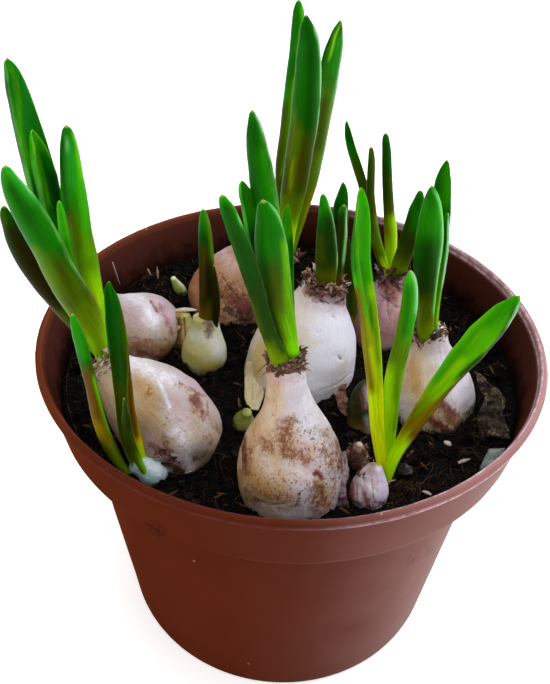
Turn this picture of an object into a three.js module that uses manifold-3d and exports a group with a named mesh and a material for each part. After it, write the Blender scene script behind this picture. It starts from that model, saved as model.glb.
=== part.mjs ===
// A potted grape hyacinth: forced bulbs crowded in a thin-walled plastic
// nursery pot, each bulb half sunk in dark potting soil and sending up a tuft of
// fleshy, channelled leaves.
//
// Units are millimetres, +Z is up. The origin is the middle of the pot's
// underside, where it rests; the front of the arrangement faces -Y.
import * as THREE from 'three';
import * as BufferGeometryUtils from 'three/addons/utils/BufferGeometryUtils.js';
import Module from 'manifold-3d';

// ---------------------------------------------------------------- dimensions
const RIM_RADIUS = 60;          // outside of the rolled rim: a 12 cm pot
const POT_HEIGHT = 88.2;
const COLLAR_BOTTOM_RADIUS = 57.1;
const COLLAR_BOTTOM_Z = 71.9;
const BODY_TOP_RADIUS = 51.5;   // just under the collar
const BASE_RADIUS = 44.6;
const WALL = 1.4;
const FLOOR_Z = 2.4;            // inside of the pot's floor
const HOLE_COUNT = 8;           // drainage holes
const HOLE_RADIUS = 3.6;
const HOLE_RING = 27;
const GAP = 0.3;                // clearance between touching pieces
const SOIL_LEVEL = 74;
const POT_SEGMENTS = 40;
const BULB_SEGMENTS = 12;
const SPROUT_SEGMENTS = 8;

// ------------------------------------------------------------------ profiles
// Bulb radius along its axis, from the root plate to the neck, as fractions of
// the length and of the largest radius.
const TEAR = [[0, .42], [.07, .79], [.16, .94], [.27, 1], [.38, .98], [.48, .90], [.58, .76], [.68, .585], [.78, .445], [.89, .36], [1, .345]];
const OVOID = [[0, .32], [.08, .71], [.18, .90], [.30, .985], [.43, 1], [.56, .945], [.68, .83], [.79, .655], [.89, .47], [1, .36]];
const EGG = [[0, .35], [.08, .75], [.18, .92], [.30, 1], [.42, .985], [.53, .92], [.64, .77], [.76, .565], [.88, .395], [1, .34]];
const BUD = [[0, .25], [.06, .58], [.20, .88], [.38, 1], [.55, .93], [.72, .73], [.86, .53], [1, .42]];
const DOME = [[0, .35], [.08, .70], [.20, .90], [.36, 1], [.52, 1], [.66, .95], [.80, .82], [.92, .58], [1, .26]];
const CLOVE = [[0, .40], [.12, .74], [.26, .93], [.42, 1], [.58, .98], [.72, .86], [.86, .63], [1, .36]];
const FLASK = [[0, .25], [.06, .58], [.18, .86], [.34, 1], [.48, .97], [.62, .84], [.76, .68], [.88, .60], [1, .57]];

// name, root plate centre, neck centre, largest radius, profile
const BULBS = [
  ['bulb_front', [2.6, -39.0, 66.0], [-0.6, -36.4, 104.6], 11.3, TEAR],
  ['bulb_center', [-0.8, -3.2, 60.0], [7.4, 4.4, 97.0], 13.6, OVOID],
  ['bulb_left', [-17.2, -29.9, 71.0], [-40.1, -22.8, 92.0], 10.6, OVOID],
  ['bulb_left_back', [-32.4, 8.2, 70.5], [-48.3, 8.2, 84.2], 10.2, OVOID],
  ['bulb_small_white', [-21.4, -0.4, 69.0], [-20.7, 3.0, 85.2], 5.5, FLASK],
  ['bulb_back', [-24.9, 22.6, 70.0], [-2.5, 30.3, 90.5], 11.6, OVOID],
  ['bulb_right', [35.6, -11.4, 63.5], [31.4, -6.4, 93.0], 11.2, EGG],
  ['bulb_right_back', [22.5, 14.0, 69.0], [25.6, 19.0, 90.5], 8.8, OVOID],
  ['bulb_green', [18.2, -19.8, 68.5], [18.3, -17.0, 85.6], 4.5, DOME],
  ['bulblet_striped', [17.2, -42.0, 68.0], [18.7, -38.4, 81.2], 4.0, CLOVE],
  ['bulblet_brown', [16.3, -29.4, 71.0], [15.7, -31.2, 79.0], 2.5, BUD],
  ['bulb_front_left', [-24.7, -36.2, 72.5], [-31.4, -38.0, 76.5], 2.7, BUD],
  ['bulblet_tiny', [-10.8, -20.8, 71.5], [-9.0, -22.3, 79.0], 2.6, BUD],
  ['bulblet_scaly', [-27.9, 8.3, 70.0], [-27.9, 9.7, 81.5], 3.7, BUD],
  ['sprout_pale', [-30.8, 30.4, 71.0], [-33.7, 28.0, 80.0], 1.7, BUD],
];
const LEAVES = [
  ['leaf_front_1', [[-1.59, -38.6, 107.15, 3.61], [-2.62, -39.1, 111.32, 3.26], [-3.96, -39.65, 115.58, 2.91], [-5.16, -40.22, 119.9, 2.93], [-6.13, -40.89, 124.95, 3.11], [-7.05, -41.46, 128.88, 3.2], [-8.09, -42.08, 133.07, 3.21], [-9.22, -42.72, 137.06, 2.97], [-10.05, -43.2, 139.94, 2.6], [-10.58, -43.52, 141.81, 2.33], [-11.21, -43.84, 143.63, 1.38], [-11.4, -44, 144.53, 0]],
    [-0.006, 0.993, 0.117], [-0.016, 0.986, 0.167]],
  ['leaf_front_2', [[0.82, -36.6, 105.61, 2.83], [0.09, -36.88, 109.7, 3.14], [-1, -37.24, 114.58, 3.97], [-1.96, -37.59, 119.25, 4.58], [-2.82, -37.94, 123.72, 5.16], [-3.46, -38.29, 128.01, 5.38], [-3.87, -38.55, 131.11, 5.45], [-4.2, -38.78, 133.71, 5.21], [-4.44, -38.99, 136.06, 4.58], [-4.68, -39.16, 137.97, 3.81], [-5.03, -39.3, 139.46, 2.91], [-5.36, -39.41, 140.56, 2.03], [-5.52, -39.5, 141.47, 0]],
    [-0.126, 0.991, 0.046], [-0.137, 0.988, 0.07]],
  ['leaf_front_3', [[-1.11, -34.4, 104.35, 2.01], [-3.13, -33.38, 112.62, 2.63], [-5.04, -32.3, 120.76, 3], [-6.45, -31.5, 126.52, 3.18], [-7.43, -30.88, 130.76, 3.48], [-8.02, -30.4, 133.99, 3.58], [-8.48, -30.11, 135.91, 3.38], [-9.02, -29.86, 137.45, 2.98], [-9.46, -29.66, 138.62, 2.14], [-9.73, -29.5, 139.63, 0]],
    [0.679, -0.69, 0.251], [0.782, -0.548, 0.296]],
  ['leaf_front_4', [[0.02, -33, 103.75, 4.29], [-2.61, -31.54, 117.05, 5.38], [-4.26, -30.23, 127.93, 6.37], [-5.35, -29.34, 134.72, 7.36], [-5.84, -29.03, 137, 7.81], [-6.34, -28.67, 139.59, 7.64], [-6.74, -28.31, 142.12, 7.04], [-7.25, -27.95, 144.59, 6.19], [-7.61, -27.6, 147.02, 5.23], [-7.9, -27.29, 149.09, 3.64], [-8.17, -27.12, 150.18, 2.13], [-8.26, -27, 150.95, 0]],
    [0.871, 0.476, 0.12], [0.828, 0.56, 0.018]],
  ['leaf_front_5', [[1.18, -33.4, 104.17, 1.35], [0.13, -32.66, 109.91, 1.7], [-0.86, -31.4, 119.31, 1.82], [-1.44, -30.15, 128.05, 1.94], [-1.78, -29.59, 131.73, 1.74], [-1.8, -29.22, 134.08, 1.21], [-1.78, -29, 135.5, 0]],
    [0.103, -0.984, 0.145], [0.009, -0.988, 0.155]],
  ['leaf_center_1', [[7.44, 3, 98.81, 4.95], [7.23, 2.7, 103.71, 5.32], [6.92, 2.48, 107.34, 5.02], [6.64, 2.27, 110.6, 4.5], [6.35, 2.04, 114.04, 3.77], [5.99, 1.85, 116.87, 2.96], [5.61, 1.69, 119.14, 2.17], [5.27, 1.57, 120.87, 1.29], [5.14, 1.5, 121.86, 0]],
    [0.107, 0.992, 0.065], [0.042, 0.996, 0.076]],
  ['leaf_center_2', [[9.08, 7.2, 93.14, 2.82], [10.02, 8.12, 102.65, 3.49], [9.87, 8.89, 110.31, 3.89], [9.7, 9.41, 115.2, 3.59], [9.84, 9.66, 117.6, 2.73], [9.84, 9.87, 119.49, 1.65], [9.7, 10, 120.65, 0]],
    [0.235, -0.969, 0.07], [0.325, -0.935, 0.143]],
  ['leaf_center_3', [[9.87, 4.6, 94.99, 1.68], [10.63, 4.4, 103.11, 1.86], [10.46, 4.21, 110.45, 1.92], [9.97, 4.06, 116.12, 1.99], [10.01, 4, 118.14, 0]],
    [0.133, 0.991, 0.012], [0.081, 0.996, 0.026]],
  ['leaf_left_1', [[-40.24, -22.5, 93.67, 3.02], [-40.47, -23.01, 97.91, 4.23], [-41.14, -23.52, 101.71, 5.51], [-42.2, -24.28, 107.19, 6.28], [-43.71, -25.06, 112.15, 6.23], [-44.98, -25.87, 117.28, 6.06], [-45.84, -26.69, 122.42, 6], [-46.82, -27.45, 126.86, 5.85], [-47.6, -28.06, 130.23, 5.56], [-48.34, -28.63, 133.27, 4.94], [-49.11, -29.28, 136.64, 3.54], [-49.33, -29.6, 138.27, 2.57], [-49.36, -29.85, 139.69, 1.53], [-49.32, -30, 140.48, 0]],
    [-0.264, 0.959, 0.102], [-0.279, 0.943, 0.184]],
  ['leaf_left_2', [[-42, -19, 91.21, 2.61], [-46.74, -17.83, 99.11, 4.16], [-50.08, -17.02, 104.11, 4.76], [-52.59, -16.38, 108.1, 5.13], [-54.97, -15.68, 112.44, 5.04], [-56.66, -15.04, 116.72, 4.52], [-57.6, -14.54, 120.08, 3.4], [-58.21, -14.23, 122.14, 2.31], [-58.26, -14, 123.8, 0]],
    [-0.075, 0.979, -0.19], [-0.058, 0.989, -0.139]],
  ['leaf_left_3', [[-42.41, -16.2, 89.45, 2.35], [-45.04, -15, 97.63, 3.84], [-47.61, -13.31, 108.88, 4.97], [-49.41, -11.91, 117.65, 6.06], [-50.35, -10.88, 123.91, 6.92], [-51.1, -10.19, 127.93, 7.34], [-51.73, -9.5, 131.84, 7.05], [-52.36, -8.81, 135.64, 6.76], [-52.98, -8.12, 139.35, 6.13], [-53.59, -7.43, 142.95, 5.4], [-53.94, -7.09, 144.72, 5.05], [-54.25, -6.74, 146.47, 4.36], [-54.56, -6.43, 148.02, 3.44], [-55.05, -6.14, 149.37, 2.07], [-55.24, -6, 150.04, 0]],
    [0.828, -0.452, 0.332], [0.864, -0.381, 0.329]],
  ['leaf_left_4', [[-41.73, -16.8, 90.28, 2.75], [-44.64, -15.83, 99.1, 3.87], [-46.91, -14.43, 111.64, 5.13], [-48.36, -13.39, 120.42, 5.53], [-49.21, -12.81, 125, 6.26], [-49.5, -12.3, 129.07, 6.44], [-49.78, -12.04, 131.05, 6.13], [-50.07, -11.78, 132.99, 5.56], [-50.31, -11.52, 134.92, 4.47], [-50.61, -11.29, 136.62, 3.13], [-50.84, -11.13, 137.73, 2.08], [-50.97, -11, 138.66, 0]],
    [0.923, -0.201, 0.327], [0.941, -0.293, 0.167]],
  ['leaf_left_5', [[-40.44, -18, 91.35, 2], [-40.89, -17.25, 98.53, 2.6], [-41.68, -16.65, 103.87, 3.62], [-42.5, -16.1, 108.55, 4.61], [-42.99, -15.56, 113.09, 5.15], [-43.47, -15.02, 117.49, 5.07], [-43.77, -14.49, 121.76, 5.19], [-43.88, -13.83, 126.93, 5], [-43.91, -13.38, 130.33, 4.45], [-43.89, -12.98, 133.26, 4.02], [-43.86, -12.64, 135.75, 3.51], [-43.84, -12.37, 137.64, 2.82], [-43.89, -12.11, 139.49, 1.68], [-43.91, -12, 140.22, 0]],
    [-0.185, 0.976, -0.113], [-0.273, 0.951, -0.143]],
  ['leaf_left_6', [[-40.91, -19.4, 92.19, 1.53], [-44.54, -18.9, 105.29, 2.09], [-45.45, -18.44, 117.12, 1.99], [-45.54, -18.26, 121.57, 1.86], [-45.55, -18.12, 125.02, 1.45], [-45.58, -18.04, 126.92, 0.96], [-45.56, -18, 127.75, 0]],
    [-0.365, 0.921, -0.136], [-0.322, 0.946, -0.032]],
  ['shoot_small_1', [[-21.02, 2, 80.21, 3.5], [-20.6, 2.18, 87.29, 4.65], [-20.43, 2.37, 94.6, 4.3], [-20.61, 2.57, 101.54, 3.61], [-20.68, 2.76, 108.16, 3.3], [-20.88, 2.92, 113.48, 2.01], [-21.04, 3, 115.94, 0]],
    [-0.095, 0.995, -0.019], [-0.17, 0.984, -0.042]],
  ['shoot_small_2', [[-19.78, 0.3, 81.64, 1.66], [-18.71, 0.46, 86.57, 1.9], [-18.11, 0.67, 93.04, 1.86], [-18.49, 0.86, 98.62, 1.57], [-18.77, 1, 102.66, 0]],
    [0.514, 0.847, -0.139], [0.349, 0.937, -0.009]],
  ['leaf_back_1', [[-2.52, 33, 89.49, 2.83], [-3.69, 33.86, 98.24, 3.78], [-4.5, 34.57, 105.22, 4.36], [-4.64, 35.28, 111.96, 4.59], [-3.94, 36.14, 119.75, 4.62], [-3.4, 37, 127.19, 4.66], [-2.94, 37.72, 133.15, 4.56], [-2.5, 38.43, 138.89, 4.31], [-2.36, 39.15, 144.43, 3.93], [-2.39, 39.66, 148.3, 3.29], [-2.47, 39.86, 149.78, 2.13], [-2.52, 40, 150.82, 0]],
    [0.645, 0.765, 0.012], [0.627, 0.776, -0.073]],
  ['leaf_back_2', [[-2.05, 29.6, 91.27, 2.96], [-2.08, 29.43, 98.72, 4.47], [-1.7, 29.28, 105.26, 6.17], [-1.11, 29.14, 110.99, 6.68], [-0.38, 28.93, 119.18, 6.74], [0.32, 28.73, 126.92, 6.79], [0.52, 28.59, 131.85, 6.67], [0.57, 28.38, 138.9, 6.04], [0.43, 28.24, 143.4, 5.27], [0.33, 28.17, 145.59, 4.56], [-0.08, 28.1, 147.73, 3.42], [-0.41, 28.03, 149.84, 1.53], [-0.58, 28, 150.88, 0]],
    [-0.015, 1.0, 0.022], [-0.051, 0.998, 0.025]],
  ['leaf_back_3', [[-1.13, 32, 89.86, 5.41], [0.67, 33.36, 99.66, 8.2], [2.54, 34.66, 108.43, 9.74], [3.94, 36.24, 118.78, 10.31], [4.82, 37.43, 126.16, 10.38], [5.51, 38.42, 132.07, 10.75], [5.91, 39.21, 136.66, 10.62], [6.36, 39.72, 139.58, 9.74], [6.81, 40.16, 142.02, 7.85], [7.12, 40.56, 144.21, 5.46], [7.37, 40.8, 145.51, 3.11], [7.52, 41, 146.58, 0]],
    [-0.984, 0.009, 0.179], [-0.99, -0.012, 0.139]],
  ['leaf_right_1', [[30.02, -9.4, 95.08, 3.83], [29.1, -9.76, 100.86, 3.96], [28.4, -10.09, 105.86, 4.52], [27.73, -10.39, 110.39, 5.28], [27.24, -10.66, 114.27, 5.71], [27.01, -10.92, 117.79, 5.72], [26.71, -11.17, 121.2, 5.33], [26.43, -11.39, 124.05, 4.77], [26.11, -11.59, 126.59, 3.93], [25.78, -11.78, 129.08, 2.72], [25.49, -11.93, 130.85, 1.35], [25.34, -12, 131.72, 0]],
    [0.178, 0.98, 0.09], [0.13, 0.986, 0.103]],
  ['leaf_right_2', [[32.26, -5, 91.82, 2.11], [31.74, -3.35, 101.92, 2.73], [31.16, -1.71, 111.39, 3.32], [30.68, -0.27, 119.22, 3.9], [30.2, 0.51, 123.29, 3.85], [29.98, 1.08, 126.23, 3.5], [29.99, 1.5, 128.31, 2.53], [30.1, 1.79, 129.75, 1.57], [30.15, 2, 130.76, 0]],
    [-0.005, -0.987, 0.161], [-0.028, -0.979, 0.202]],
  ['leaf_right_3', [[32.66, -6.6, 92.51, 2.72], [32.18, -5.88, 98.77, 2.49], [32.17, -5.33, 103.32, 2.28], [32.2, -4.72, 108.21, 2.24], [32.05, -4.06, 113.4, 2.21], [31.66, -3.57, 117.04, 2.18], [31.28, -3.15, 120.15, 1.83], [31.36, -3, 121.25, 0]],
    [-0.936, -0.35, -0.031], [-0.955, -0.276, 0.108]],
  ['leaf_rear_1', [[24.55, 21, 87.74, 2.05], [21.47, 22.13, 94.55, 2.31], [18.94, 23.31, 101.68, 2.55], [17.35, 24.31, 107.58, 2.51], [15.8, 25.1, 112.04, 2.62], [14.36, 25.76, 115.65, 2.6], [13.13, 26.3, 118.49, 2.52], [11.73, 26.96, 121.98, 2.37], [10.9, 27.49, 124.74, 1.87], [10.52, 27.79, 126.33, 1.2], [10.31, 28, 127.47, 0]],
    [0.503, -0.787, 0.358], [0.476, -0.844, 0.249]],
  ['leaf_rear_2', [[24.58, 18, 90.07, 1.8], [21.02, 18, 98.58, 2.13], [19.2, 18, 103.65, 2.22], [17.8, 18, 109.66, 2.05], [16.86, 18, 114.94, 1.97], [16.56, 18, 118.79, 1.87], [16.27, 18, 122.54, 1.61], [15.96, 18, 124.73, 1.14], [15.81, 18, 125.7, 0]],
    [-0.107, 0.993, -0.045], [0.028, 1.0, 0.004]],
  ['leaf_rear_3', [[26.03, 20.5, 88.17, 2.09], [24.79, 21.18, 93.23, 2.58], [24.12, 21.81, 97.9, 3.19], [23.53, 22.37, 101.92, 3.28], [22.61, 23.05, 106.61, 2.74], [21.88, 23.68, 110.93, 2.58], [20.94, 24.62, 117.09, 2.42], [20.28, 25.36, 121.87, 2.15], [19.83, 25.78, 124.43, 1.66], [19.61, 26, 125.81, 0]],
    [0.026, 0.992, -0.127], [0.069, 0.986, -0.149]],
  ['leaf_rear_4', [[26.08, 17.6, 90.13, 3.17], [26.42, 17.17, 95, 4.41], [27.12, 16.72, 99.74, 4.46], [27.47, 16.31, 104.01, 4.26], [27.81, 15.91, 108.14, 4.07], [27.96, 15.62, 111.01, 3.78], [28.15, 15.36, 113.55, 2.9], [28.19, 15.16, 115.48, 1.92], [28.18, 15, 116.98, 0]],
    [0.466, 0.884, 0.046], [0.43, 0.898, 0.096]],
  ['leaf_between', [[16.41, 13, 74.06, 1.59], [15.61, 13.18, 79.88, 2.61], [14.78, 13.37, 86.1, 3.2], [13.77, 13.65, 94.42, 2.74], [12.67, 13.88, 101.2, 1.71], [12.13, 14, 104.47, 0]],
    [0.0, 1.0, -0.03], [-0.012, 0.999, -0.038]],
  ['leaf_fr_1', [[20.94, -36.6, 77.24, 2.68], [19.26, -36.99, 85.17, 3.41], [17.94, -37.34, 92.06, 3.81], [17.08, -37.65, 97.75, 3.92], [16.26, -37.95, 103.17, 4.03], [15.39, -38.26, 108.33, 4.24], [14.47, -38.57, 113.26, 4.44], [13.48, -38.92, 118.65, 4.15], [12.46, -39.26, 123.55, 4.11], [11.42, -39.57, 127.79, 4.07], [10.66, -39.88, 131.87, 3.93], [10.31, -40.14, 135.22, 3.72], [10.14, -40.37, 138.08, 3.33], [9.97, -40.57, 140.49, 2.79], [9.69, -40.75, 142.65, 2.18], [9.4, -40.91, 144.4, 1.42], [9.25, -41, 145.44, 0]],
    [0.802, -0.58, 0.142], [0.565, -0.825, 0.01]],
  ['leaf_fr_2', [[22.17, -33.6, 73.94, 1.97], [21.84, -33.41, 78.48, 2.37], [21.53, -33.18, 83.74, 2.85], [21.12, -32.92, 89.33, 3.2], [20.71, -32.67, 94.68, 3.44], [20.54, -32.44, 99.31, 3.57], [20.7, -32.22, 103.55, 3.51], [21, -32.02, 107.18, 3.36], [21.17, -31.82, 110.69, 3.22], [21.26, -31.63, 114.1, 3.17], [21.32, -31.45, 117.19, 3.04], [21.18, -31.31, 119.55, 2.83], [20.91, -31.15, 122.06, 2.25], [20.72, -31.06, 123.6, 1.43], [20.63, -31, 124.51, 0]],
    [0.253, 0.967, -0.023], [0.205, 0.978, -0.041]],
  ['leaf_fr_3', [[22.15, -36, 76.35, 2.66], [22.92, -35.31, 80.65, 3.14], [24.13, -34.62, 84.56, 3.6], [25.54, -33.94, 88.1, 4.19], [26.87, -33.32, 91.31, 4.51], [28.34, -32.63, 94.67, 4.94], [29.86, -31.92, 98.07, 5.36], [31.58, -31.19, 101.26, 5.78], [33.12, -30.55, 104.05, 6.43], [34.8, -29.93, 106.44, 6.83], [36.21, -29.31, 109.01, 6.88], [37.87, -28.71, 111.21, 6.47], [39.98, -27.86, 114.41, 5.02], [41, -27.5, 115.62, 3.86], [41.73, -27.19, 116.83, 2.48], [42.28, -27, 117.42, 0]],
    [-0.848, -0.477, 0.229], [-0.656, -0.279, 0.701]],
  ['leaf_fl_1', [[-32.53, -40, 75.86, 1.47], [-34.33, -40.31, 80.39, 2.27], [-35.32, -40.55, 84.16, 2.64], [-36.16, -40.84, 88.73, 2.69], [-36.63, -41.13, 93.43, 2.63], [-36.72, -41.45, 98.53, 2.38], [-36.75, -41.7, 102.34, 2.24], [-36.84, -41.97, 106.28, 2.29], [-37.01, -42.24, 110.08, 2.34], [-37.14, -42.53, 113.99, 2.2], [-37.4, -42.75, 116.82, 1.65], [-37.55, -42.93, 119.12, 0.86], [-37.49, -43, 120.03, 0]],
    [-0.586, 0.79, -0.179], [-0.317, 0.944, 0.094]],
  ['leaf_fl_2', [[-30.18, -39, 75.87, 1.7], [-31.72, -39.11, 82.02, 2.48], [-32.41, -39.23, 88.53, 2.42], [-32.33, -39.34, 94.19, 2.36], [-32.02, -39.43, 99.09, 2.59], [-31.74, -39.5, 103.02, 2.92], [-31.5, -39.59, 107.05, 3.24], [-31.37, -39.66, 110.46, 3.46], [-31.33, -39.73, 113.76, 3.5], [-31.31, -39.79, 116.51, 3.36], [-31.3, -39.85, 118.97, 2.97], [-31.35, -39.9, 121.15, 2.59], [-31.47, -39.94, 122.86, 2.06], [-31.46, -39.97, 124.13, 1.36], [-31.32, -40, 125.18, 0]],
    [0.556, -0.822, 0.124], [0.202, -0.978, -0.05]],
  ['leaf_fl_3', [[-28.8, -37.5, 75.24, 1.71], [-30.2, -37.07, 79.95, 2.52], [-31.3, -36.59, 85.35, 2.47], [-31.59, -36.09, 91.13, 1.92], [-31.53, -35.41, 98.63, 1.47], [-31.49, -34.61, 106.84, 1.14], [-31.41, -34, 112.82, 0]],
    [-0.435, 0.876, -0.209], [-0.25, 0.964, -0.096]],
  ['leaf_fl_4', [[-29.09, -40.5, 77.97, 1.46], [-30.56, -41.43, 85.2, 2.01], [-30.89, -42.24, 91.7, 1.95], [-30.61, -43.03, 97.89, 1.13], [-30.36, -43.5, 101.44, 0]],
    [-0.519, 0.855, 0.004], [-0.25, 0.957, 0.145]],
];

// flakes of dried bulb skin and bark that lie on the soil: a curved strip as
// [x, y, z, width] stations, and the direction its upper side faces
const FLAKES = [
  ['dried_skin', [[47.6, -3.4, 77.6, 2.4], [48.4, -7.2, 78.9, 5.2], [47.4, -12, 79.3, 6.6], [46.2, -17.2, 78.6, 5.4], [45.2, -21, 77.4, 0]],
    [-0.35, -0.35, 0.87], [-0.35, -0.3, 0.89]],
  ['pale_flake', [[44.6, -29.2, 77.4, 3.8], [46.4, -26.4, 78.6, 5.2], [48.6, -23.8, 79.8, 5], [50.4, -21.4, 80.6, 0]],
    [-0.62, 0.2, 0.75], [-0.62, 0.25, 0.74]],
];

// -------------------------------------------------------------------- helpers
const wasm = await Module();
wasm.setup();

const vec = (a) => new THREE.Vector3(a[0], a[1], a[2]);

function geometryFrom(positions, triangles) {
  const geometry = new THREE.BufferGeometry();
  geometry.setAttribute('position', new THREE.BufferAttribute(new Float32Array(positions), 3));
  geometry.setIndex(triangles);
  return geometry;
}

function solidFrom(geometry) {
  const bare = geometry.clone();
  bare.deleteAttribute('normal');
  bare.deleteAttribute('uv');
  const merged = BufferGeometryUtils.mergeVertices(bare, 1e-4);
  const index = Array.from(merged.index.array);
  const kept = [];
  for (let i = 0; i < index.length; i += 3) {
    const [a, b, c] = [index[i], index[i + 1], index[i + 2]];
    if (a !== b && b !== c && c !== a) kept.push(a, b, c);
  }
  return new wasm.Manifold(new wasm.Mesh({
    numProp: 3,
    vertProperties: new Float32Array(merged.attributes.position.array),
    triVerts: new Uint32Array(kept),
  }));
}

function largestPiece(solid) {
  const pieces = solid.decompose();
  let best = pieces[0];
  for (const piece of pieces) if (piece.volume() > best.volume()) best = piece;
  return best;
}

function geometryOf(solid) {
  const mesh = solid.getMesh();
  const geometry = geometryFrom(Array.from(mesh.vertProperties), Array.from(mesh.triVerts));
  geometry.computeVertexNormals();
  return geometry;
}

// closed skin over a stack of rings, from the first ring's middle to the last's
function skin(rings, first, last) {
  const n = rings[0].length;
  const positions = [];
  for (const ring of rings) for (const p of ring) positions.push(p.x, p.y, p.z);
  const start = rings.length * n;
  positions.push(first.x, first.y, first.z, last.x, last.y, last.z);
  const tris = [];
  for (let j = 0; j < n; j++) {
    const k = (j + 1) % n;
    tris.push(start, k, j);
    for (let i = 0; i < rings.length - 1; i++) {
      const a = i * n + j, b = i * n + k, c = a + n, d = b + n;
      tris.push(a, b, d, a, d, c);
    }
    const e = (rings.length - 1) * n;
    tris.push(start + 1, e + j, e + k);
  }
  return geometryFrom(positions, tris);
}

// two directions square to an axis, right handed with it
function acrossAxis(axis) {
  const helper = Math.abs(axis.z) < .9 ? new THREE.Vector3(0, 0, 1) : new THREE.Vector3(0, 1, 0);
  const x = new THREE.Vector3().crossVectors(helper, axis).normalize();
  const y = new THREE.Vector3().crossVectors(axis, x);
  return [x, y];
}

function bulbGeometry([, bottom, neck, radius, profile], grow = 0) {
  const B = vec(bottom), N = vec(neck);
  const axis = N.clone().sub(B);
  const length = axis.length();
  axis.divideScalar(length);
  const [x, y] = acrossAxis(axis);
  const count = radius > 6 ? BULB_SEGMENTS : SPROUT_SEGMENTS + 2;
  const rings = profile.map(([t, r], i) => {
    const shift = i === 0 ? -grow : (i === profile.length - 1 ? grow : 0);
    const c = B.clone().addScaledVector(axis, t * length + shift);
    const ring = [];
    for (let j = 0; j < count; j++) {
      const a = 2 * Math.PI * j / count;
      ring.push(c.clone().addScaledVector(x, (r * radius + grow) * Math.cos(a)).addScaledVector(y, (r * radius + grow) * Math.sin(a)));
    }
    return ring;
  });
  const swell = profile[0][1] * radius * .25;
  return skin(rings, B.clone().addScaledVector(axis, -swell - grow), N.clone().addScaledVector(axis, grow + .2));
}

// A leaf: hollow-faced strip along a smooth line. Stations run from base to tip
// as [x, y, z, width]; the last one is the tip. `sink` lengthens the base.
const LEAF_STEPS = 7;
const LEAF_SECTION = [[1, 0], [.72, .12], [0, .02], [-.72, .12], [-1, 0], [-.68, -.46], [0, -.68], [.68, -.46]];

function leafGeometry([, stations, normal0, normal1], { grow = 0, sink = 0, thick = 1 } = {}) {
  const points = stations.map(vec);
  if (sink > 0) {
    const back = points[0].clone().sub(points[1]).normalize().multiplyScalar(sink);
    points.unshift(points[0].clone().add(back));
  }
  const widths = stations.map((s) => s[3]);
  if (sink > 0) widths.unshift(stations[0][3] * .85);
  const curve = new THREE.CatmullRomCurve3(points, false, 'centripetal');
  const curveT = [];
  for (let i = 0; i < LEAF_STEPS; i++) curveT.push(i / LEAF_STEPS);
  curveT.push(.965);
  const n0 = vec(normal0), n1 = vec(normal1);
  const rings = curveT.map((t) => {
    const c = curve.getPoint(t);
    const tangent = curve.getTangent(t);
    const k = t * (widths.length - 1), i = Math.min(Math.floor(k), widths.length - 2), f = k - i;
    const end = i === widths.length - 2 ? Math.sqrt(1 - f * f) * widths[i] : widths[i] + (widths[i + 1] - widths[i]) * f;
    const half = Math.max(end / 2, .35);
    const up = n0.clone().lerp(n1, t);
    up.addScaledVector(tangent, -up.dot(tangent)).normalize();
    const side = new THREE.Vector3().crossVectors(tangent, up).normalize();
    const depth = Math.max(half * thick, .55);
    // section points run counter-clockwise about the tangent
    return LEAF_SECTION.map(([a, b]) => c.clone()
      .addScaledVector(side, -a * half - Math.sign(a) * (Math.abs(a) > .5 ? grow : 0))
      .addScaledVector(up, b * depth + (b > 0 ? grow : (b < 0 ? -grow : 0)) ));
  });
  const tip = points[points.length - 1].clone().addScaledVector(curve.getTangent(1), grow);
  const first = curve.getPoint(0).addScaledVector(curve.getTangent(0), -grow);
  return skin(rings, first, tip);
}

function material(colour, roughness = .55, metalness = 0) {
  return new THREE.MeshStandardMaterial({ color: new THREE.Color(colour), roughness, metalness });
}

const plant = new THREE.Group();
const solids = [];          // { name, solid, grown, box }

function boxesMeet(a, b) {
  for (let i = 0; i < 3; i++) if (a.min[i] > b.max[i] + GAP || b.min[i] > a.max[i] + GAP) return false;
  return true;
}

function place(name, solid, grown, mat) {
  const mesh = new THREE.Mesh(geometryOf(solid), mat);
  mesh.name = name;
  plant.add(mesh);
  if (grown) solids.push({ name, grown, box: grown.boundingBox() });
}

// cut a solid back from every piece placed before it
function fitted(solid) {
  const box = solid.boundingBox();
  let out = solid;
  for (const other of solids) if (boxesMeet(box, other.box)) out = out.subtract(other.grown);
  return largestPiece(out);
}

// ------------------------------------------------------------------------ pot
// the inside, from the rim down to the floor
const INSIDE = [
  [58.8, POT_HEIGHT], [58.2, 87.5], [57.4, 84.9], [COLLAR_BOTTOM_RADIUS - WALL, COLLAR_BOTTOM_Z + 1.2],
  [BODY_TOP_RADIUS - .9, COLLAR_BOTTOM_Z + .9], [BODY_TOP_RADIUS - WALL, COLLAR_BOTTOM_Z + .3],
  [BASE_RADIUS - WALL, FLOOR_Z + .8], [BASE_RADIUS - WALL - .8, FLOOR_Z],
];
const potProfile = [
  [0, 0], [17, 0], [18, 1.0], [35.5, 1.0], [36.5, 0], [BASE_RADIUS - .7, 0], [BASE_RADIUS, .9],
  [BODY_TOP_RADIUS, COLLAR_BOTTOM_Z - .9], [BODY_TOP_RADIUS + .4, COLLAR_BOTTOM_Z],
  [COLLAR_BOTTOM_RADIUS - .4, COLLAR_BOTTOM_Z], [COLLAR_BOTTOM_RADIUS, COLLAR_BOTTOM_Z + .5],
  [59.05, 86.2], [59.75, 86.5], [RIM_RADIUS, 87.0], [RIM_RADIUS - .15, 87.7], [RIM_RADIUS - .8, POT_HEIGHT],
  ...INSIDE, [0, FLOOR_Z],
];
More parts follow.
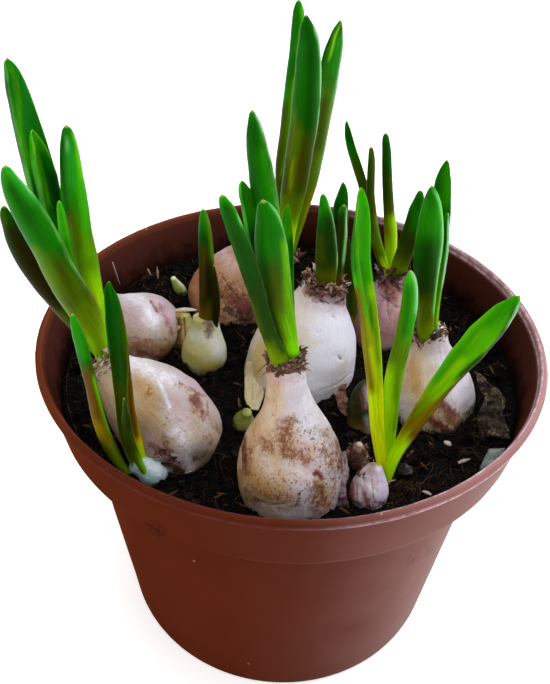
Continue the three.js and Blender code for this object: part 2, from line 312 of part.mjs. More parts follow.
// the profile starts and ends on the axis
function turned(profile) {
  const lathe = new THREE.LatheGeometry(profile.map(([r, z]) => new THREE.Vector2(r, z)), POT_SEGMENTS);
  return solidFrom(lathe.rotateX(Math.PI / 2));
}
let pot = turned(potProfile);
if (pot.volume() < 0) throw new Error('pot faces inwards');
for (let i = 0; i < HOLE_COUNT; i++) {
  const a = 2 * Math.PI * (i + .5) / HOLE_COUNT;
  const bore = new THREE.CylinderGeometry(HOLE_RADIUS, HOLE_RADIUS, 8, 10);
  bore.rotateX(Math.PI / 2);
  bore.translate(HOLE_RING * Math.cos(a), HOLE_RING * Math.sin(a), 1);
  pot = pot.subtract(solidFrom(bore));
}
place('pot', pot, null, material('#7c3a26', .42));
// what the contents keep clear of: the wall and floor, thicker by the gap
const wallClearance = turned([
  [0, -1], [70, -1], [70, POT_HEIGHT + GAP], [58.8, POT_HEIGHT + GAP],
  ...INSIDE.map(([r, z], i) => [r - GAP - .05, i === 0 ? z + GAP : z + (i > 3 ? GAP : 0)]),
  [0, FLOOR_Z + GAP],
]);
solids.push({ name: 'pot', grown: wallClearance, box: wallClearance.boundingBox() });

// ---------------------------------------------------------------------- bulbs
const SKIN = {
  bulb_front: '#cbb096', bulb_center: '#ddd2c8', bulb_left: '#cdbda9', bulb_left_back: '#c9aca2',
  bulb_small_white: '#c9cf9f', bulb_back: '#b0886b', bulb_right: '#d2c2b0', bulb_right_back: '#b79a90',
  bulb_green: '#8f9a5a', bulblet_striped: '#b3a09a', bulblet_brown: '#93806f', bulb_front_left: '#c7d2bf',
  bulblet_tiny: '#a9ae5c', bulblet_scaly: '#b4a045', sprout_pale: '#d7dcab',
};
for (const bulb of BULBS) {
  const solid = fitted(solidFrom(bulbGeometry(bulb)));
  place(bulb[0], solid, solidFrom(bulbGeometry(bulb, GAP)), material(SKIN[bulb[0]], .5));
}

// --------------------------------------------------------------------- leaves
for (const leaf of LEAVES) {
  const sink = leaf[0] === 'leaf_between' ? 2 : 4;
  const thick = leaf[0].startsWith('shoot') ? 1.5 : 1;
  const tint = leaf[0].startsWith('shoot') ? '#4b4a1d' : (leaf[0] === 'leaf_between' ? '#6a5a1c' : (/leaf_f[rl]/.test(leaf[0]) ? '#86a312' : '#2f7d12'));
  const solid = fitted(solidFrom(leafGeometry(leaf, { sink, thick })));
  place(leaf[0], solid, solidFrom(leafGeometry(leaf, { sink, thick, grow: GAP })), material(tint, .38));
}

// --------------------------------------------------------------------- flakes
for (const flake of FLAKES) {
  const solid = fitted(solidFrom(leafGeometry(flake, { thick: .35 })));
  place(flake[0], solid, solidFrom(leafGeometry(flake, { thick: .35, grow: GAP })), material(flake[0] === 'dried_skin' ? '#6d5a43' : '#8c9a98', .8));
}

// ----------------------------------------------------------------------- soil
// follows the inside of the pot, with an uneven top that dips between bulbs
function soilTop(x, y) {
  const edge = THREE.MathUtils.smoothstep(Math.hypot(x, y), 40, 52);
  const bumps = .9 * Math.sin(x * .19 + 1.3) * Math.cos(y * .17 - .4) + .6 * Math.sin(x * .41 - y * .33)
    + .5 * Math.cos(x * .11 + y * .57);
  return SOIL_LEVEL + bumps * (1 - .75 * edge) + 1.0 * edge;
}
function soilRing(radius, z) {
  const ring = [];
  for (let j = 0; j < POT_SEGMENTS; j++) {
    const a = 2 * Math.PI * j / POT_SEGMENTS;
    const x = radius * Math.sin(a), y = -radius * Math.cos(a);
    ring.push(new THREE.Vector3(x, y, z === null ? soilTop(x, y) : z));
  }
  return ring;
}
// up the inside of the pot, a gap clear of it, then in across the top
const soilRings = [];
const wallSide = INSIDE.slice(3).reverse();
wallSide.forEach(([r, z], i) => soilRings.push(soilRing(r - GAP - .1, i < 1 ? z + GAP : (i > 2 ? z + GAP + .1 : z))));
const slope = (57.4 - (COLLAR_BOTTOM_RADIUS - WALL)) / (84.9 - COLLAR_BOTTOM_Z - 1.2);
soilRings.push(soilRing(COLLAR_BOTTOM_RADIUS - WALL + slope * (SOIL_LEVEL + .6 - COLLAR_BOTTOM_Z - 1.2) - GAP - .1, null));
for (const r of [48, 38, 27, 14]) soilRings.push(soilRing(r, null));
const soil = solidFrom(skin(soilRings, new THREE.Vector3(0, 0, FLOOR_Z + GAP), new THREE.Vector3(0, 0, soilTop(0, 0))));
solids.shift();
place('soil', fitted(soil), null, material('#1a1310', .95));

export default plant;
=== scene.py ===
import math

import bpy
import numpy as np
from mathutils import Matrix, Vector


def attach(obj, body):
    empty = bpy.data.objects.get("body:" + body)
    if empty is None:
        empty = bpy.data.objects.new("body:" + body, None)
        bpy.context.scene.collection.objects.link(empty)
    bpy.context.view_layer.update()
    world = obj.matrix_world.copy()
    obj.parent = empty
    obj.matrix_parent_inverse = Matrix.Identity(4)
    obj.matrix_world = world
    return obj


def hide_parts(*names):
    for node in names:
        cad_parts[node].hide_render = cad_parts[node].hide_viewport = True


# Potted grape hyacinth: sprouting bulbs in a terracotta-brown plastic pot.
# Lengths below are in millimetres, and turn into metres in make().
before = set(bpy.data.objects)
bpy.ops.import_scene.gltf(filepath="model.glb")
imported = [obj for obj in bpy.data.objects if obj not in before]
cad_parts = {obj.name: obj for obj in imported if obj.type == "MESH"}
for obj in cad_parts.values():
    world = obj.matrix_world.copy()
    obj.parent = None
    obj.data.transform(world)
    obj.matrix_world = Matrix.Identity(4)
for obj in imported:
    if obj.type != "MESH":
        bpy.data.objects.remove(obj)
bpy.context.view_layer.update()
MM = 0.001
TAU = 2 * math.pi


# ------------------------------------------------------------------ numbers
def unit(v):
    v = np.asarray(v, float)
    return v / np.maximum(np.linalg.norm(v, axis=-1, keepdims=True), 1e-12)


def smooth(x, a, b):
    t = np.clip((np.asarray(x, float) - a) / (b - a), 0, 1)
    return t * t * (3 - 2 * t)


def _hash(ix, iy, iz, seed):
    h = (ix * 374761393 + iy * 668265263 + iz * 1440662683 + seed * 974634777) & 0xFFFFFFFF
    h = ((h ^ (h >> 13)) * 1274126177) & 0xFFFFFFFF
    h = ((h ^ (h >> 15)) * 2246822519) & 0xFFFFFFFF
    return ((h ^ (h >> 16)) & 0xFFFFF) / float(0xFFFFF)


def noise3(P, seed=0):
    """Value noise from -1 to 1, one feature per unit."""
    P = np.asarray(P, float)
    if P.ndim == 1:
        return float(noise3(P[None], seed)[0])
    I = np.floor(P).astype(np.int64)
    F = P - I
    F = F * F * F * (F * (F * 6 - 15) + 10)
    out = 0
    for dx in (0, 1):
        for dy in (0, 1):
            for dz in (0, 1):
                w = ((F[..., 0] if dx else 1 - F[..., 0]) * (F[..., 1] if dy else 1 - F[..., 1])
                     * (F[..., 2] if dz else 1 - F[..., 2]))
                out = out + w * _hash(I[..., 0] + dx, I[..., 1] + dy, I[..., 2] + dz, seed)
    return out * 2 - 1


def fbm(P, octaves=4, seed=0, gain=0.5):
    P = np.asarray(P, float)
    out, amp, total = 0, 1.0, 0.0
    for k in range(octaves):
        out = out + amp * noise3(P * 2.03 ** k + 17.3 * k, seed + k)
        total += amp
        amp *= gain
    return out / total


def pchip(x, y, q):
    """Smooth curve through (x, y) with no overshoot, at q."""
    x, y, q = (np.asarray(v, float) for v in (x, y, q))
    h, d = np.diff(x), np.diff(y) / np.diff(x)
    m = np.zeros(len(x))
    m[0], m[-1] = d[0], d[-1]
    for i in range(1, len(x) - 1):
        if d[i - 1] * d[i] > 0:
            w1, w2 = 2 * h[i] + h[i - 1], h[i] + 2 * h[i - 1]
            m[i] = (w1 + w2) / (w1 / d[i - 1] + w2 / d[i])
    i = np.clip(np.searchsorted(x, q, side="right") - 1, 0, len(x) - 2)
    t = np.clip((q - x[i]) / h[i], 0, 1)
    return ((2 * t**3 - 3 * t**2 + 1) * y[i] + (t**3 - 2 * t**2 + t) * h[i] * m[i]
            + (-2 * t**3 + 3 * t**2) * y[i + 1] + (t**3 - t**2) * h[i] * m[i + 1])


def along(points, q):
    """Points on a smooth line through the given ones, q from 0 to 1 by length."""
    p = np.asarray(points, float)
    c = np.r_[0, np.cumsum(np.linalg.norm(np.diff(p, axis=0), axis=1))]
    h = np.diff(c)
    d = np.diff(p, axis=0) / h[:, None]
    m = np.zeros_like(p)
    m[0], m[-1] = d[0], d[-1]
    for i in range(1, len(p) - 1):
        m[i] = (d[i - 1] * h[i] + d[i] * h[i - 1]) / (h[i - 1] + h[i])
    s = np.asarray(q, float) * c[-1]
    i = np.clip(np.searchsorted(c, s, side="right") - 1, 0, len(p) - 2)
    t = ((s - c[i]) / h[i])[:, None]
    hh = h[i][:, None]
    return ((2 * t**3 - 3 * t**2 + 1) * p[i] + (t**3 - 2 * t**2 + t) * hh * m[i]
            + (-2 * t**3 + 3 * t**2) * p[i + 1] + (t**3 - t**2) * hh * m[i + 1]), c[-1]


# ------------------------------------------------------------------- meshes
def make(name, verts, quads=(), tris=(), mat=None, attrs=None, shade=True):
    me = bpy.data.meshes.new(name)
    V = np.asarray(verts, np.float32) * MM
    q = np.asarray(quads, np.int32).reshape(-1, 4)
    t = np.asarray(tris, np.int32).reshape(-1, 3)
    me.vertices.add(len(V))
    me.vertices.foreach_set("co", V.ravel())
    me.loops.add(q.size + t.size)
    me.loops.foreach_set("vertex_index", np.concatenate([q.ravel(), t.ravel()]))
    me.polygons.add(len(q) + len(t))
    me.polygons.foreach_set("loop_start", np.concatenate([np.arange(len(q)) * 4, q.size + np.arange(len(t)) * 3]))
    me.update(calc_edges=True)
    me.validate()
    me.polygons.foreach_set("use_smooth", np.full(len(me.polygons), bool(shade)))
    for key, values in (attrs or {}).items():
        values = np.asarray(values, np.float32)
        kind = "FLOAT_VECTOR" if values.ndim == 2 else "FLOAT"
        a = me.attributes.new(key, kind, "POINT")
        a.data.foreach_set("vector" if values.ndim == 2 else "value", values.ravel())
    obj = bpy.data.objects.new(name, me)
    bpy.context.scene.collection.objects.link(obj)
    if mat is not None:
        me.materials.append(mat)
    return obj


def piece(obj, slot, *nodes):
    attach(obj, "root")
    if nodes:
        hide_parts(*nodes)
    return obj


def grid_faces(rows, cols, wrap=True, flip=False):
    """Quads over rows of points, wrapped around in the column direction."""
    j = np.arange(cols if wrap else cols - 1)
    k = (j + 1) % cols
    i = np.arange(rows - 1)[:, None]
    q = np.stack([i * cols + j, i * cols + k, (i + 1) * cols + k, (i + 1) * cols + j], -1).reshape(-1, 4)
    return q[:, ::-1] if flip else q


def fan(centre, ring, flip=False):
    ring = np.asarray(ring)
    t = np.stack([np.full(len(ring), centre), ring, np.roll(ring, -1)], -1)
    return t[:, ::-1] if flip else t


class Batch:
    """Gathers many small closed shapes into one mesh."""

    def __init__(self):
        self.v, self.q, self.t, self.a, self.n = [], [], [], {}, 0

    def add(self, verts, quads=(), tris=(), **attrs):
        verts = np.asarray(verts, float)
        self.v.append(verts)
        self.q.append(np.asarray(quads, int).reshape(-1, 4) + self.n)
        self.t.append(np.asarray(tris, int).reshape(-1, 3) + self.n)
        for k, val in attrs.items():
            val = np.asarray(val, float)
            if val.ndim == 0:
                val = np.full(len(verts), float(val))
            self.a.setdefault(k, []).append(val)
        self.n += len(verts)

    def build(self, name, mat, shade=True):
        return make(name, np.concatenate(self.v), np.concatenate(self.q), np.concatenate(self.t), mat,
                    {k: np.concatenate(v) for k, v in self.a.items()}, shade)


def thin_strip(line, widths, up, thick=0.16, across=4, cup=0.0, rng=None, ragged=0.0):
    """A closed thin strip: line (n,3), widths (n,), up (n,3) the face's outward direction.
    Returns verts, quads, and the strip's own coordinates (along, across)."""
    line, up = np.asarray(line, float), np.asarray(up, float)
    n = len(line)
    tangent = unit(np.gradient(line, axis=0))
    up = unit(up - tangent * np.sum(up * tangent, axis=1, keepdims=True))
    side = np.cross(tangent, up)
    x = np.linspace(-1, 1, across)
    half = np.asarray(widths, float)[:, None] / 2 * np.ones((1, across))
    if rng is not None and ragged:
        jag = 1 + ragged * rng.uniform(-1, 1, (n, 2))
        half = half * (jag[:, :1] * (x < 0) + jag[:, 1:] * (x > 0) + (x == 0))
    off = x * half
    lift = -cup * (x**2) * half
    mid = line[:, None] + side[:, None] * off[..., None] + up[:, None] * lift[..., None]
    th = thick / 2 * (1 - 0.75 * np.abs(x) ** 3)
    top = mid + up[:, None] * th[None, :, None]
    low = mid - up[:, None] * th[None, :, None]
    ring = np.concatenate([top, low[:, ::-1]], axis=1)
    c = ring.shape[1]
    V = ring.reshape(-1, 3)
    quads = grid_faces(n, c)
    caps = []
    half_c = c // 2
    for row, flip in ((0, True), (n - 1, False)):
        b = row * c
        for k in range(half_c - 1):
            f = [b + k, b + k + 1, b + c - 2 - k, b + c - 1 - k]
            caps.append(f[::-1] if flip else f)
    s = np.repeat(np.linspace(0, 1, n), c)
    u = np.tile(np.r_[x, x[::-1]], n)
    return V, np.concatenate([quads, np.array(caps)]), s, u


def tube(line, radii, sides=5):
    line = np.asarray(line, float)
    tangent = unit(np.gradient(line, axis=0))
    helper = np.where(np.abs(tangent[:, 2:3]) < 0.8, [[0.0, 0.0, 1.0]], [[0.0, 1.0, 0.0]])
    x = unit(np.cross(helper, tangent))
    y = np.cross(tangent, x)
    a = np.arange(sides) * TAU / sides
    r = np.asarray(radii, float)[:, None, None]
    V = line[:, None] + r * (np.cos(a)[None, :, None] * x[:, None] + np.sin(a)[None, :, None] * y[:, None])
    V = V.reshape(-1, 3)
    n = len(line)
    q = grid_faces(n, sides)
    m = len(V)
    V = np.concatenate([V, line[:1], line[-1:]])
    t = np.concatenate([fan(m, np.arange(sides), True), fan(m + 1, np.arange(sides) + (n - 1) * sides)])
    return V, q, t


# ------------------------------------------------------------------ shaders
def rgb(r, g, b, gain=1.0):
    """A colour from 0-255 display values to the linear ones a shader takes."""
    out = []
    for c in (r, g, b):
        c /= 255
        out.append(min((c / 12.92 if c <= 0.04045 else ((c + 0.055) / 1.055) ** 2.4) * gain, 1.0))
    return (*out, 1.0)


class Mat:
    """A small builder of procedural node materials."""

    def __init__(self, name, rough=0.5, spec=0.5):
        self.m = bpy.data.materials.new(name)
        self.m.use_nodes = True
        self.t = self.m.node_tree
        self.t.nodes.clear()
        out = self.t.nodes.new("ShaderNodeOutputMaterial")
        self.b = self.t.nodes.new("ShaderNodeBsdfPrincipled")
        self.t.links.new(self.b.outputs[0], out.inputs[0])
        self.b.inputs["Roughness"].default_value = rough
        self.b.inputs["Specular IOR Level"].default_value = spec
        self._mm = None

    def put(self, socket, value):
        if hasattr(value, "is_linked") or hasattr(value, "links"):
            self.t.links.new(value, socket)
        else:
            socket.default_value = value

    def set(self, name, value):
        self.put(self.b.inputs[name], value)
        return self

    def node(self, kind, **props):
        n = self.t.nodes.new(kind)
        for k, v in props.items():
            setattr(n, k, v)
        return n

    def mm(self):
        """Place on the object, in millimetres."""
        if self._mm is None:
            c = self.node("ShaderNodeTexCoord")
            self._mm = self.vmul(c.outputs["Object"], (1000, 1000, 1000))
        return self._mm

    def vmul(self, vec, by):
        n = self.node("ShaderNodeVectorMath", operation="MULTIPLY")
        self.put(n.inputs[0], vec)
        self.put(n.inputs[1], by)
        return n.outputs[0]

    def vadd(self, vec, by):
        n = self.node("ShaderNodeVectorMath", operation="ADD")
        self.put(n.inputs[0], vec)
        self.put(n.inputs[1], by)
        return n.outputs[0]

    def attr(self, name):
        return self.node("ShaderNodeAttribute", attribute_name=name).outputs["Fac"]

    def attrv(self, name):
        return self.node("ShaderNodeAttribute", attribute_name=name).outputs["Vector"]

    def xyz(self, x=0.0, y=0.0, z=0.0):
        n = self.node("ShaderNodeCombineXYZ")
        for s, v in zip(n.inputs, (x, y, z)):
            self.put(s, v)
        return n.outputs[0]

    def part(self, vec, i):
        n = self.node("ShaderNodeSeparateXYZ")
        self.put(n.inputs[0], vec)
        return n.outputs[i]

    def noise(self, vec, scale=1.0, detail=3.0, rough=0.5, warp=0.0):
        n = self.node("ShaderNodeTexNoise")
        self.put(n.inputs["Vector"], vec)
        for k, v in (("Scale", scale), ("Detail", detail), ("Roughness", rough), ("Distortion", warp)):
            n.inputs[k].default_value = v
        return n.outputs[0]

    def voronoi(self, vec, scale=1.0, feature="F1", randomness=1.0):
        n = self.node("ShaderNodeTexVoronoi", feature=feature)
        self.put(n.inputs["Vector"], vec)
        n.inputs["Scale"].default_value = scale
        n.inputs["Randomness"].default_value = randomness
        return n.outputs["Distance"]

    def math(self, op, a, b=0.0, clamp=False):
        n = self.node("ShaderNodeMath", operation=op, use_clamp=clamp)
        self.put(n.inputs[0], a)
        self.put(n.inputs[1], b)
        return n.outputs[0]

    def mul(self, a, b):
        return self.math("MULTIPLY", a, b)

    def add(self, a, b):
        return self.math("ADD", a, b)

    def sub(self, a, b):
        return self.math("SUBTRACT", a, b)

    def fit(self, value, a, b, c=0.0, d=1.0, soft=True):
        n = self.node("ShaderNodeMapRange", interpolation_type="SMOOTHSTEP" if soft else "LINEAR", clamp=True)
        self.put(n.inputs["Value"], value)
        for k, v in (("From Min", a), ("From Max", b), ("To Min", c), ("To Max", d)):
            self.put(n.inputs[k], v)
        return n.outputs["Result"]

    def mix(self, fac, a, b, mode="MIX"):
        n = self.node("ShaderNodeMix", data_type="RGBA", blend_type=mode, clamp_factor=True)
        self.put(n.inputs[0], fac)
        self.put(n.inputs[6], a)
        self.put(n.inputs[7], b)
        return n.outputs[2]

    def ramp(self, fac, stops, mode="LINEAR"):
        n = self.node("ShaderNodeValToRGB")
        self.put(n.inputs[0], fac)
        r = n.color_ramp
        r.interpolation = mode
        stops = sorted(stops, key=lambda s: s[0])
        r.elements[0].position, r.elements[0].color = stops[0]
        r.elements[1].position, r.elements[1].color = stops[-1]
        for pos, col in stops[1:-1]:
            r.elements.new(pos).color = col
        return n.outputs[0]

    def bump(self, height, strength=0.5, distance=0.1, normal=None):
        """distance in millimetres"""
        n = self.node("ShaderNodeBump")
        n.inputs["Strength"].default_value = strength
        n.inputs["Distance"].default_value = distance * MM
        self.put(n.inputs["Height"], height)
        if normal is not None:
            self.put(n.inputs["Normal"], normal)
        self.set("Normal", n.outputs[0])
        return n.outputs[0]

    def flesh(self, weight, scale, radius):
        self.b.inputs["Subsurface Weight"].default_value = weight
        self.b.inputs["Subsurface Scale"].default_value = scale * MM
        self.b.inputs["Subsurface Radius"].default_value = radius
        return self


# -------------------------------------------------------------- camera frame
# The view of the reference picture, 550 x 684: eye place, then its right, down
# and forward directions.
EYE = np.array([0.0, -144.002, 197.548])
FOCAL, MID_U, MID_V = 750.0, 275.0, 342.0


def view_axes(pitch=0.6774, yaw=-0.0212, roll=0.0542):
    fwd = np.array([0, math.cos(pitch), -math.sin(pitch)])
    right = np.array([1.0, 0, 0])
    base = np.array([right, np.cross(fwd, right), fwd])
    cy, sy, cr, sr = math.cos(yaw), math.sin(yaw), math.cos(roll), math.sin(roll)
    turn = np.array([[cy, 0, -sy], [0, 1, 0], [sy, 0, cy]])
    lean = np.array([[cr, -sr, 0], [sr, cr, 0], [0, 0, 1]])
    return lean @ turn @ base


VIEW = view_axes()


def to_picture(P):
    X = (np.asarray(P, float) - EYE) @ VIEW.T
    return MID_U + FOCAL * X[..., 0] / X[..., 2], MID_V + FOCAL * X[..., 1] / X[..., 2], X[..., 2]


def ray(u, v):
    return np.array([(u - MID_U) / FOCAL, (v - MID_V) / FOCAL, 1.0]) @ VIEW


def at_z(u, v, z):
    d = ray(u, v)
    return EYE + d * ((z - EYE[2]) / d[2])


def at_y(u, v, y):
    d = ray(u, v)
    return EYE + d * ((y - EYE[1]) / d[1])


def picture_distance(V, line):
    """How far points lie from a line of picture points, in pixels, and where along it."""
    u, v, _ = to_picture(V)
    line = np.array(line, float)
    if len(line) == 1:
        return np.hypot(u - line[0, 0], v - line[0, 1]), np.zeros(len(V)), 0.0
    best, place, run = np.full(len(V), 1e9), np.zeros(len(V)), 0.0
    last = len(line) - 2
    for k, (a, b) in enumerate(zip(line[:-1], line[1:])):
        d = b - a
        size = math.hypot(*d)
        d = d / max(size, 1e-9)
        t = (u - a[0]) * d[0] + (v - a[1]) * d[1]
        t = np.clip(t, -1e3 if k == 0 else 0, 1e3 if k == last else size)
        r = np.hypot(u - a[0] - t * d[0], v - a[1] - t * d[1])
        near = r < best
        best, place = np.where(near, r, best), np.where(near, run + t, place)
        run += size
    return best, place, run


def stroke_weight(V, line, r, crisp=False):
    """A brush stroke along a line of picture points, soft or crisp at its sides."""
    d, t, total = picture_distance(V, line)
    w = 1 - smooth(d, 0.72 * r, 1.12 * r) if crisp else np.exp(-1.15 * (d / r) ** 2)
    if total:
        fade = max(1.3 * r, 6.0)
        w = w * smooth(t, -fade, fade) * smooth(total - t, -fade, fade)
    return w


def make_camera():
    cam = bpy.data.cameras.new("camera")
    cam.sensor_width = 36
    cam.sensor_fit = "AUTO"
    cam.lens = FOCAL * 36 / 684
    cam.clip_start, cam.clip_end = 0.005, 20
    obj = bpy.data.objects.new("camera", cam)
    bpy.context.scene.collection.objects.link(obj)
    right, up, back = VIEW[0], -VIEW[1], -VIEW[2]
    eye = EYE * MM
    obj.matrix_world = Matrix([[*map(float, (right[i], up[i], back[i], eye[i]))] for i in range(3)] + [[0, 0, 0, 1]])
    bpy.context.scene.camera = obj


def area_light(name, place, aim, size, power, colour=(1, 1, 1)):
    light = bpy.data.lights.new(name, "AREA")
    light.shape = "RECTANGLE"
    light.size, light.size_y = size
    light.energy = power
    light.color = colour
    obj = bpy.data.objects.new(name, light)
    bpy.context.scene.collection.objects.link(obj)
    obj.location = place
    obj.rotation_euler = (Vector(aim) - Vector(place)).to_track_quat("-Z", "Y").to_euler()
    return obj


def make_stage():
    scene = bpy.context.scene
    scene.view_settings.view_transform = "Standard"
    scene.view_settings.look = "None"
    # soft studio: brighter from the right and behind, as by a window
    world = bpy.data.worlds.new("studio")
    scene.world = world
    world.use_nodes = True
    t = world.node_tree
    bg = t.nodes["Background"]
    coord = t.nodes.new("ShaderNodeTexCoord")
    dot = t.nodes.new("ShaderNodeVectorMath")
    dot.operation = "DOT_PRODUCT"
    t.links.new(coord.outputs["Generated"], dot.inputs[0])
    dot.inputs[1].default_value = (0.80, 0.50, 0.33)
    ramp = t.nodes.new("ShaderNodeValToRGB")
    fit = t.nodes.new("ShaderNodeMapRange")
    t.links.new(dot.outputs["Value"], fit.inputs[0])
    fit.inputs[1].default_value, fit.inputs[2].default_value = -1, 1
    t.links.new(fit.outputs[0], ramp.inputs[0])
    e = ramp.color_ramp.elements
    e[0].position, e[0].color = 0.0, (0.30, 0.27, 0.24, 1)
    e[1].position, e[1].color = 1.0, (1.25, 1.30, 1.42, 1)
    mid = ramp.color_ramp.elements.new(0.5)
    mid.color = (0.50, 0.49, 0.49, 1)
    t.links.new(ramp.outputs[0], bg.inputs[0])
    bg.inputs[1].default_value = 1.0

    area_light("window_right", (0.46, 0.26, 0.44), (0, 0, 0.07), (0.42, 0.50), 2.6, (0.93, 0.96, 1.0))
    area_light("top_soft", (-0.05, -0.10, 0.75), (0, 0, 0.08), (0.60, 0.60), 2.2, (1.0, 0.99, 0.97))
    area_light("fill_left", (-0.55, -0.42, 0.22), (0, 0, 0.06), (0.45, 0.45), 1.3, (1.0, 0.92, 0.80))

    floor_mat = Mat("floor_pale", rough=0.75, spec=0.2)
    m = floor_mat
    n = m.noise(m.mm(), 0.004, 2)
    m.set("Base Color", m.mix(n, rgb(243, 243, 244), rgb(248, 248, 248)))
    m.set("Emission Color", (1.0, 1.0, 1.0, 1.0))
    m.set("Emission Strength", 0.46)
    m.bump(m.noise(m.mm(), 0.6, 3), 0.08, 0.05)
    s = 2600.0
    V, rows = [], []
    # a flat floor that turns up far behind into a backdrop
    path = [(-900.0, 0.0), (-300.0, 0.0), (300.0, 0.0), (900.0, 0.0)]
    path += [(900 + 500 * math.sin(k / 12 * math.pi / 2), 500 * (1 - math.cos(k / 12 * math.pi / 2))) for k in range(1, 13)]
    path += [(1400.0, 1600.0)]
    for y, z in path:
        for x in np.linspace(-s / 2, s / 2, 9):
            V.append((x, y, z))
    floor = make("floor", V, grid_faces(len(path), 9, wrap=False), mat=m.m)


make_camera()
make_stage()


# ----------------------------------------------------------------------- pot
POT_HEIGHT, FLOOR_Z = 88.2, 2.4
HOLES, HOLE_RING, HOLE_R = 8, 27.0, 3.6
RIM_IN = 58.55
INSIDE = [(57.35, 84.9), (55.7, 73.1), (50.6, 72.8), (50.1, 72.2), (43.2, 3.2), (42.4, 2.4)]


def wall_inside(z):
    """Radius of the pot's inside at a height."""
    r = [p[0] for p in INSIDE[::-1]] + [58.3]
    h = [p[1] for p in INSIDE[::-1]] + [87.6]
    return np.interp(z, h, r)


def pot_profile():
    """(r, z, rim, inside) from the foot ring up the outside, over the rim and down the inside"""
    p = [(35.6, 0.95), (36.35, 0.3), (36.6, 0.06), (36.9, 0.0), (43.2, 0.0), (43.75, 0.06), (44.2, 0.32), (44.5, 0.75), (44.65, 1.4)]
    for k in range(1, 30):
        f = k / 30
        p.append((44.65 + (51.45 - 44.65) * f, 1.4 + (70.9 - 1.4) * f))
    p += [(51.5, 71.2), (51.75, 71.65), (52.3, 71.9), (54.3, 71.9), (56.0, 71.9), (56.6, 71.98), (56.88, 72.2), (57.0, 72.6)]
    for k in range(1, 12):
        f = k / 11
        p.append((57.0 + 2.0 * f, 72.6 + 13.5 * f))
    p += [(59.1, 86.28), (59.4, 86.36), (59.72, 86.48), (59.92, 86.7), (60.0, 87.0), (59.95, 87.25), (59.82, 87.4),
          (59.66, 87.46), (59.58, 87.54), (59.58, 87.66), (59.56, 87.84), (59.44, 88.02), (59.22, 88.14), (58.95, 88.2),
          (58.72, 88.18), (58.52, 88.08), (58.38, 87.9), (58.3, 87.6)]
    n_out = len(p)
    for k in range(1, 10):
        z = 87.6 + (73.2 - 87.6) * k / 9
        p.append((float(wall_inside(z)), z))
    p += [(54.0, 72.95), (50.75, 72.8), (50.25, 72.5), (50.1, 72.2)]
    for k in range(1, 12):
        f = k / 12
        p.append((50.1 + (43.2 - 50.1) * f, 72.2 + (3.2 - 72.2) * f))
    p += [(43.2, 3.2), (42.95, 2.65), (42.4, 2.4), (36.0, 2.4)]
    return np.array(p), n_out


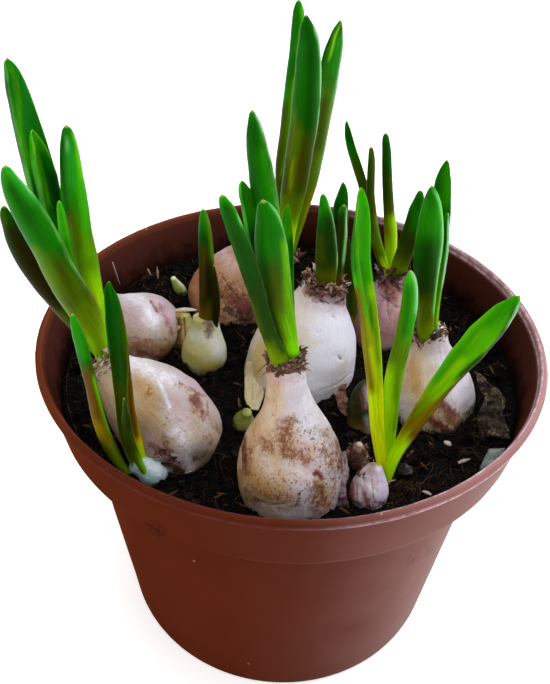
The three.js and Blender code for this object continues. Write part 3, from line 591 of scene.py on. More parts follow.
def build_pot():
    prof, n_out = pot_profile()
    seg = 256
    a = np.arange(seg) * TAU / seg
    r, z = prof[:, 0][:, None], prof[:, 1][:, None]
    ca, sa = np.cos(a)[None], np.sin(a)[None]
    P = np.stack([r * ca, r * sa, z + 0 * ca], -1)
    outer = (np.arange(len(prof)) < n_out)[:, None] * (z > 1.3) * (r < 59.05)
    rim = (z > 86.2) * np.ones_like(ca)
    # moulded plastic is never quite even: slow sink marks, and a nibbled lip
    dr = 0.10 * fbm(P / 17, 3, 5) * (outer > 0) + 0.05 * fbm(P / [5, 5, 12], 2, 8) * (outer > 0)
    lip = 0.075 * fbm(P / 3.1, 3, 21) + 0.05 * fbm(P / 1.2, 2, 33)
    dz = rim * (lip + 0.10 * fbm(P / 26, 2, 40)) * (z > 86.5)
    dr = dr + rim * 0.07 * fbm(P / 2.3, 3, 12)
    P = np.stack([(r + dr) * ca, (r + dr) * sa, z + dz + 0 * ca], -1)
    over = np.linalg.norm(P[..., :2], axis=-1)
    P[..., :2] *= np.minimum(1, 60.0 / np.maximum(over, 1e-6))[..., None]
    rows = len(prof)
    V = [P.reshape(-1, 3)]
    quads = [grid_faces(rows, seg)]
    inside = np.repeat((np.arange(rows) >= n_out).astype(float), seg)
    # the floor between the foot ring and the middle, with its drainage holes
    top0, low0 = (rows - 1) * seg, 0
    n = rows * seg
    tris = []
    per = seg // HOLES

    def floor_face(z_face, outer_ring, flip):
        """A flat ring-shaped floor with round holes, between the outer ring of points and the middle."""
        nonlocal n
        m, base = 16, n
        pts, t, rings = [], [], []
        for h in range(HOLES):
            ah = TAU * (h + 0.5) / HOLES
            ring = []
            for k in range(m):
                b = ah + TAU * k / m
                ring.append(base + len(pts))
                pts.append((HOLE_RING * math.cos(ah) + HOLE_R * math.cos(b), HOLE_RING * math.sin(ah) + HOLE_R * math.sin(b), z_face))
            rings.append(ring)
        inner = []
        for h in range(HOLES):
            ah = TAU * h / HOLES
            inner.append(base + len(pts))
            pts.append((16 * math.cos(ah), 16 * math.sin(ah), z_face))
        mid = base + len(pts)
        pts.append((0, 0, z_face))
        for h in range(HOLES):
            edge = [outer_ring + (h * per + k) % seg for k in range(per + 1)]
            ring = rings[h]
            outward = [ring[k % m] for k in range(m - m // 4, m + m // 4 + 1)]
            inward = [ring[k] for k in range(m - m // 4, m // 4 - 1, -1)]
            j = 0
            for k in range(per):
                t.append((edge[k], edge[k + 1], outward[j]))
                while j < round((k + 1) / per * (len(outward) - 1)):
                    t.append((outward[j], edge[k + 1], outward[j + 1]))
                    j += 1
            lo, hi = inner[h], inner[(h + 1) % HOLES]
            half = len(inward) // 2
            t += [(lo, inward[k], inward[k + 1]) for k in range(half)]
            t.append((lo, inward[half], hi))
            t += [(hi, inward[k], inward[k + 1]) for k in range(half, len(inward) - 1)]
            t += [(edge[0], outward[0], lo), (edge[-1], hi, outward[-1]), (lo, hi, mid)]
        t = np.array(t)
        n += len(pts)
        return np.array(pts), (t[:, ::-1] if flip else t), rings

    up_pts, up_t, up_holes = floor_face(FLOOR_Z, top0, False)
    V.append(up_pts)
    tris.append(up_t)
    lo_pts, lo_t, lo_holes = floor_face(0.95, low0, True)
    V.append(lo_pts)
    tris.append(lo_t)
    for u, l in zip(up_holes, lo_holes):
        m = len(u)
        quads.append(np.array([(u[k], u[(k + 1) % m], l[(k + 1) % m], l[k]) for k in range(m)]))
    V = np.concatenate(V)
    inside = np.r_[inside, np.ones(len(up_pts)), np.zeros(len(lo_pts))]

    m = Mat("pot_moulded_plastic", rough=0.42, spec=0.0)
    m.set("Specular Tint", rgb(255, 190, 170))
    mm = m.mm()
    inn = m.attr("inside")
    x_, y_, z_ = (m.part(mm, k) for k in range(3))
    slow = m.noise(mm, 0.035, 3, 0.55)
    fine = m.noise(mm, 1.6, 5, 0.6)
    mid = m.noise(mm, 0.4, 4, 0.6)
    around = m.noise(m.vmul(mm, (0.02, 0.02, 0.6)), 1.0, 4, 0.6)
    col = m.mix(slow, rgb(74, 29, 15), rgb(86, 36, 21))
    # painted sheen: the side towards the window is painted paler and pinker, as its hazy reflection of the light
    side = m.add(x_, m.mul(y_, -0.35))
    side = m.add(side, m.mul(m.sub(m.noise(mm, 0.05, 3), 0.5), 14.0))
    painted_sheen = m.mul(m.fit(side, 22.0, 62.0), m.sub(1.0, inn))
    col = m.mix(m.mul(painted_sheen, 0.80), col, rgb(141, 94, 86))
    # painted light: the side away from the window is painted warmer orange, as by warm bounce light
    warm = m.mul(m.fit(side, -20.0, -46.0), m.sub(1.0, inn))
    col = m.mix(m.mul(warm, 0.80), col, rgb(104, 50, 22))
    col = m.mix(m.mul(m.fit(around, 0.50, 0.80), 0.10), col, rgb(60, 24, 14))
    col = m.mix(m.mul(m.fit(fine, 0.55, 0.8), 0.16), col, rgb(104, 50, 32))
    # grains of peat and dust that stick to the wall
    specks = m.fit(m.voronoi(mm, 0.23), 0.085, 0.045)
    some = m.fit(m.noise(mm, 0.06, 2), 0.52, 0.62)
    col = m.mix(m.mul(m.mul(specks, some), 0.75), col, rgb(38, 18, 13))
    pale = m.fit(m.voronoi(m.vadd(mm, (31.0, 12.0, 5.0)), 0.11), 0.045, 0.02)
    col = m.mix(m.mul(pale, 0.6), col, rgb(190, 140, 120))
    col = m.mix(m.mul(m.attr("smear"), m.fit(m.noise(mm, 1.1, 4, 0.7), 0.42, 0.6)), col, rgb(30, 16, 12))
    # inside: duller, with a film of peat that thickens towards the soil
    col = m.mix(m.mul(inn, 0.85), col, rgb(72, 38, 31))
    # painted shade: the inner wall on the right and back is painted darker, as shaded from the light on the right
    shade = m.mul(inn, m.fit(m.add(m.mul(x_, 0.7), y_), 22.0, 58.0))
    col = m.mix(m.mul(shade, 0.40), col, rgb(40, 14, 8))
    film = m.fit(m.add(z_, m.mul(m.sub(m.noise(mm, 0.22, 5, 0.65), 0.5), 13.0)), 83.0, 74.5)
    col = m.mix(m.mul(m.mul(inn, film), 0.88), col, rgb(12, 6, 5))
    # painted highlights: the rolled rim's two edges and its top are painted pale, most of all near the window
    out_ = m.math("SQRT", m.add(m.mul(x_, x_), m.mul(y_, y_)))
    broken = m.fit(m.add(m.mul(mid, 0.6), m.mul(fine, 0.4)), 0.40, 0.60, 0.25, 1.0)
    lit = m.add(x_, m.mul(m.sub(m.noise(mm, 0.05, 3), 0.5), 14.0))
    near = m.fit(lit, -2.0, 40.0, 0.03, 1.0)
    inner_edge = m.fit(m.math("ABSOLUTE", m.sub(out_, RIM_IN)), 0.42, 0.12)
    outer_edge = m.fit(m.math("ABSOLUTE", m.sub(z_, 86.9)), 0.55, 0.15)
    top = m.fit(z_, 85.6, 87.4)
    painted_rim_glint = m.mul(m.mul(m.math("MAXIMUM", inner_edge, outer_edge), m.fit(z_, 85.9, 86.5)), m.mul(broken, near))
    col = m.mix(m.mul(m.mul(top, near), 0.42), col, rgb(150, 104, 108))
    col = m.mix(m.mul(painted_rim_glint, 0.80), col, rgb(214, 184, 200))
    m.set("Base Color", col)
    rough = m.add(0.33, m.mul(fine, 0.16))
    m.set("Roughness", m.add(rough, m.mul(m.mul(inn, film), 0.25)))
    gloss = m.mul(m.fit(side, 2.0, 50.0), m.sub(1.0, inn))
    m.set("Specular IOR Level", m.add(m.mul(gloss, 0.02), m.mul(m.fit(z_, 85.6, 86.8), m.fit(lit, -2.0, 40.0, 0.0, 0.42))))
    h = m.add(m.mul(fine, 0.30), m.mul(m.noise(mm, 0.45, 3), 0.6))
    h = m.add(h, m.mul(m.mul(specks, some), 1.2))
    m.bump(h, 0.28, 0.10)

    u, v, depth = to_picture(V)
    smear = np.zeros(len(V))
    for cu, cv, ru, rv in ((152, 525, 7, 5), (160, 531, 8, 5), (120, 470, 5, 4), (412, 560, 5, 3), (430, 552, 4, 3), (236, 520, 4, 3)):
        front = (V[:, 1] < 0) & (inside < 0.5)
        smear = np.maximum(smear, front * np.clip(1.3 - np.hypot((u - cu) / ru, (v - cv) / rv), 0, 1))
    obj = make("pot_shell", V, np.concatenate(quads), np.concatenate(tris), m.m,
               {"inside": inside, "smear": smear})
    obj.data.set_sharp_from_angle(angle=math.radians(55))
    return piece(obj, "pot_plastic", "pot")


build_pot()


# ------------------------------------------- the plants' layout
# radius along a bulb's axis, from the root plate to the neck
TEAR = [(0, .42), (.07, .79), (.16, .94), (.27, 1.0), (.38, .98), (.48, .90), (.58, .76), (.68, .585), (.78, .445), (.89, .36), (1, .345)]
OVOID = [(0, .32), (.08, .71), (.18, .90), (.30, .985), (.43, 1.0), (.56, .945), (.68, .83), (.79, .655), (.89, .47), (1, .36)]
EGG = [(0, .35), (.08, .75), (.18, .92), (.30, 1.0), (.42, .985), (.53, .92), (.64, .77), (.76, .565), (.88, .395), (1, .34)]
BUD = [(0, .25), (.06, .58), (.20, .88), (.38, 1.0), (.55, .93), (.72, .73), (.86, .53), (1, .42)]
DOME = [(0, .35), (.08, .70), (.20, .90), (.36, 1.0), (.52, 1.0), (.66, .95), (.80, .82), (.92, .58), (1, .26)]
CLOVE = [(0, .40), (.12, .74), (.26, .93), (.42, 1.0), (.58, .98), (.72, .86), (.86, .63), (1, .36)]
FLASK = [(0, .25), (.06, .58), (.18, .86), (.34, 1.0), (.48, .97), (.62, .85), (.76, .70), (.88, .60), (1, .53)]
BULBS = {
    'bulb_front': ((2.6, -39.0, 66.0), (-0.6, -36.4, 104.6), 11.3, TEAR),
    'bulb_center': ((-0.8, -3.2, 60.0), (7.4, 4.4, 97.0), 13.6, OVOID),
    'bulb_left': ((-17.2, -29.9, 71.0), (-40.1, -22.8, 92.0), 10.6, OVOID),
    'bulb_left_back': ((-32.4, 8.2, 70.5), (-48.3, 8.2, 84.2), 10.2, OVOID),
    'bulb_small_white': ((-21.4, -0.4, 69.0), (-20.7, 3.0, 85.2), 5.5, FLASK),
    'bulb_back': ((-24.9, 22.6, 70.0), (-2.5, 30.3, 90.5), 11.6, OVOID),
    'bulb_right': ((35.6, -11.4, 63.5), (31.4, -6.4, 93.0), 11.2, EGG),
    'bulb_right_back': ((22.5, 14.0, 69.0), (25.6, 19.0, 90.5), 8.8, OVOID),
    'bulb_green': ((18.2, -19.8, 68.5), (18.3, -17.0, 85.6), 4.5, DOME),
    'bulblet_striped': ((17.2, -42.0, 68.0), (18.7, -38.4, 81.2), 4.0, CLOVE),
    'bulblet_brown': ((16.3, -29.4, 71.0), (15.7, -31.2, 79.0), 2.5, BUD),
    'bulb_front_left': ((-24.7, -36.2, 72.5), (-31.4, -38.0, 76.5), 2.7, BUD),
    'bulblet_tiny': ((-10.8, -20.8, 71.5), (-9.0, -22.3, 79.0), 2.6, BUD),
    'bulblet_scaly': ((-27.9, 8.3, 70.0), (-27.9, 9.7, 81.5), 3.7, BUD),
    'sprout_pale': ((-30.8, 30.4, 71.0), (-33.7, 28.0, 80.0), 1.7, BUD),
}
LEAVES = {
    'leaf_front_1': ([(-1.59, -38.6, 107.15, 3.52), (-2.62, -39.1, 111.32, 3.17), (-3.96, -39.65, 115.58, 2.83), (-5.16, -40.22, 119.9, 2.85), (-6.13, -40.89, 124.95, 3.02), (-7.05, -41.46, 128.88, 3.12), (-8.09, -42.08, 133.07, 3.12), (-9.22, -42.72, 137.06, 2.89), (-10.05, -43.2, 139.94, 2.53), (-10.58, -43.52, 141.81, 2.27), (-11.21, -43.84, 143.63, 1.34), (-11.4, -44, 144.53, 0)],
        (-0.006, 0.993, 0.117), (-0.016, 0.986, 0.167)),
    'leaf_front_2': ([(0.82, -36.6, 105.61, 2.83), (0.09, -36.88, 109.7, 3.14), (-1, -37.24, 114.58, 3.97), (-1.96, -37.59, 119.25, 4.58), (-2.82, -37.94, 123.72, 5.16), (-3.46, -38.29, 128.01, 5.38), (-3.87, -38.55, 131.11, 5.45), (-4.2, -38.78, 133.71, 5.21), (-4.44, -38.99, 136.06, 4.58), (-4.68, -39.16, 137.97, 3.81), (-5.03, -39.3, 139.46, 2.91), (-5.36, -39.41, 140.56, 2.03), (-5.52, -39.5, 141.47, 0)],
        (-0.126, 0.991, 0.046), (-0.137, 0.988, 0.07)),
    'leaf_front_3': ([(-1.11, -34.4, 104.35, 1.73), (-3.13, -33.38, 112.62, 2.23), (-5.04, -32.3, 120.76, 2.52), (-6.45, -31.5, 126.52, 2.65), (-7.43, -30.88, 130.76, 2.86), (-8.02, -30.4, 133.99, 2.91), (-8.48, -30.11, 135.91, 2.72), (-9.02, -29.86, 137.45, 2.37), (-9.46, -29.66, 138.62, 1.68), (-9.73, -29.5, 139.63, 0)],
        (0.679, -0.69, 0.251), (0.782, -0.548, 0.296)),
    'leaf_front_4': ([(0.02, -33, 103.75, 2.32), (-2.61, -31.54, 117.05, 2.95), (-4.26, -30.23, 127.93, 3.53), (-5.35, -29.34, 134.72, 4.12), (-5.84, -29.03, 137, 4.42), (-6.34, -28.67, 139.59, 4.38), (-6.74, -28.31, 142.12, 4.08), (-7.25, -27.95, 144.59, 3.63), (-7.61, -27.6, 147.02, 3.1), (-7.9, -27.29, 149.09, 2.19), (-8.17, -27.12, 150.18, 1.29), (-8.26, -27, 150.95, 0)],
        (0.871, 0.476, 0.12), (0.828, 0.56, 0.018)),
    'leaf_front_5': ([(1.18, -33.4, 104.17, 1.35), (0.13, -32.66, 109.91, 1.7), (-0.86, -31.4, 119.31, 1.82), (-1.44, -30.15, 128.05, 1.94), (-1.78, -29.59, 131.73, 1.74), (-1.8, -29.22, 134.08, 1.21), (-1.78, -29, 135.5, 0)],
        (0.103, -0.984, 0.145), (0.009, -0.988, 0.155)),
    'leaf_center_1': ([(7.44, 3, 98.81, 4.93), (7.23, 2.7, 103.71, 5.3), (6.92, 2.48, 107.34, 5), (6.64, 2.27, 110.6, 4.49), (6.35, 2.04, 114.04, 3.76), (5.99, 1.85, 116.87, 2.95), (5.61, 1.69, 119.14, 2.17), (5.27, 1.57, 120.87, 1.29), (5.14, 1.5, 121.86, 0)],
        (0.107, 0.992, 0.065), (0.042, 0.996, 0.076)),
    'leaf_center_2': ([(9.08, 7.2, 93.14, 2.68), (10.02, 8.12, 102.65, 3.32), (9.87, 8.89, 110.31, 3.7), (9.7, 9.41, 115.2, 3.42), (9.84, 9.66, 117.6, 2.6), (9.84, 9.87, 119.49, 1.57), (9.7, 10, 120.65, 0)],
        (0.235, -0.969, 0.07), (0.325, -0.935, 0.143)),
    'leaf_center_3': ([(9.87, 4.6, 94.99, 1.68), (10.63, 4.4, 103.11, 1.86), (10.46, 4.21, 110.45, 1.92), (9.97, 4.06, 116.12, 1.99), (10.01, 4, 118.14, 0)],
        (0.133, 0.991, 0.012), (0.081, 0.996, 0.026)),
    'leaf_left_1': ([(-40.24, -22.5, 93.67, 3), (-40.47, -23.01, 97.91, 4.2), (-41.14, -23.52, 101.71, 5.47), (-42.2, -24.28, 107.19, 6.23), (-43.71, -25.06, 112.15, 6.18), (-44.98, -25.87, 117.28, 6.02), (-45.84, -26.69, 122.42, 5.95), (-46.82, -27.45, 126.86, 5.81), (-47.6, -28.06, 130.23, 5.52), (-48.34, -28.63, 133.27, 4.9), (-49.11, -29.28, 136.64, 3.51), (-49.33, -29.6, 138.27, 2.55), (-49.36, -29.85, 139.69, 1.51), (-49.32, -30, 140.48, 0)],
        (-0.264, 0.959, 0.102), (-0.279, 0.943, 0.184)),
    'leaf_left_2': ([(-42, -19, 91.21, 2.42), (-46.74, -17.83, 99.11, 3.86), (-50.08, -17.02, 104.11, 4.44), (-52.59, -16.38, 108.1, 4.8), (-54.97, -15.68, 112.44, 4.74), (-56.66, -15.04, 116.72, 4.26), (-57.6, -14.54, 120.08, 3.21), (-58.21, -14.23, 122.14, 2.19), (-58.26, -14, 123.8, 0)],
        (-0.075, 0.979, -0.19), (-0.058, 0.989, -0.139)),
    'leaf_left_3': ([(-42.41, -16.2, 89.45, 2.02), (-45.04, -15, 97.63, 3.28), (-47.61, -13.31, 108.88, 4.22), (-49.41, -11.91, 117.65, 5.13), (-50.35, -10.88, 123.91, 5.84), (-51.1, -10.19, 127.93, 6.16), (-51.73, -9.5, 131.84, 5.88), (-52.36, -8.81, 135.64, 5.62), (-52.98, -8.12, 139.35, 5.07), (-53.59, -7.43, 142.95, 4.44), (-53.94, -7.09, 144.72, 4.13), (-54.25, -6.74, 146.47, 3.55), (-54.56, -6.43, 148.02, 2.79), (-55.05, -6.14, 149.37, 1.67), (-55.24, -6, 150.04, 0)],
        (0.828, -0.452, 0.332), (0.864, -0.381, 0.329)),
    'leaf_left_4': ([(-41.73, -16.8, 90.28, 2.01), (-44.64, -15.83, 99.1, 2.82), (-46.91, -14.43, 111.64, 3.74), (-48.36, -13.39, 120.42, 4.03), (-49.21, -12.81, 125, 4.56), (-49.5, -12.3, 129.07, 4.69), (-49.78, -12.04, 131.05, 4.46), (-50.07, -11.78, 132.99, 4.05), (-50.31, -11.52, 134.92, 3.25), (-50.61, -11.29, 136.62, 2.28), (-50.84, -11.13, 137.73, 1.52), (-50.97, -11, 138.66, 0)],
        (0.923, -0.201, 0.327), (0.941, -0.293, 0.167)),
    'leaf_left_5': ([(-40.44, -18, 91.35, 1.99), (-40.89, -17.25, 98.53, 2.59), (-41.68, -16.65, 103.87, 3.6), (-42.5, -16.1, 108.55, 4.59), (-42.99, -15.56, 113.09, 5.13), (-43.47, -15.02, 117.49, 5.05), (-43.77, -14.49, 121.76, 5.18), (-43.88, -13.83, 126.93, 4.98), (-43.91, -13.38, 130.33, 4.44), (-43.89, -12.98, 133.26, 4.01), (-43.86, -12.64, 135.75, 3.5), (-43.84, -12.37, 137.64, 2.82), (-43.89, -12.11, 139.49, 1.68), (-43.91, -12, 140.22, 0)],
        (-0.185, 0.976, -0.113), (-0.273, 0.951, -0.143)),
    'leaf_left_6': ([(-40.91, -19.4, 92.19, 1.53), (-44.54, -18.9, 105.29, 2.08), (-45.45, -18.44, 117.12, 1.99), (-45.54, -18.26, 121.57, 1.86), (-45.55, -18.12, 125.02, 1.44), (-45.58, -18.04, 126.92, 0.96), (-45.56, -18, 127.75, 0)],
        (-0.365, 0.921, -0.136), (-0.322, 0.946, -0.032)),
    'shoot_small_1': ([(-21.02, 2, 80.21, 3.5), (-20.6, 2.18, 87.29, 4.65), (-20.43, 2.37, 94.6, 4.3), (-20.61, 2.57, 101.54, 3.61), (-20.68, 2.76, 108.16, 3.3), (-20.88, 2.92, 113.48, 2.01), (-21.04, 3, 115.94, 0)],
        (-0.095, 0.995, -0.019), (-0.17, 0.984, -0.042)),
    'shoot_small_2': ([(-19.78, 0.3, 81.64, 1.48), (-18.71, 0.46, 86.57, 1.7), (-18.11, 0.67, 93.04, 1.67), (-18.49, 0.86, 98.62, 1.4), (-18.77, 1, 102.66, 0)],
        (0.514, 0.847, -0.139), (0.349, 0.937, -0.009)),
    'leaf_back_1': ([(-2.52, 33, 89.49, 2.19), (-3.69, 33.86, 98.24, 2.95), (-4.5, 34.57, 105.22, 3.42), (-4.64, 35.28, 111.96, 3.61), (-3.94, 36.14, 119.75, 3.66), (-3.4, 37, 127.19, 3.7), (-2.94, 37.72, 133.15, 3.64), (-2.5, 38.43, 138.89, 3.46), (-2.36, 39.15, 144.43, 3.17), (-2.39, 39.66, 148.3, 2.67), (-2.47, 39.86, 149.78, 1.73), (-2.52, 40, 150.82, 0)],
        (0.645, 0.765, 0.012), (0.627, 0.776, -0.073)),
    'leaf_back_2': ([(-2.05, 29.6, 91.27, 2.96), (-2.08, 29.43, 98.72, 4.47), (-1.7, 29.28, 105.26, 6.17), (-1.11, 29.14, 110.99, 6.68), (-0.38, 28.93, 119.18, 6.74), (0.32, 28.73, 126.92, 6.79), (0.52, 28.59, 131.85, 6.67), (0.57, 28.38, 138.9, 6.04), (0.43, 28.24, 143.4, 5.27), (0.33, 28.17, 145.59, 4.56), (-0.08, 28.1, 147.73, 3.42), (-0.41, 28.03, 149.84, 1.53), (-0.58, 28, 150.88, 0)],
        (-0.015, 1, 0.022), (-0.051, 0.998, 0.025)),
    'leaf_back_3': ([(-1.13, 32, 89.86, 2.46), (0.67, 33.36, 99.66, 3.72), (2.54, 34.66, 108.43, 4.42), (3.94, 36.24, 118.78, 4.68), (4.82, 37.43, 126.16, 4.71), (5.51, 38.42, 132.07, 4.88), (5.91, 39.21, 136.66, 4.82), (6.36, 39.72, 139.58, 4.42), (6.81, 40.16, 142.02, 3.56), (7.12, 40.56, 144.21, 2.48), (7.37, 40.8, 145.51, 1.41), (7.52, 41, 146.58, 0)],
        (-0.984, 0.009, 0.179), (-0.99, -0.012, 0.139)),
    'leaf_right_1': ([(30.02, -9.4, 95.08, 3.82), (29.1, -9.76, 100.86, 3.95), (28.4, -10.09, 105.86, 4.51), (27.73, -10.39, 110.39, 5.27), (27.24, -10.66, 114.27, 5.7), (27.01, -10.92, 117.79, 5.72), (26.71, -11.17, 121.2, 5.33), (26.43, -11.39, 124.05, 4.76), (26.11, -11.59, 126.59, 3.92), (25.78, -11.78, 129.08, 2.71), (25.49, -11.93, 130.85, 1.35), (25.34, -12, 131.72, 0)],
        (0.178, 0.98, 0.09), (0.13, 0.986, 0.103)),
    'leaf_right_2': ([(32.26, -5, 91.82, 2.09), (31.74, -3.35, 101.92, 2.7), (31.16, -1.71, 111.39, 3.28), (30.68, -0.27, 119.22, 3.85), (30.2, 0.51, 123.29, 3.8), (29.98, 1.08, 126.23, 3.46), (29.99, 1.5, 128.31, 2.5), (30.1, 1.79, 129.75, 1.55), (30.15, 2, 130.76, 0)],
        (-0.005, -0.987, 0.161), (-0.028, -0.979, 0.202)),
    'leaf_right_3': ([(32.66, -6.6, 92.51, 1.72), (32.18, -5.88, 98.77, 1.58), (32.17, -5.33, 103.32, 1.44), (32.2, -4.72, 108.21, 1.42), (32.05, -4.06, 113.4, 1.4), (31.66, -3.57, 117.04, 1.38), (31.28, -3.15, 120.15, 1.16), (31.36, -3, 121.25, 0)],
        (-0.936, -0.35, -0.031), (-0.955, -0.276, 0.108)),
    'leaf_rear_1': ([(24.55, 21, 87.74, 1.84), (21.47, 22.13, 94.55, 2.06), (18.94, 23.31, 101.68, 2.28), (17.35, 24.31, 107.58, 2.25), (15.8, 25.1, 112.04, 2.34), (14.36, 25.76, 115.65, 2.32), (13.13, 26.3, 118.49, 2.26), (11.73, 26.96, 121.98, 2.12), (10.9, 27.49, 124.74, 1.67), (10.52, 27.79, 126.33, 1.07), (10.31, 28, 127.47, 0)],
        (0.503, -0.787, 0.358), (0.476, -0.844, 0.249)),
    'leaf_rear_2': ([(24.58, 18, 90.07, 1.8), (21.02, 18, 98.58, 2.13), (19.2, 18, 103.65, 2.22), (17.8, 18, 109.66, 2.05), (16.86, 18, 114.94, 1.97), (16.56, 18, 118.79, 1.87), (16.27, 18, 122.54, 1.61), (15.96, 18, 124.73, 1.14), (15.81, 18, 125.7, 0)],
        (-0.107, 0.993, -0.045), (0.028, 1, 0.004)),
    'leaf_rear_3': ([(26.03, 20.5, 88.17, 2.09), (24.79, 21.18, 93.23, 2.58), (24.12, 21.81, 97.9, 3.19), (23.53, 22.37, 101.92, 3.28), (22.61, 23.05, 106.61, 2.74), (21.88, 23.68, 110.93, 2.58), (20.94, 24.62, 117.09, 2.42), (20.28, 25.36, 121.87, 2.15), (19.83, 25.78, 124.43, 1.66), (19.61, 26, 125.81, 0)],
        (0.026, 0.992, -0.127), (0.069, 0.986, -0.149)),
    'leaf_rear_4': ([(26.08, 17.6, 90.13, 3.08), (26.42, 17.17, 95, 4.29), (27.12, 16.72, 99.74, 4.34), (27.47, 16.31, 104.01, 4.15), (27.81, 15.91, 108.14, 3.96), (27.96, 15.62, 111.01, 3.68), (28.15, 15.36, 113.55, 2.82), (28.19, 15.16, 115.48, 1.86), (28.18, 15, 116.98, 0)],
        (0.466, 0.884, 0.046), (0.43, 0.898, 0.096)),
    'leaf_between': ([(16.41, 13, 74.06, 1.59), (15.61, 13.18, 79.88, 2.61), (14.78, 13.37, 86.1, 3.2), (13.77, 13.65, 94.42, 2.74), (12.67, 13.88, 101.2, 1.71), (12.13, 14, 104.47, 0)],
        (0, 1, -0.03), (-0.012, 0.999, -0.038)),
    'leaf_fr_1': ([(20.94, -36.6, 77.24, 1.9), (19.26, -36.99, 85.17, 2.45), (17.94, -37.34, 92.06, 2.78), (17.08, -37.65, 97.75, 2.9), (16.26, -37.95, 103.17, 3.02), (15.39, -38.26, 108.33, 3.22), (14.47, -38.57, 113.26, 3.41), (13.48, -38.92, 118.65, 3.23), (12.46, -39.26, 123.55, 3.24), (11.42, -39.57, 127.79, 3.25), (10.66, -39.88, 131.87, 3.17), (10.31, -40.14, 135.22, 3.03), (10.14, -40.37, 138.08, 2.75), (9.97, -40.57, 140.49, 2.32), (9.69, -40.75, 142.65, 1.83), (9.4, -40.91, 144.4, 1.21), (9.25, -41, 145.44, 0)],
        (0.802, -0.58, 0.142), (0.565, -0.825, 0.01)),
    'leaf_fr_2': ([(22.17, -33.6, 73.94, 1.96), (21.84, -33.41, 78.48, 2.35), (21.53, -33.18, 83.74, 2.83), (21.12, -32.92, 89.33, 3.18), (20.71, -32.67, 94.68, 3.42), (20.54, -32.44, 99.31, 3.55), (20.7, -32.22, 103.55, 3.49), (21, -32.02, 107.18, 3.35), (21.17, -31.82, 110.69, 3.2), (21.26, -31.63, 114.1, 3.16), (21.32, -31.45, 117.19, 3.03), (21.18, -31.31, 119.55, 2.82), (20.91, -31.15, 122.06, 2.25), (20.72, -31.06, 123.6, 1.43), (20.63, -31, 124.51, 0)],
        (0.253, 0.967, -0.023), (0.205, 0.978, -0.041)),
    'leaf_fr_3': ([(22.15, -36, 76.35, 2.13), (22.92, -35.31, 80.65, 2.52), (24.13, -34.62, 84.56, 2.9), (25.54, -33.94, 88.1, 3.38), (26.87, -33.32, 91.31, 3.65), (28.34, -32.63, 94.67, 4.02), (29.86, -31.92, 98.07, 4.37), (31.58, -31.19, 101.26, 4.72), (33.12, -30.55, 104.05, 5.27), (34.8, -29.93, 106.44, 5.62), (36.21, -29.31, 109.01, 5.67), (37.87, -28.71, 111.21, 5.34), (39.98, -27.86, 114.41, 4.16), (41, -27.5, 115.62, 3.2), (41.73, -27.19, 116.83, 2.06), (42.28, -27, 117.42, 0)],
        (-0.848, -0.477, 0.229), (-0.656, -0.279, 0.701)),
    'leaf_fl_1': ([(-32.53, -40, 75.86, 1.47), (-34.33, -40.31, 80.39, 2.27), (-35.32, -40.55, 84.16, 2.64), (-36.16, -40.84, 88.73, 2.69), (-36.63, -41.13, 93.43, 2.63), (-36.72, -41.45, 98.53, 2.38), (-36.75, -41.7, 102.34, 2.24), (-36.84, -41.97, 106.28, 2.29), (-37.01, -42.24, 110.08, 2.34), (-37.14, -42.53, 113.99, 2.2), (-37.4, -42.75, 116.82, 1.65), (-37.55, -42.93, 119.12, 0.86), (-37.49, -43, 120.03, 0)],
        (-0.586, 0.79, -0.179), (-0.317, 0.944, 0.094)),
    'leaf_fl_2': ([(-30.18, -39, 75.87, 1.69), (-31.72, -39.11, 82.02, 2.48), (-32.41, -39.23, 88.53, 2.41), (-32.33, -39.34, 94.19, 2.35), (-32.02, -39.43, 99.09, 2.59), (-31.74, -39.5, 103.02, 2.92), (-31.5, -39.59, 107.05, 3.24), (-31.37, -39.66, 110.46, 3.46), (-31.33, -39.73, 113.76, 3.49), (-31.31, -39.79, 116.51, 3.36), (-31.3, -39.85, 118.97, 2.97), (-31.35, -39.9, 121.15, 2.59), (-31.47, -39.94, 122.86, 2.06), (-31.46, -39.97, 124.13, 1.36), (-31.32, -40, 125.18, 0)],
        (0.556, -0.822, 0.124), (0.202, -0.978, -0.05)),
    'leaf_fl_3': ([(-28.8, -37.5, 75.24, 1.71), (-30.2, -37.07, 79.95, 2.52), (-31.3, -36.59, 85.35, 2.47), (-31.59, -36.09, 91.13, 1.92), (-31.53, -35.41, 98.63, 1.47), (-31.49, -34.61, 106.84, 1.14), (-31.41, -34, 112.82, 0)],
        (-0.435, 0.876, -0.209), (-0.25, 0.964, -0.096)),
    'leaf_fl_4': ([(-29.09, -40.5, 77.97, 1.46), (-30.56, -41.43, 85.2, 2.01), (-30.89, -42.24, 91.7, 1.95), (-30.61, -43.03, 97.89, 1.13), (-30.36, -43.5, 101.44, 0)],
        (-0.519, 0.855, 0.004), (-0.25, 0.957, 0.145)),
}


# ---------------------------------------------------------------------- soil
SOIL_LEVEL = 74.0


def soil_top(x, y):
    edge = smooth(np.hypot(x, y), 40, 52)
    bumps = (0.9 * np.sin(x * 0.19 + 1.3) * np.cos(y * 0.17 - 0.4) + 0.6 * np.sin(x * 0.41 - y * 0.33)
             + 0.5 * np.cos(x * 0.11 + y * 0.57))
    return SOIL_LEVEL + bumps * (1 - 0.75 * edge) + 1.0 * edge


def soil_detail(x, y):
    """Clods and pits of loose peat, about a millimetre or two high."""
    p = np.stack([x, y, np.zeros_like(x)], -1)
    big = fbm(p / 5.5, 3, 91)
    clod = 1 - np.abs(fbm(p / 2.6, 3, 17)) * 2.2
    fine = fbm(p / 0.9, 3, 55)
    rim = 1 - smooth(np.hypot(x, y), 53.5, 56)
    return (1.1 * big + 0.85 * clod * 0.6 + 0.38 * fine - 0.2) * (0.25 + 0.75 * rim)


def soil_height(x, y):
    return soil_top(x, y) + soil_detail(x, y)


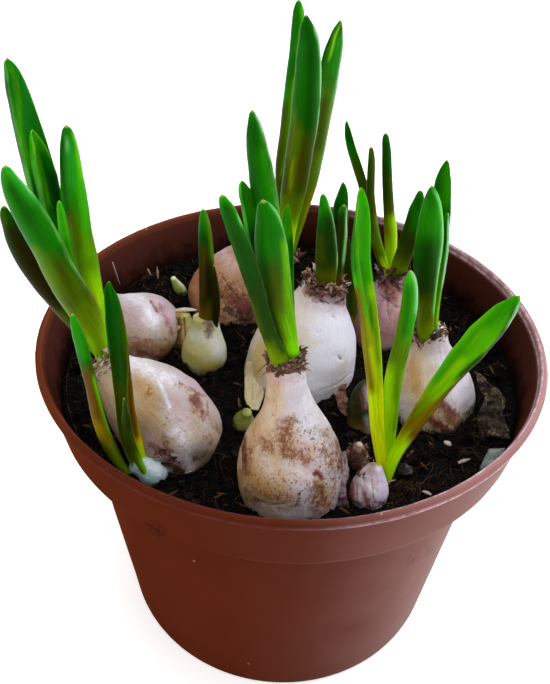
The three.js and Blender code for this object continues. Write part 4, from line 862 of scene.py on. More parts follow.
def soil_material(name, dark, light, pale):
    m = Mat(name, rough=0.8, spec=0.05)
    mm = m.mm()
    a = m.noise(mm, 0.5, 5, 0.65)
    b = m.noise(mm, 2.6, 5, 0.7)
    col = m.mix(m.fit(a, 0.35, 0.7), dark, light)
    col = m.mix(m.mul(m.fit(b, 0.62, 0.78), 0.55), col, pale)
    tone = m.attr("tone")
    col = m.mix(m.mul(tone, 0.8), col, pale)
    m.set("Base Color", col)
    m.set("Roughness", m.fit(m.noise(mm, 0.9, 4, 0.6), 0.35, 0.7, 0.42, 0.95))
    h = m.add(m.mul(b, 1.0), m.mul(m.noise(mm, 6.0, 3, 0.6), 0.5))
    m.bump(h, 0.8, 0.35)
    return m.m


def build_soil():
    seg, rows = 340, 112
    a = np.arange(seg) * TAU / seg
    rr = 56.0 * (np.arange(1, rows + 1) / rows) ** 0.82
    rr = rr[::-1]
    R, A = np.meshgrid(rr, a, indexing="ij")
    x, y = R * np.cos(A), R * np.sin(A)
    z = soil_height(x, y)
    z[0] = soil_top(x[0], y[0]) - 0.3
    edge_r = wall_inside(z[0]) - 0.05
    x[0], y[0] = edge_r * np.cos(a), edge_r * np.sin(a)
    top = np.stack([x, y, z], -1)
    low = []
    for r, h in ((42.3, 2.75), (42.9, 3.4), (49.9, 72.1), (50.5, 72.7), (55.5, 73.25)):
        low.append(np.stack([r * np.cos(a), r * np.sin(a), np.full(seg, h)], -1))
    P = np.concatenate([np.array(low), top])
    V = P.reshape(-1, 3)
    n = len(V)
    V = np.concatenate([V, [[0, 0, 2.75]], [[0, 0, float(soil_height(np.zeros(1), np.zeros(1))[0])]]])
    quads = grid_faces(len(P), seg)
    tris = np.concatenate([fan(n, np.arange(seg), True), fan(n + 1, np.arange(seg) + (len(P) - 1) * seg)])
    mat = soil_material("peat", rgb(4, 3, 3), rgb(12, 8, 7), rgb(38, 25, 17))
    obj = make("soil_bed", V, quads, tris, mat, {"tone": np.zeros(len(V))})
    piece(obj, "soil", "soil")
    return mat


SOIL_MAT = build_soil()


def ico(level=0):
    f = (1 + 5**0.5) / 2
    v = [(-1, f, 0), (1, f, 0), (-1, -f, 0), (1, -f, 0), (0, -1, f), (0, 1, f), (0, -1, -f), (0, 1, -f), (f, 0, -1), (f, 0, 1), (-f, 0, -1), (-f, 0, 1)]
    t = [(0, 11, 5), (0, 5, 1), (0, 1, 7), (0, 7, 10), (0, 10, 11), (1, 5, 9), (5, 11, 4), (11, 10, 2), (10, 7, 6), (7, 1, 8),
         (3, 9, 4), (3, 4, 2), (3, 2, 6), (3, 6, 8), (3, 8, 9), (4, 9, 5), (2, 4, 11), (6, 2, 10), (8, 6, 7), (9, 8, 1)]
    v = [tuple(unit(p)) for p in v]
    for _ in range(level):
        seen, new = {}, []

        def mid(i, j):
            key = (min(i, j), max(i, j))
            if key not in seen:
                seen[key] = len(v)
                v.append(tuple(unit((np.array(v[i]) + v[j]) / 2)))
            return seen[key]

        for i, j, k in t:
            x, y, z = mid(i, j), mid(j, k), mid(k, i)
            new += [(i, x, z), (x, j, y), (z, y, k), (x, y, z)]
        t = new
    return np.array(v), np.array(t)


def turn_of(rng):
    q = unit(rng.normal(size=4))
    w, x, y, z = q
    return np.array([[1 - 2 * (y * y + z * z), 2 * (x * y - z * w), 2 * (x * z + y * w)],
                     [2 * (x * y + z * w), 1 - 2 * (x * x + z * z), 2 * (y * z - x * w)],
                     [2 * (x * z - y * w), 2 * (y * z + x * w), 1 - 2 * (x * x + y * y)]])


def in_bulb(x, y, grow=0.0):
    """True where a bulb stands in the soil."""
    hit = np.zeros(np.shape(x), bool)
    for B, N, r, prof in BULBS.values():
        B, N = np.array(B), np.array(N)
        for f in (0.15, 0.35, 0.55):
            c = B + (N - B) * f
            if c[2] < 80:
                hit |= np.hypot(x - c[0], y - c[1]) < r * 0.92 + grow
    return hit


def scatter(rng, count, r_max=55.0, grow=0.0):
    out = np.zeros((0, 2))
    while len(out) < count:
        a, r = rng.uniform(0, TAU, count), r_max * np.sqrt(rng.uniform(0, 1, count))
        p = np.stack([r * np.cos(a), r * np.sin(a)], -1)
        out = np.concatenate([out, p[~in_bulb(p[:, 0], p[:, 1], grow)]])
    return out[:count]


def ground(x, y):
    return float(soil_height(np.array([x]), np.array([y]))[0])


def build_crumbs():
    rng = np.random.default_rng(12)
    b = Batch()
    small, big = ico(0), ico(1)
    for count, (sv, st), lo, hi in ((3600, small, 0.16, 0.55), (1050, big, 0.4, 1.5)):
        places = scatter(rng, count)
        for x, y in places:
            size = lo * (hi / lo) ** (rng.random() ** 1.6)
            s = size * rng.uniform(0.55, 1.25, 3)
            T = turn_of(rng)
            v = sv * (1 + 0.30 * rng.normal(size=len(sv)).clip(-1.5, 1.5)[:, None]) * s
            r = math.hypot(x, y)
            if r > 54.6 - size:
                x, y = x * (54.6 - size) / r, y * (54.6 - size) / r
            z = ground(x, y) + size * rng.uniform(-0.2, 0.45)
            tone = rng.random() ** 3 * 0.9 if rng.random() < 0.93 else rng.uniform(0.7, 1.5)
            b.add(v @ T + (x, y, z), tris=st, tone=tone)
    piece(b.build("soil_crumbs", SOIL_MAT, shade=False), "soil")


def build_fibres():
    rng = np.random.default_rng(31)
    b = Batch()
    spots = [(tuple(p), 0.7) for p in scatter(rng, 260)]
    # denser tufts of brown fibre where the picture has them
    for u, v, n, spread in ((402, 488, 60, 4.5), (395, 492, 30, 3), (470, 425, 24, 5), (75, 385, 26, 6), (225, 470, 24, 4),
                            (450, 480, 34, 6), (480, 440, 20, 5), (150, 272, 34, 6), (212, 440, 20, 3), (90, 420, 20, 5), (130, 262, 16, 4)):
        c = at_z(u, v, 75.0)
        for _ in range(n):
            spots.append(((c[0] + rng.normal() * spread * 0.6, c[1] + rng.normal() * spread * 0.6), 0.8))
    for (x, y), k in spots:
        L, r = rng.uniform(2.0, 8.5) * k, rng.uniform(0.05, 0.12)
        n = 7
        h = rng.uniform(0, TAU)
        pts = [(x, y)]
        for _ in range(n - 1):
            h += rng.normal() * 0.45
            px, py = pts[-1]
            pts.append((px + math.cos(h) * L / (n - 1), py + math.sin(h) * L / (n - 1)))
        pts = np.array(pts)
        rr = np.hypot(pts[:, 0], pts[:, 1])
        pts *= np.minimum(1, 54.6 / rr)[:, None]
        lift = abs(rng.normal()) * 0.7 + 0.15
        up = np.sin(np.linspace(0, math.pi, n) * rng.uniform(0.5, 1.2)) * lift
        z = soil_height(pts[:, 0], pts[:, 1]) + up + r * 0.3
        line = np.c_[pts, z]
        V, q, t = tube(line, np.full(n, r) * (1 - 0.6 * np.linspace(0, 1, n) ** 2), 4)
        tone = rng.uniform(0.1, 0.7) if rng.random() < 0.9 else rng.uniform(0.8, 1.5)
        b.add(V, q, t, tone=tone)
    # thin flat shreds of bark
    for x, y in scatter(rng, 170):
        L, w = rng.uniform(1.2, 4.0), rng.uniform(0.3, 0.9)
        n, h = 5, rng.uniform(0, TAU)
        s = np.linspace(-0.5, 0.5, n) * L
        px, py = x + math.cos(h) * s, y + math.sin(h) * s
        k = np.minimum(1, 54.3 / np.hypot(px, py))
        px, py = px * k, py * k
        z = np.full(n, float(soil_height(px, py).mean()) + rng.uniform(0.1, 0.6)) + s * rng.normal() * 0.2
        up = np.tile([rng.normal() * 0.4, rng.normal() * 0.4, 1.0], (n, 1))
        V, q, _, _ = thin_strip(np.c_[px, py, z], w * (1 - (2 * np.linspace(-0.5, 0.5, n)) ** 2 * 0.8), up, 0.14, 3)
        b.add(V, q, tone=rng.uniform(0.2, 1.2))
    mat = soil_material("peat_fibre", rgb(15, 10, 8), rgb(36, 24, 17), rgb(96, 68, 46))
    piece(b.build("soil_fibres", mat), "soil")


build_crumbs()
build_fibres()


# --------------------------------------------------------------------- bulbs
class Bulb:
    """A bulb's surface by t (0 at the root plate, 1 at the neck) and angle (0 faces
    the viewer, positive towards the picture's right)."""

    def __init__(self, name, seed=0, lump=0.3, rib=0.10, swell=1.0, shift=(0, 0, 0)):
        B, N, r, prof = BULBS[name]
        self.r = r * swell
        self.name, self.seed = name, seed
        self.B, self.N = np.array(B, float) + shift, np.array(N, float) + shift
        self.len = float(np.linalg.norm(self.N - self.B))
        self.axis = (self.N - self.B) / self.len
        to_eye = EYE - (self.B + self.N) / 2
        self.x = unit(to_eye - self.axis * (to_eye @ self.axis))
        side = np.cross(self.axis, self.x)
        self.sign = 1.0 if side @ VIEW[0] > 0 else -1.0
        self.y = side * self.sign
        self.prof = np.array(prof, float)
        self.lump, self.rib = lump, rib
        self.bumps = []

    def radius(self, t):
        return self.r * pchip(self.prof[:, 0], self.prof[:, 1], np.clip(t, 0, 1)) * (1 - 1.7 * np.maximum(np.asarray(t, float) - 1, 0))

    def plain(self, t, a, out=0.0):
        t, a, out = np.broadcast_arrays(np.asarray(t, float), np.asarray(a, float), out)
        d = np.cos(a)[..., None] * self.x + np.sin(a)[..., None] * self.y
        return self.B + (t * self.len)[..., None] * self.axis + d * (self.radius(t) + out)[..., None]

    def relief(self, P, t, a):
        s = self.seed
        low = self.lump * fbm(P / 8.5, 2, s) + 0.3 * self.lump * fbm(P / 3.0, 3, s + 9)
        F = np.stack([np.cos(a) * 5.5, np.sin(a) * 5.5, t * 1.3], -1)
        ribs = self.rib * fbm(F, 4, s + 20, 0.6) + 0.35 * self.rib * fbm(F * [3.2, 3.2, 1.0], 3, s + 31)
        out = low + ribs * (0.5 + 0.8 * smooth(t, 0.45, 0.95))
        for c, r, h in self.bumps:
            out = out + h * np.exp(-np.sum(((P - c) / r) ** 2, -1))
        return out

    def at(self, t, a, out=0.0):
        """Points on the finished skin."""
        P = self.plain(t, a)
        tt, aa = np.broadcast_arrays(np.asarray(t, float), np.asarray(a, float))
        return self.plain(tt, aa, self.relief(P, tt, aa) + out)

    def pick(self, u, v):
        """Where the picture's point (u, v) falls on the bulb: place, t, angle, mm per pixel."""
        t, a = np.meshgrid(np.linspace(0.0, 1, 90), np.linspace(-1.7, 1.7, 140), indexing="ij")
        P = self.plain(t, a)
        pu, pv, depth = to_picture(P)
        i = np.unravel_index(np.argmin((pu - u) ** 2 + (pv - v) ** 2 + (depth - depth.min()) * 0.05), pu.shape)
        return P[i], t[i], a[i], depth[i] / FOCAL

    def mesh(self, name, mat, rows=92, cols=150, paint=None, top=0.985):
        t = np.concatenate([[0.0], np.linspace(0.012, top - 0.015, rows - 2), [top]])
        a = np.arange(cols) * TAU / cols - math.pi
        T, A = np.meshgrid(t, a, indexing="ij")
        P = self.at(T, A)
        # the neck closes under its torn skin
        for k, (f, up) in enumerate(((0.82, 0.25), (0.45, 0.15))):
            last = P[-1].mean(0)
            P = np.concatenate([P, (last + (P[-1] - last) * f + self.axis * up)[None]])
            T = np.concatenate([T, T[-1:] + 0.005])
            A = np.concatenate([A, A[-1:]])
        n = P.shape[0] * cols
        V = np.concatenate([P.reshape(-1, 3), [self.B - self.axis * self.r * 0.08, P[-1].mean(0) + self.axis * 0.05]])
        T = np.r_[T.ravel(), 0, 1.0]
        A = np.r_[A.ravel(), 0, 0]
        flip = self.sign < 0
        quads = grid_faces(P.shape[0], cols, flip=flip)
        tris = np.concatenate([fan(n, np.arange(cols), not flip), fan(n + 1, np.arange(cols) + (P.shape[0] - 1) * cols, flip)])
        attrs = self.marks(V, T, A, paint or [])
        return make(name, V, quads, tris, mat, attrs)

    def marks(self, P, T, A, paint):
        """paint: (kind, line of picture points, half-width in pixels, strength) or ("base", kind, value)."""
        out = {k: np.zeros(len(P)) for k in ("tan", "stain", "red", "pore", "dirt", "white", "lilac", "amber", "line", "root", "wine")}
        # painted light: the side towards the picture's left is painted tan and the side towards the right pale
        # lavender, as the light falls from the right
        out["tan"] = 0.42 - 0.34 * np.sin(A) + 0.08 * np.cos(A)
        soil = soil_top(P[:, 0], P[:, 1])
        # darker just above the soil line
        out["dirt"] = smooth(P[:, 2] - soil, 3.2, 0.2) * 0.9
        warp = fbm(P / 2.6, 3, self.seed + 3)
        warp2 = fbm(P / 0.9, 3, self.seed + 6)
        for kind, *spot in paint:
            if kind == "base":
                out[spot[0]] = out[spot[0]] + spot[1]
                continue
            line, r, level = spot
            d, t, run = picture_distance(P, line)
            if run:
                over = np.maximum(np.maximum(-t, t - run), 0)
                d = np.hypot(d, over * 0.8)
            thin = kind in ("line", "red")
            d = d / r * (1 + (0.30 if thin else 0.45) * warp) + (0.35 if thin else 0.22) * warp2
            m = np.exp(-1.1 * np.maximum(d, 0) ** 2)
            if level < 0:
                out[kind] = out[kind] * (1 + level * m)
            else:
                out[kind] = np.maximum(out[kind], level * m)
        out["fib"] = np.stack([np.cos(A) * self.r, np.sin(A) * self.r, T * self.len * 0.12], -1)
        return out


def skin_material(name, lav, cream, tan, brown, rough=0.42, fibres=1.0, blot=1.0, purple=rgb(126, 60, 62), spot=rgb(96, 58, 34), spec=0.30):
    """Papery bulb skin: pale layers with fibres, blotches, pores, creases and roots, with painted side light and
    highlights, and darker near the soil.
    """
    m = Mat(name, rough=rough, spec=spec)
    mm = m.mm()
    spot_dark = rgb(104, 48, 40)
    fib = m.attrv("fib")
    slow = m.noise(mm, 0.16, 3, 0.55)
    cloud = m.noise(m.vadd(mm, (9, 4, 2)), 0.34, 5, 0.62, 0.5)
    mid = m.noise(mm, 0.85, 5, 0.66, 0.5)
    fine = m.noise(mm, 2.6, 5, 0.68)
    grit = m.noise(m.vadd(mm, (3, 8, 5)), 5.2, 3, 0.6)
    fibre = m.noise(m.vmul(fib, (2.3, 2.3, 1.0)), 1.0, 5, 0.65, 0.35)
    thread = m.noise(m.vmul(fib, (5.5, 5.5, 1.8)), 1.0, 4, 0.62, 0.3)
    # the tan mark brings in the painted side light: lavender to the right, cream and tan to the left, broken by clouds
    # and fibres
    warm = m.add(m.attr("tan"), m.add(m.mul(m.sub(slow, 0.5), 1.1), m.add(m.mul(m.sub(fibre, 0.5), 0.40), m.mul(m.sub(cloud, 0.5), 1.0))))
    col = m.mix(m.fit(warm, 0.16, 0.60), lav, cream)
    col = m.mix(m.mul(m.fit(warm, 0.50, 1.15), 0.9), col, tan)
    col = m.mix(m.mul(m.fit(thread, 0.54, 0.74), 0.16 * fibres), col, brown)
    col = m.mix(m.mul(m.fit(thread, 0.46, 0.32), 0.16 * fibres), col, rgb(238, 232, 236))
    # paler and pinker clouds between the fibres
    col = m.mix(m.mul(m.fit(cloud, 0.56, 0.70), 0.22 * blot), col, rgb(206, 166, 150))
    # lilac and white marks are partly the skin's own patches and partly painted highlights and sheen; white also paints
    # light onto lower parts in shade
    col = m.mix(m.mul(m.attr("lilac"), m.fit(mid, 0.30, 0.60, 0.35, 0.85)), col, rgb(196, 158, 176))
    col = m.mix(m.mul(m.attr("amber"), m.fit(mid, 0.32, 0.58, 0.4, 0.95)), col, rgb(196, 148, 70))
    col = m.mix(m.mul(m.attr("white"), m.fit(m.add(mid, m.mul(m.sub(fine, 0.5), 0.6)), 0.30, 0.62, 1.0, 0.55)), col, rgb(234, 232, 244))
    # stains: a wash, then blotches whose edges follow the grain
    p = m.add(m.mul(mid, 0.40), m.add(m.mul(fine, 0.30), m.add(m.mul(cloud, 0.12), m.mul(thread, 0.18))))
    col = m.mix(m.mul(m.fit(m.add(m.mul(fine, 0.6), m.mul(mid, 0.4)), 0.51, 0.63), 0.18 * blot), col, m.mix(0.5, tan, brown))
    stain = m.attr("stain")
    col = m.mix(m.mul(stain, 0.42), col, rgb(186, 138, 92))
    a = m.add(p, m.mul(stain, 0.165))
    grain = m.fit(m.add(m.mul(grit, 0.5), m.mul(fine, 0.5)), 0.36, 0.60, 0.25, 1.0)
    hue = m.fit(m.noise(m.vadd(mm, (21, 3, 17)), 0.30, 4, 0.6), 0.40, 0.60)
    col = m.mix(m.mul(m.fit(a, 0.570, 0.650), 0.55 * blot), col, m.mix(hue, m.mix(0.5, brown, rgb(186, 124, 62)), m.mix(0.5, brown, rgb(150, 84, 70))))
    col = m.mix(m.mul(m.mul(m.fit(a, 0.625, 0.720), grain), 0.72 * blot), col, m.mix(hue, spot, spot_dark))
    # a web of hair-fine cracks where the skin has dried
    bent = m.vadd(mm, m.vmul(m.xyz(m.sub(mid, 0.5), m.sub(fine, 0.5), m.sub(cloud, 0.5)), (2.4, 2.4, 2.4)))
    web = m.fit(m.voronoi(m.vmul(bent, (1, 1, 0.6)), 0.62, "DISTANCE_TO_EDGE"), 0.070, 0.012)
    web = m.mul(web, m.fit(m.add(stain, m.mul(m.sub(cloud, 0.5), 1.6)), 0.05, 0.55))
    col = m.mix(m.mul(web, 0.50 * blot), col, m.mix(0.4, brown, rgb(84, 44, 34)))
    red = m.add(m.mul(m.attr("red"), 0.9), m.mul(m.sub(p, 0.5), 1.8))
    col = m.mix(m.mul(m.fit(red, 0.30, 0.62), 0.60), col, purple)
    col = m.mix(m.mul(m.fit(red, 0.60, 0.95), 0.85), col, rgb(84, 26, 34))
    col = m.mix(m.mul(m.fit(m.add(m.attr("wine"), m.mul(m.sub(p, 0.5), 1.6)), 0.30, 0.65), 0.9), col, rgb(132, 22, 42))
    line = m.add(m.attr("line"), m.mul(m.sub(fine, 0.5), 1.0))
    col = m.mix(m.mul(m.fit(line, 0.40, 0.80), 0.75), col, rgb(66, 38, 30))
    # pores
    pore = m.fit(m.voronoi(m.vmul(mm, (1, 1, 0.8)), 0.95), 0.30, 0.15)
    pore2 = m.fit(m.voronoi(m.vadd(mm, (7.0, 3.0, 1.0)), 1.5), 0.34, 0.16)
    few = m.mul(m.fit(m.voronoi(m.vadd(mm, (2.0, 9.0, 4.0)), 0.22), 0.075, 0.035), 0.7)
    pores = m.mul(m.attr("pore"), m.mul(m.math("MAXIMUM", pore, m.mul(pore2, 0.9)), m.fit(mid, 0.34, 0.48)))
    pores = m.math("MAXIMUM", pores, few)
    col = m.mix(m.mul(pores, 0.80), col, rgb(70, 40, 34))
    col = m.mix(m.mul(m.fit(grit, 0.60, 0.74), 0.20), col, rgb(120, 86, 64))
    # fine brown roots, and the skin darker just above the soil
    root = m.add(m.attr("root"), m.add(m.mul(m.sub(mid, 0.5), 1.6), m.mul(m.sub(fine, 0.5), 1.2)))
    col = m.mix(m.mul(m.fit(root, 0.45, 0.90), 0.85), col, rgb(62, 36, 26))
    dirt = m.add(m.attr("dirt"), m.add(m.mul(m.sub(mid, 0.5), 1.6), m.mul(m.sub(fine, 0.5), 1.1)))
    dirt = m.fit(dirt, 0.40, 0.95)
    col = m.mix(m.mul(dirt, 0.88), col, rgb(40, 25, 17))
    m.set("Base Color", col)
    m.set("Roughness", m.add(m.fit(fine, 0.3, 0.7, rough - 0.08, rough + 0.12), m.mul(dirt, 0.3)))
    h = m.add(m.mul(fibre, 0.8), m.mul(thread, 0.30 * fibres))
    h = m.add(h, m.add(m.mul(fine, 0.45), m.mul(mid, 0.9)))
    h = m.sub(h, m.mul(pores, 0.5))
    h = m.sub(h, m.mul(m.attr("line"), 1.4))
    h = m.add(h, m.mul(m.attr("stain"), m.mul(mid, 0.8)))
    h = m.sub(h, m.mul(web, 0.35))
    m.bump(h, 0.65, 0.28)
    m.flesh(0.06, 1.0, (1.0, 0.6, 0.4))
    return m.m


BULB_SKIN = skin_material("bulb_skin_papery", rgb(216, 206, 213), rgb(218, 195, 170), rgb(196, 155, 108), rgb(142, 94, 62), blot=1.2)
LEFT_SKIN = skin_material("bulb_skin_tan", rgb(172, 160, 160), rgb(172, 154, 128), rgb(160, 130, 90), rgb(120, 82, 56))
PALE_SKIN = skin_material("bulb_skin_pale", rgb(216, 216, 230), rgb(208, 198, 184), rgb(200, 172, 108), rgb(160, 124, 84), fibres=0.35, blot=0.35)


# ------------------------------------------------------------- necks and tufts
def neck(batch, bulb, rng, t0=0.93, length=(2.5, 6.0), count=9, width=(2.5, 5.5), flare=0.15, span=(-math.pi, math.pi), thick=0.22, rag=0.35, t_out=0.25, curl=0.0, tone=(0.2, 0.8), below=1.4):
    """Torn papery skins that stand around a bulb's neck."""
    for k in range(count):
        a = span[0] + (span[1] - span[0]) * (k + rng.uniform(0.1, 0.9)) / count
        n = 12
        L = rng.uniform(*length)
        w = rng.uniform(*width)
        base = bulb.at(t0, a, -0.15)
        r = float(bulb.radius(t0))
        dirn = math.cos(a) * bulb.x + math.sin(a) * bulb.y
        lean = rng.uniform(-0.6, 1.0) * flare
        twist = rng.normal() * 0.25
        s = np.linspace(0, 1, n)
        # starts a little down the neck, follows it up, then leans out and curls
        path = []
        for q in s:
            h = -below + (below + L) * q
            if h < 0:
                t = t0 + h / bulb.len
                path.append(bulb.at(t, a, t_out * 0.5))
            else:
                out_ = t_out + lean * h * (0.4 + h / max(L, 1)) + curl * (h / L) ** 3 * L * 0.5
                path.append(base + bulb.axis * h * (1 - 0.25 * abs(lean)) + dirn * out_ + np.cross(bulb.axis, dirn) * twist * h * 0.25)
        path = np.array(path)
        path += 0.16 * np.stack([fbm(path / 1.4, 2, int(rng.integers(1e6)) + j) for j in range(3)], -1) * s[:, None]
        W = w * (1 - s ** rng.uniform(2.0, 5.0)) ** 0.8
        W *= 1 + rag * fbm(np.stack([s * 7, s * 0, s * 0 + k], -1), 3, int(rng.integers(1e6)))
        W = np.maximum(W, 0.12)
        up = np.tile(dirn, (n, 1))
        V, q, ss, uu = thin_strip(path, W, up, thick, 6, cup=0.5 * min(1.0, w / (2 * r)), rng=rng, ragged=rag * 0.5)
        V += 0.10 * fbm(V / 0.9, 2, 77)[:, None] * dirn
        batch.add(V, q, s=ss, u=uu, tone=rng.uniform(*tone), seed=rng.uniform(0, 50))


def patch(batch, bulb, rng, u, v, w, h, lift=0.25, turn=0.0, tone=0.5, thick=0.14, curl=0.0, n=12, m=9, rag=0.18):
    """A loose scrap of skin lying on the bulb, w by h pixels, centred on a picture point."""
    c, t, a, per = bulb.pick(u, v)
    k = n * m
    su, sv = np.meshgrid(np.linspace(-1, 1, m), np.linspace(-1, 1, n))
    # round off the corners, tear the edge
    f = np.sqrt(np.maximum(1 - 0.42 * sv**2, 0.1))
    g = np.sqrt(np.maximum(1 - 0.42 * su**2, 0.1))
    th = np.arctan2(sv, su)
    tear = 1 + rag * fbm(np.stack([np.cos(th) * 2.2, np.sin(th) * 2.2, th * 0 + rng.uniform(0, 90)], -1), 3, 5)
    x, y = su * f * tear * w / 2 * per, sv * g * tear * h / 2 * per
    cx, sx = math.cos(turn), math.sin(turn)
    x, y = x * cx - y * sx, x * sx + y * cx
    R = float(bulb.radius(t))
    edge = np.maximum(np.abs(su), np.abs(sv))
    A = a + x / R
    T = t - y / bulb.len
    up_ = lift + curl * smooth(edge, 0.55, 1.0) * (0.6 + 0.8 * fbm(np.stack([su * 1.5, sv * 1.5, su * 0 + rng.uniform(0, 50)], -1), 2, 3))
    outer = bulb.at(T, A, up_ + thick)
    inner = bulb.at(T, A, up_)
    V = np.concatenate([outer.reshape(-1, 3), inner.reshape(-1, 3)])
    flip = bulb.sign < 0
    q = grid_faces(n, m, wrap=False, flip=not flip)
    q2 = grid_faces(n, m, wrap=False, flip=flip) + k
    rim = list(range(m)) + [i * m + m - 1 for i in range(1, n)] + [(n - 1) * m + j for j in range(m - 2, -1, -1)] + [i * m for i in range(n - 2, 0, -1)]
    side = []
    for i in range(len(rim)):
        p, r_ = rim[i], rim[(i + 1) % len(rim)]
        f4 = [p, p + k, r_ + k, r_]
        side.append(f4[::-1] if not flip else f4)
    batch.add(V, np.concatenate([q, q2, np.array(side)]), s=np.tile(sv.ravel() * 0.5 + 0.5, 2), u=np.tile(su.ravel(), 2), tone=tone, seed=rng.uniform(0, 50))


def paper_material(name, dark, mid, light, rough=0.5):
    """Dry torn skin, from dark brown (tone 0) to pale (tone 1), streaked along."""
    m = Mat(name, rough=rough, spec=0.35)
    mm = m.mm()
    tone, s, u = m.attr("tone"), m.attr("s"), m.attr("u")
    streak = m.noise(m.xyz(m.mul(u, 6.0), m.mul(s, 1.2), m.attr("seed")), 1.0, 4, 0.6, 0.3)
    n = m.noise(mm, 0.8, 4, 0.6)
    f = m.add(tone, m.add(m.mul(m.sub(streak, 0.5), 1.1), m.mul(m.sub(n, 0.5), 0.9)))
    col = m.mix(m.fit(f, 0.0, 0.5), dark, mid)
    col = m.mix(m.fit(f, 0.5, 1.0), col, light)
    m.set("Base Color", col)
    m.set("Roughness", m.fit(n, 0.3, 0.7, rough - 0.1, rough + 0.15))
    m.bump(m.add(streak, m.mul(m.noise(mm, 3.0, 4, 0.65), 0.6)), 0.5, 0.14)
    m.flesh(0.1, 0.8, (1.0, 0.6, 0.35))
    return m.m


PAPER_PALE = paper_material("papery_skin_pale", rgb(128, 92, 74), rgb(182, 162, 150), rgb(226, 220, 224))
PAPER_ICE = paper_material("papery_skin_white", rgb(112, 82, 84), rgb(172, 166, 180), rgb(216, 220, 234), 0.4)
PAPER_RUSSET = paper_material("papery_skin_russet", rgb(84, 48, 40), rgb(150, 108, 92), rgb(196, 168, 156))
PAPER_BROWN = paper_material("papery_skin_brown", rgb(44, 26, 20), rgb(104, 66, 46), rgb(190, 160, 140))


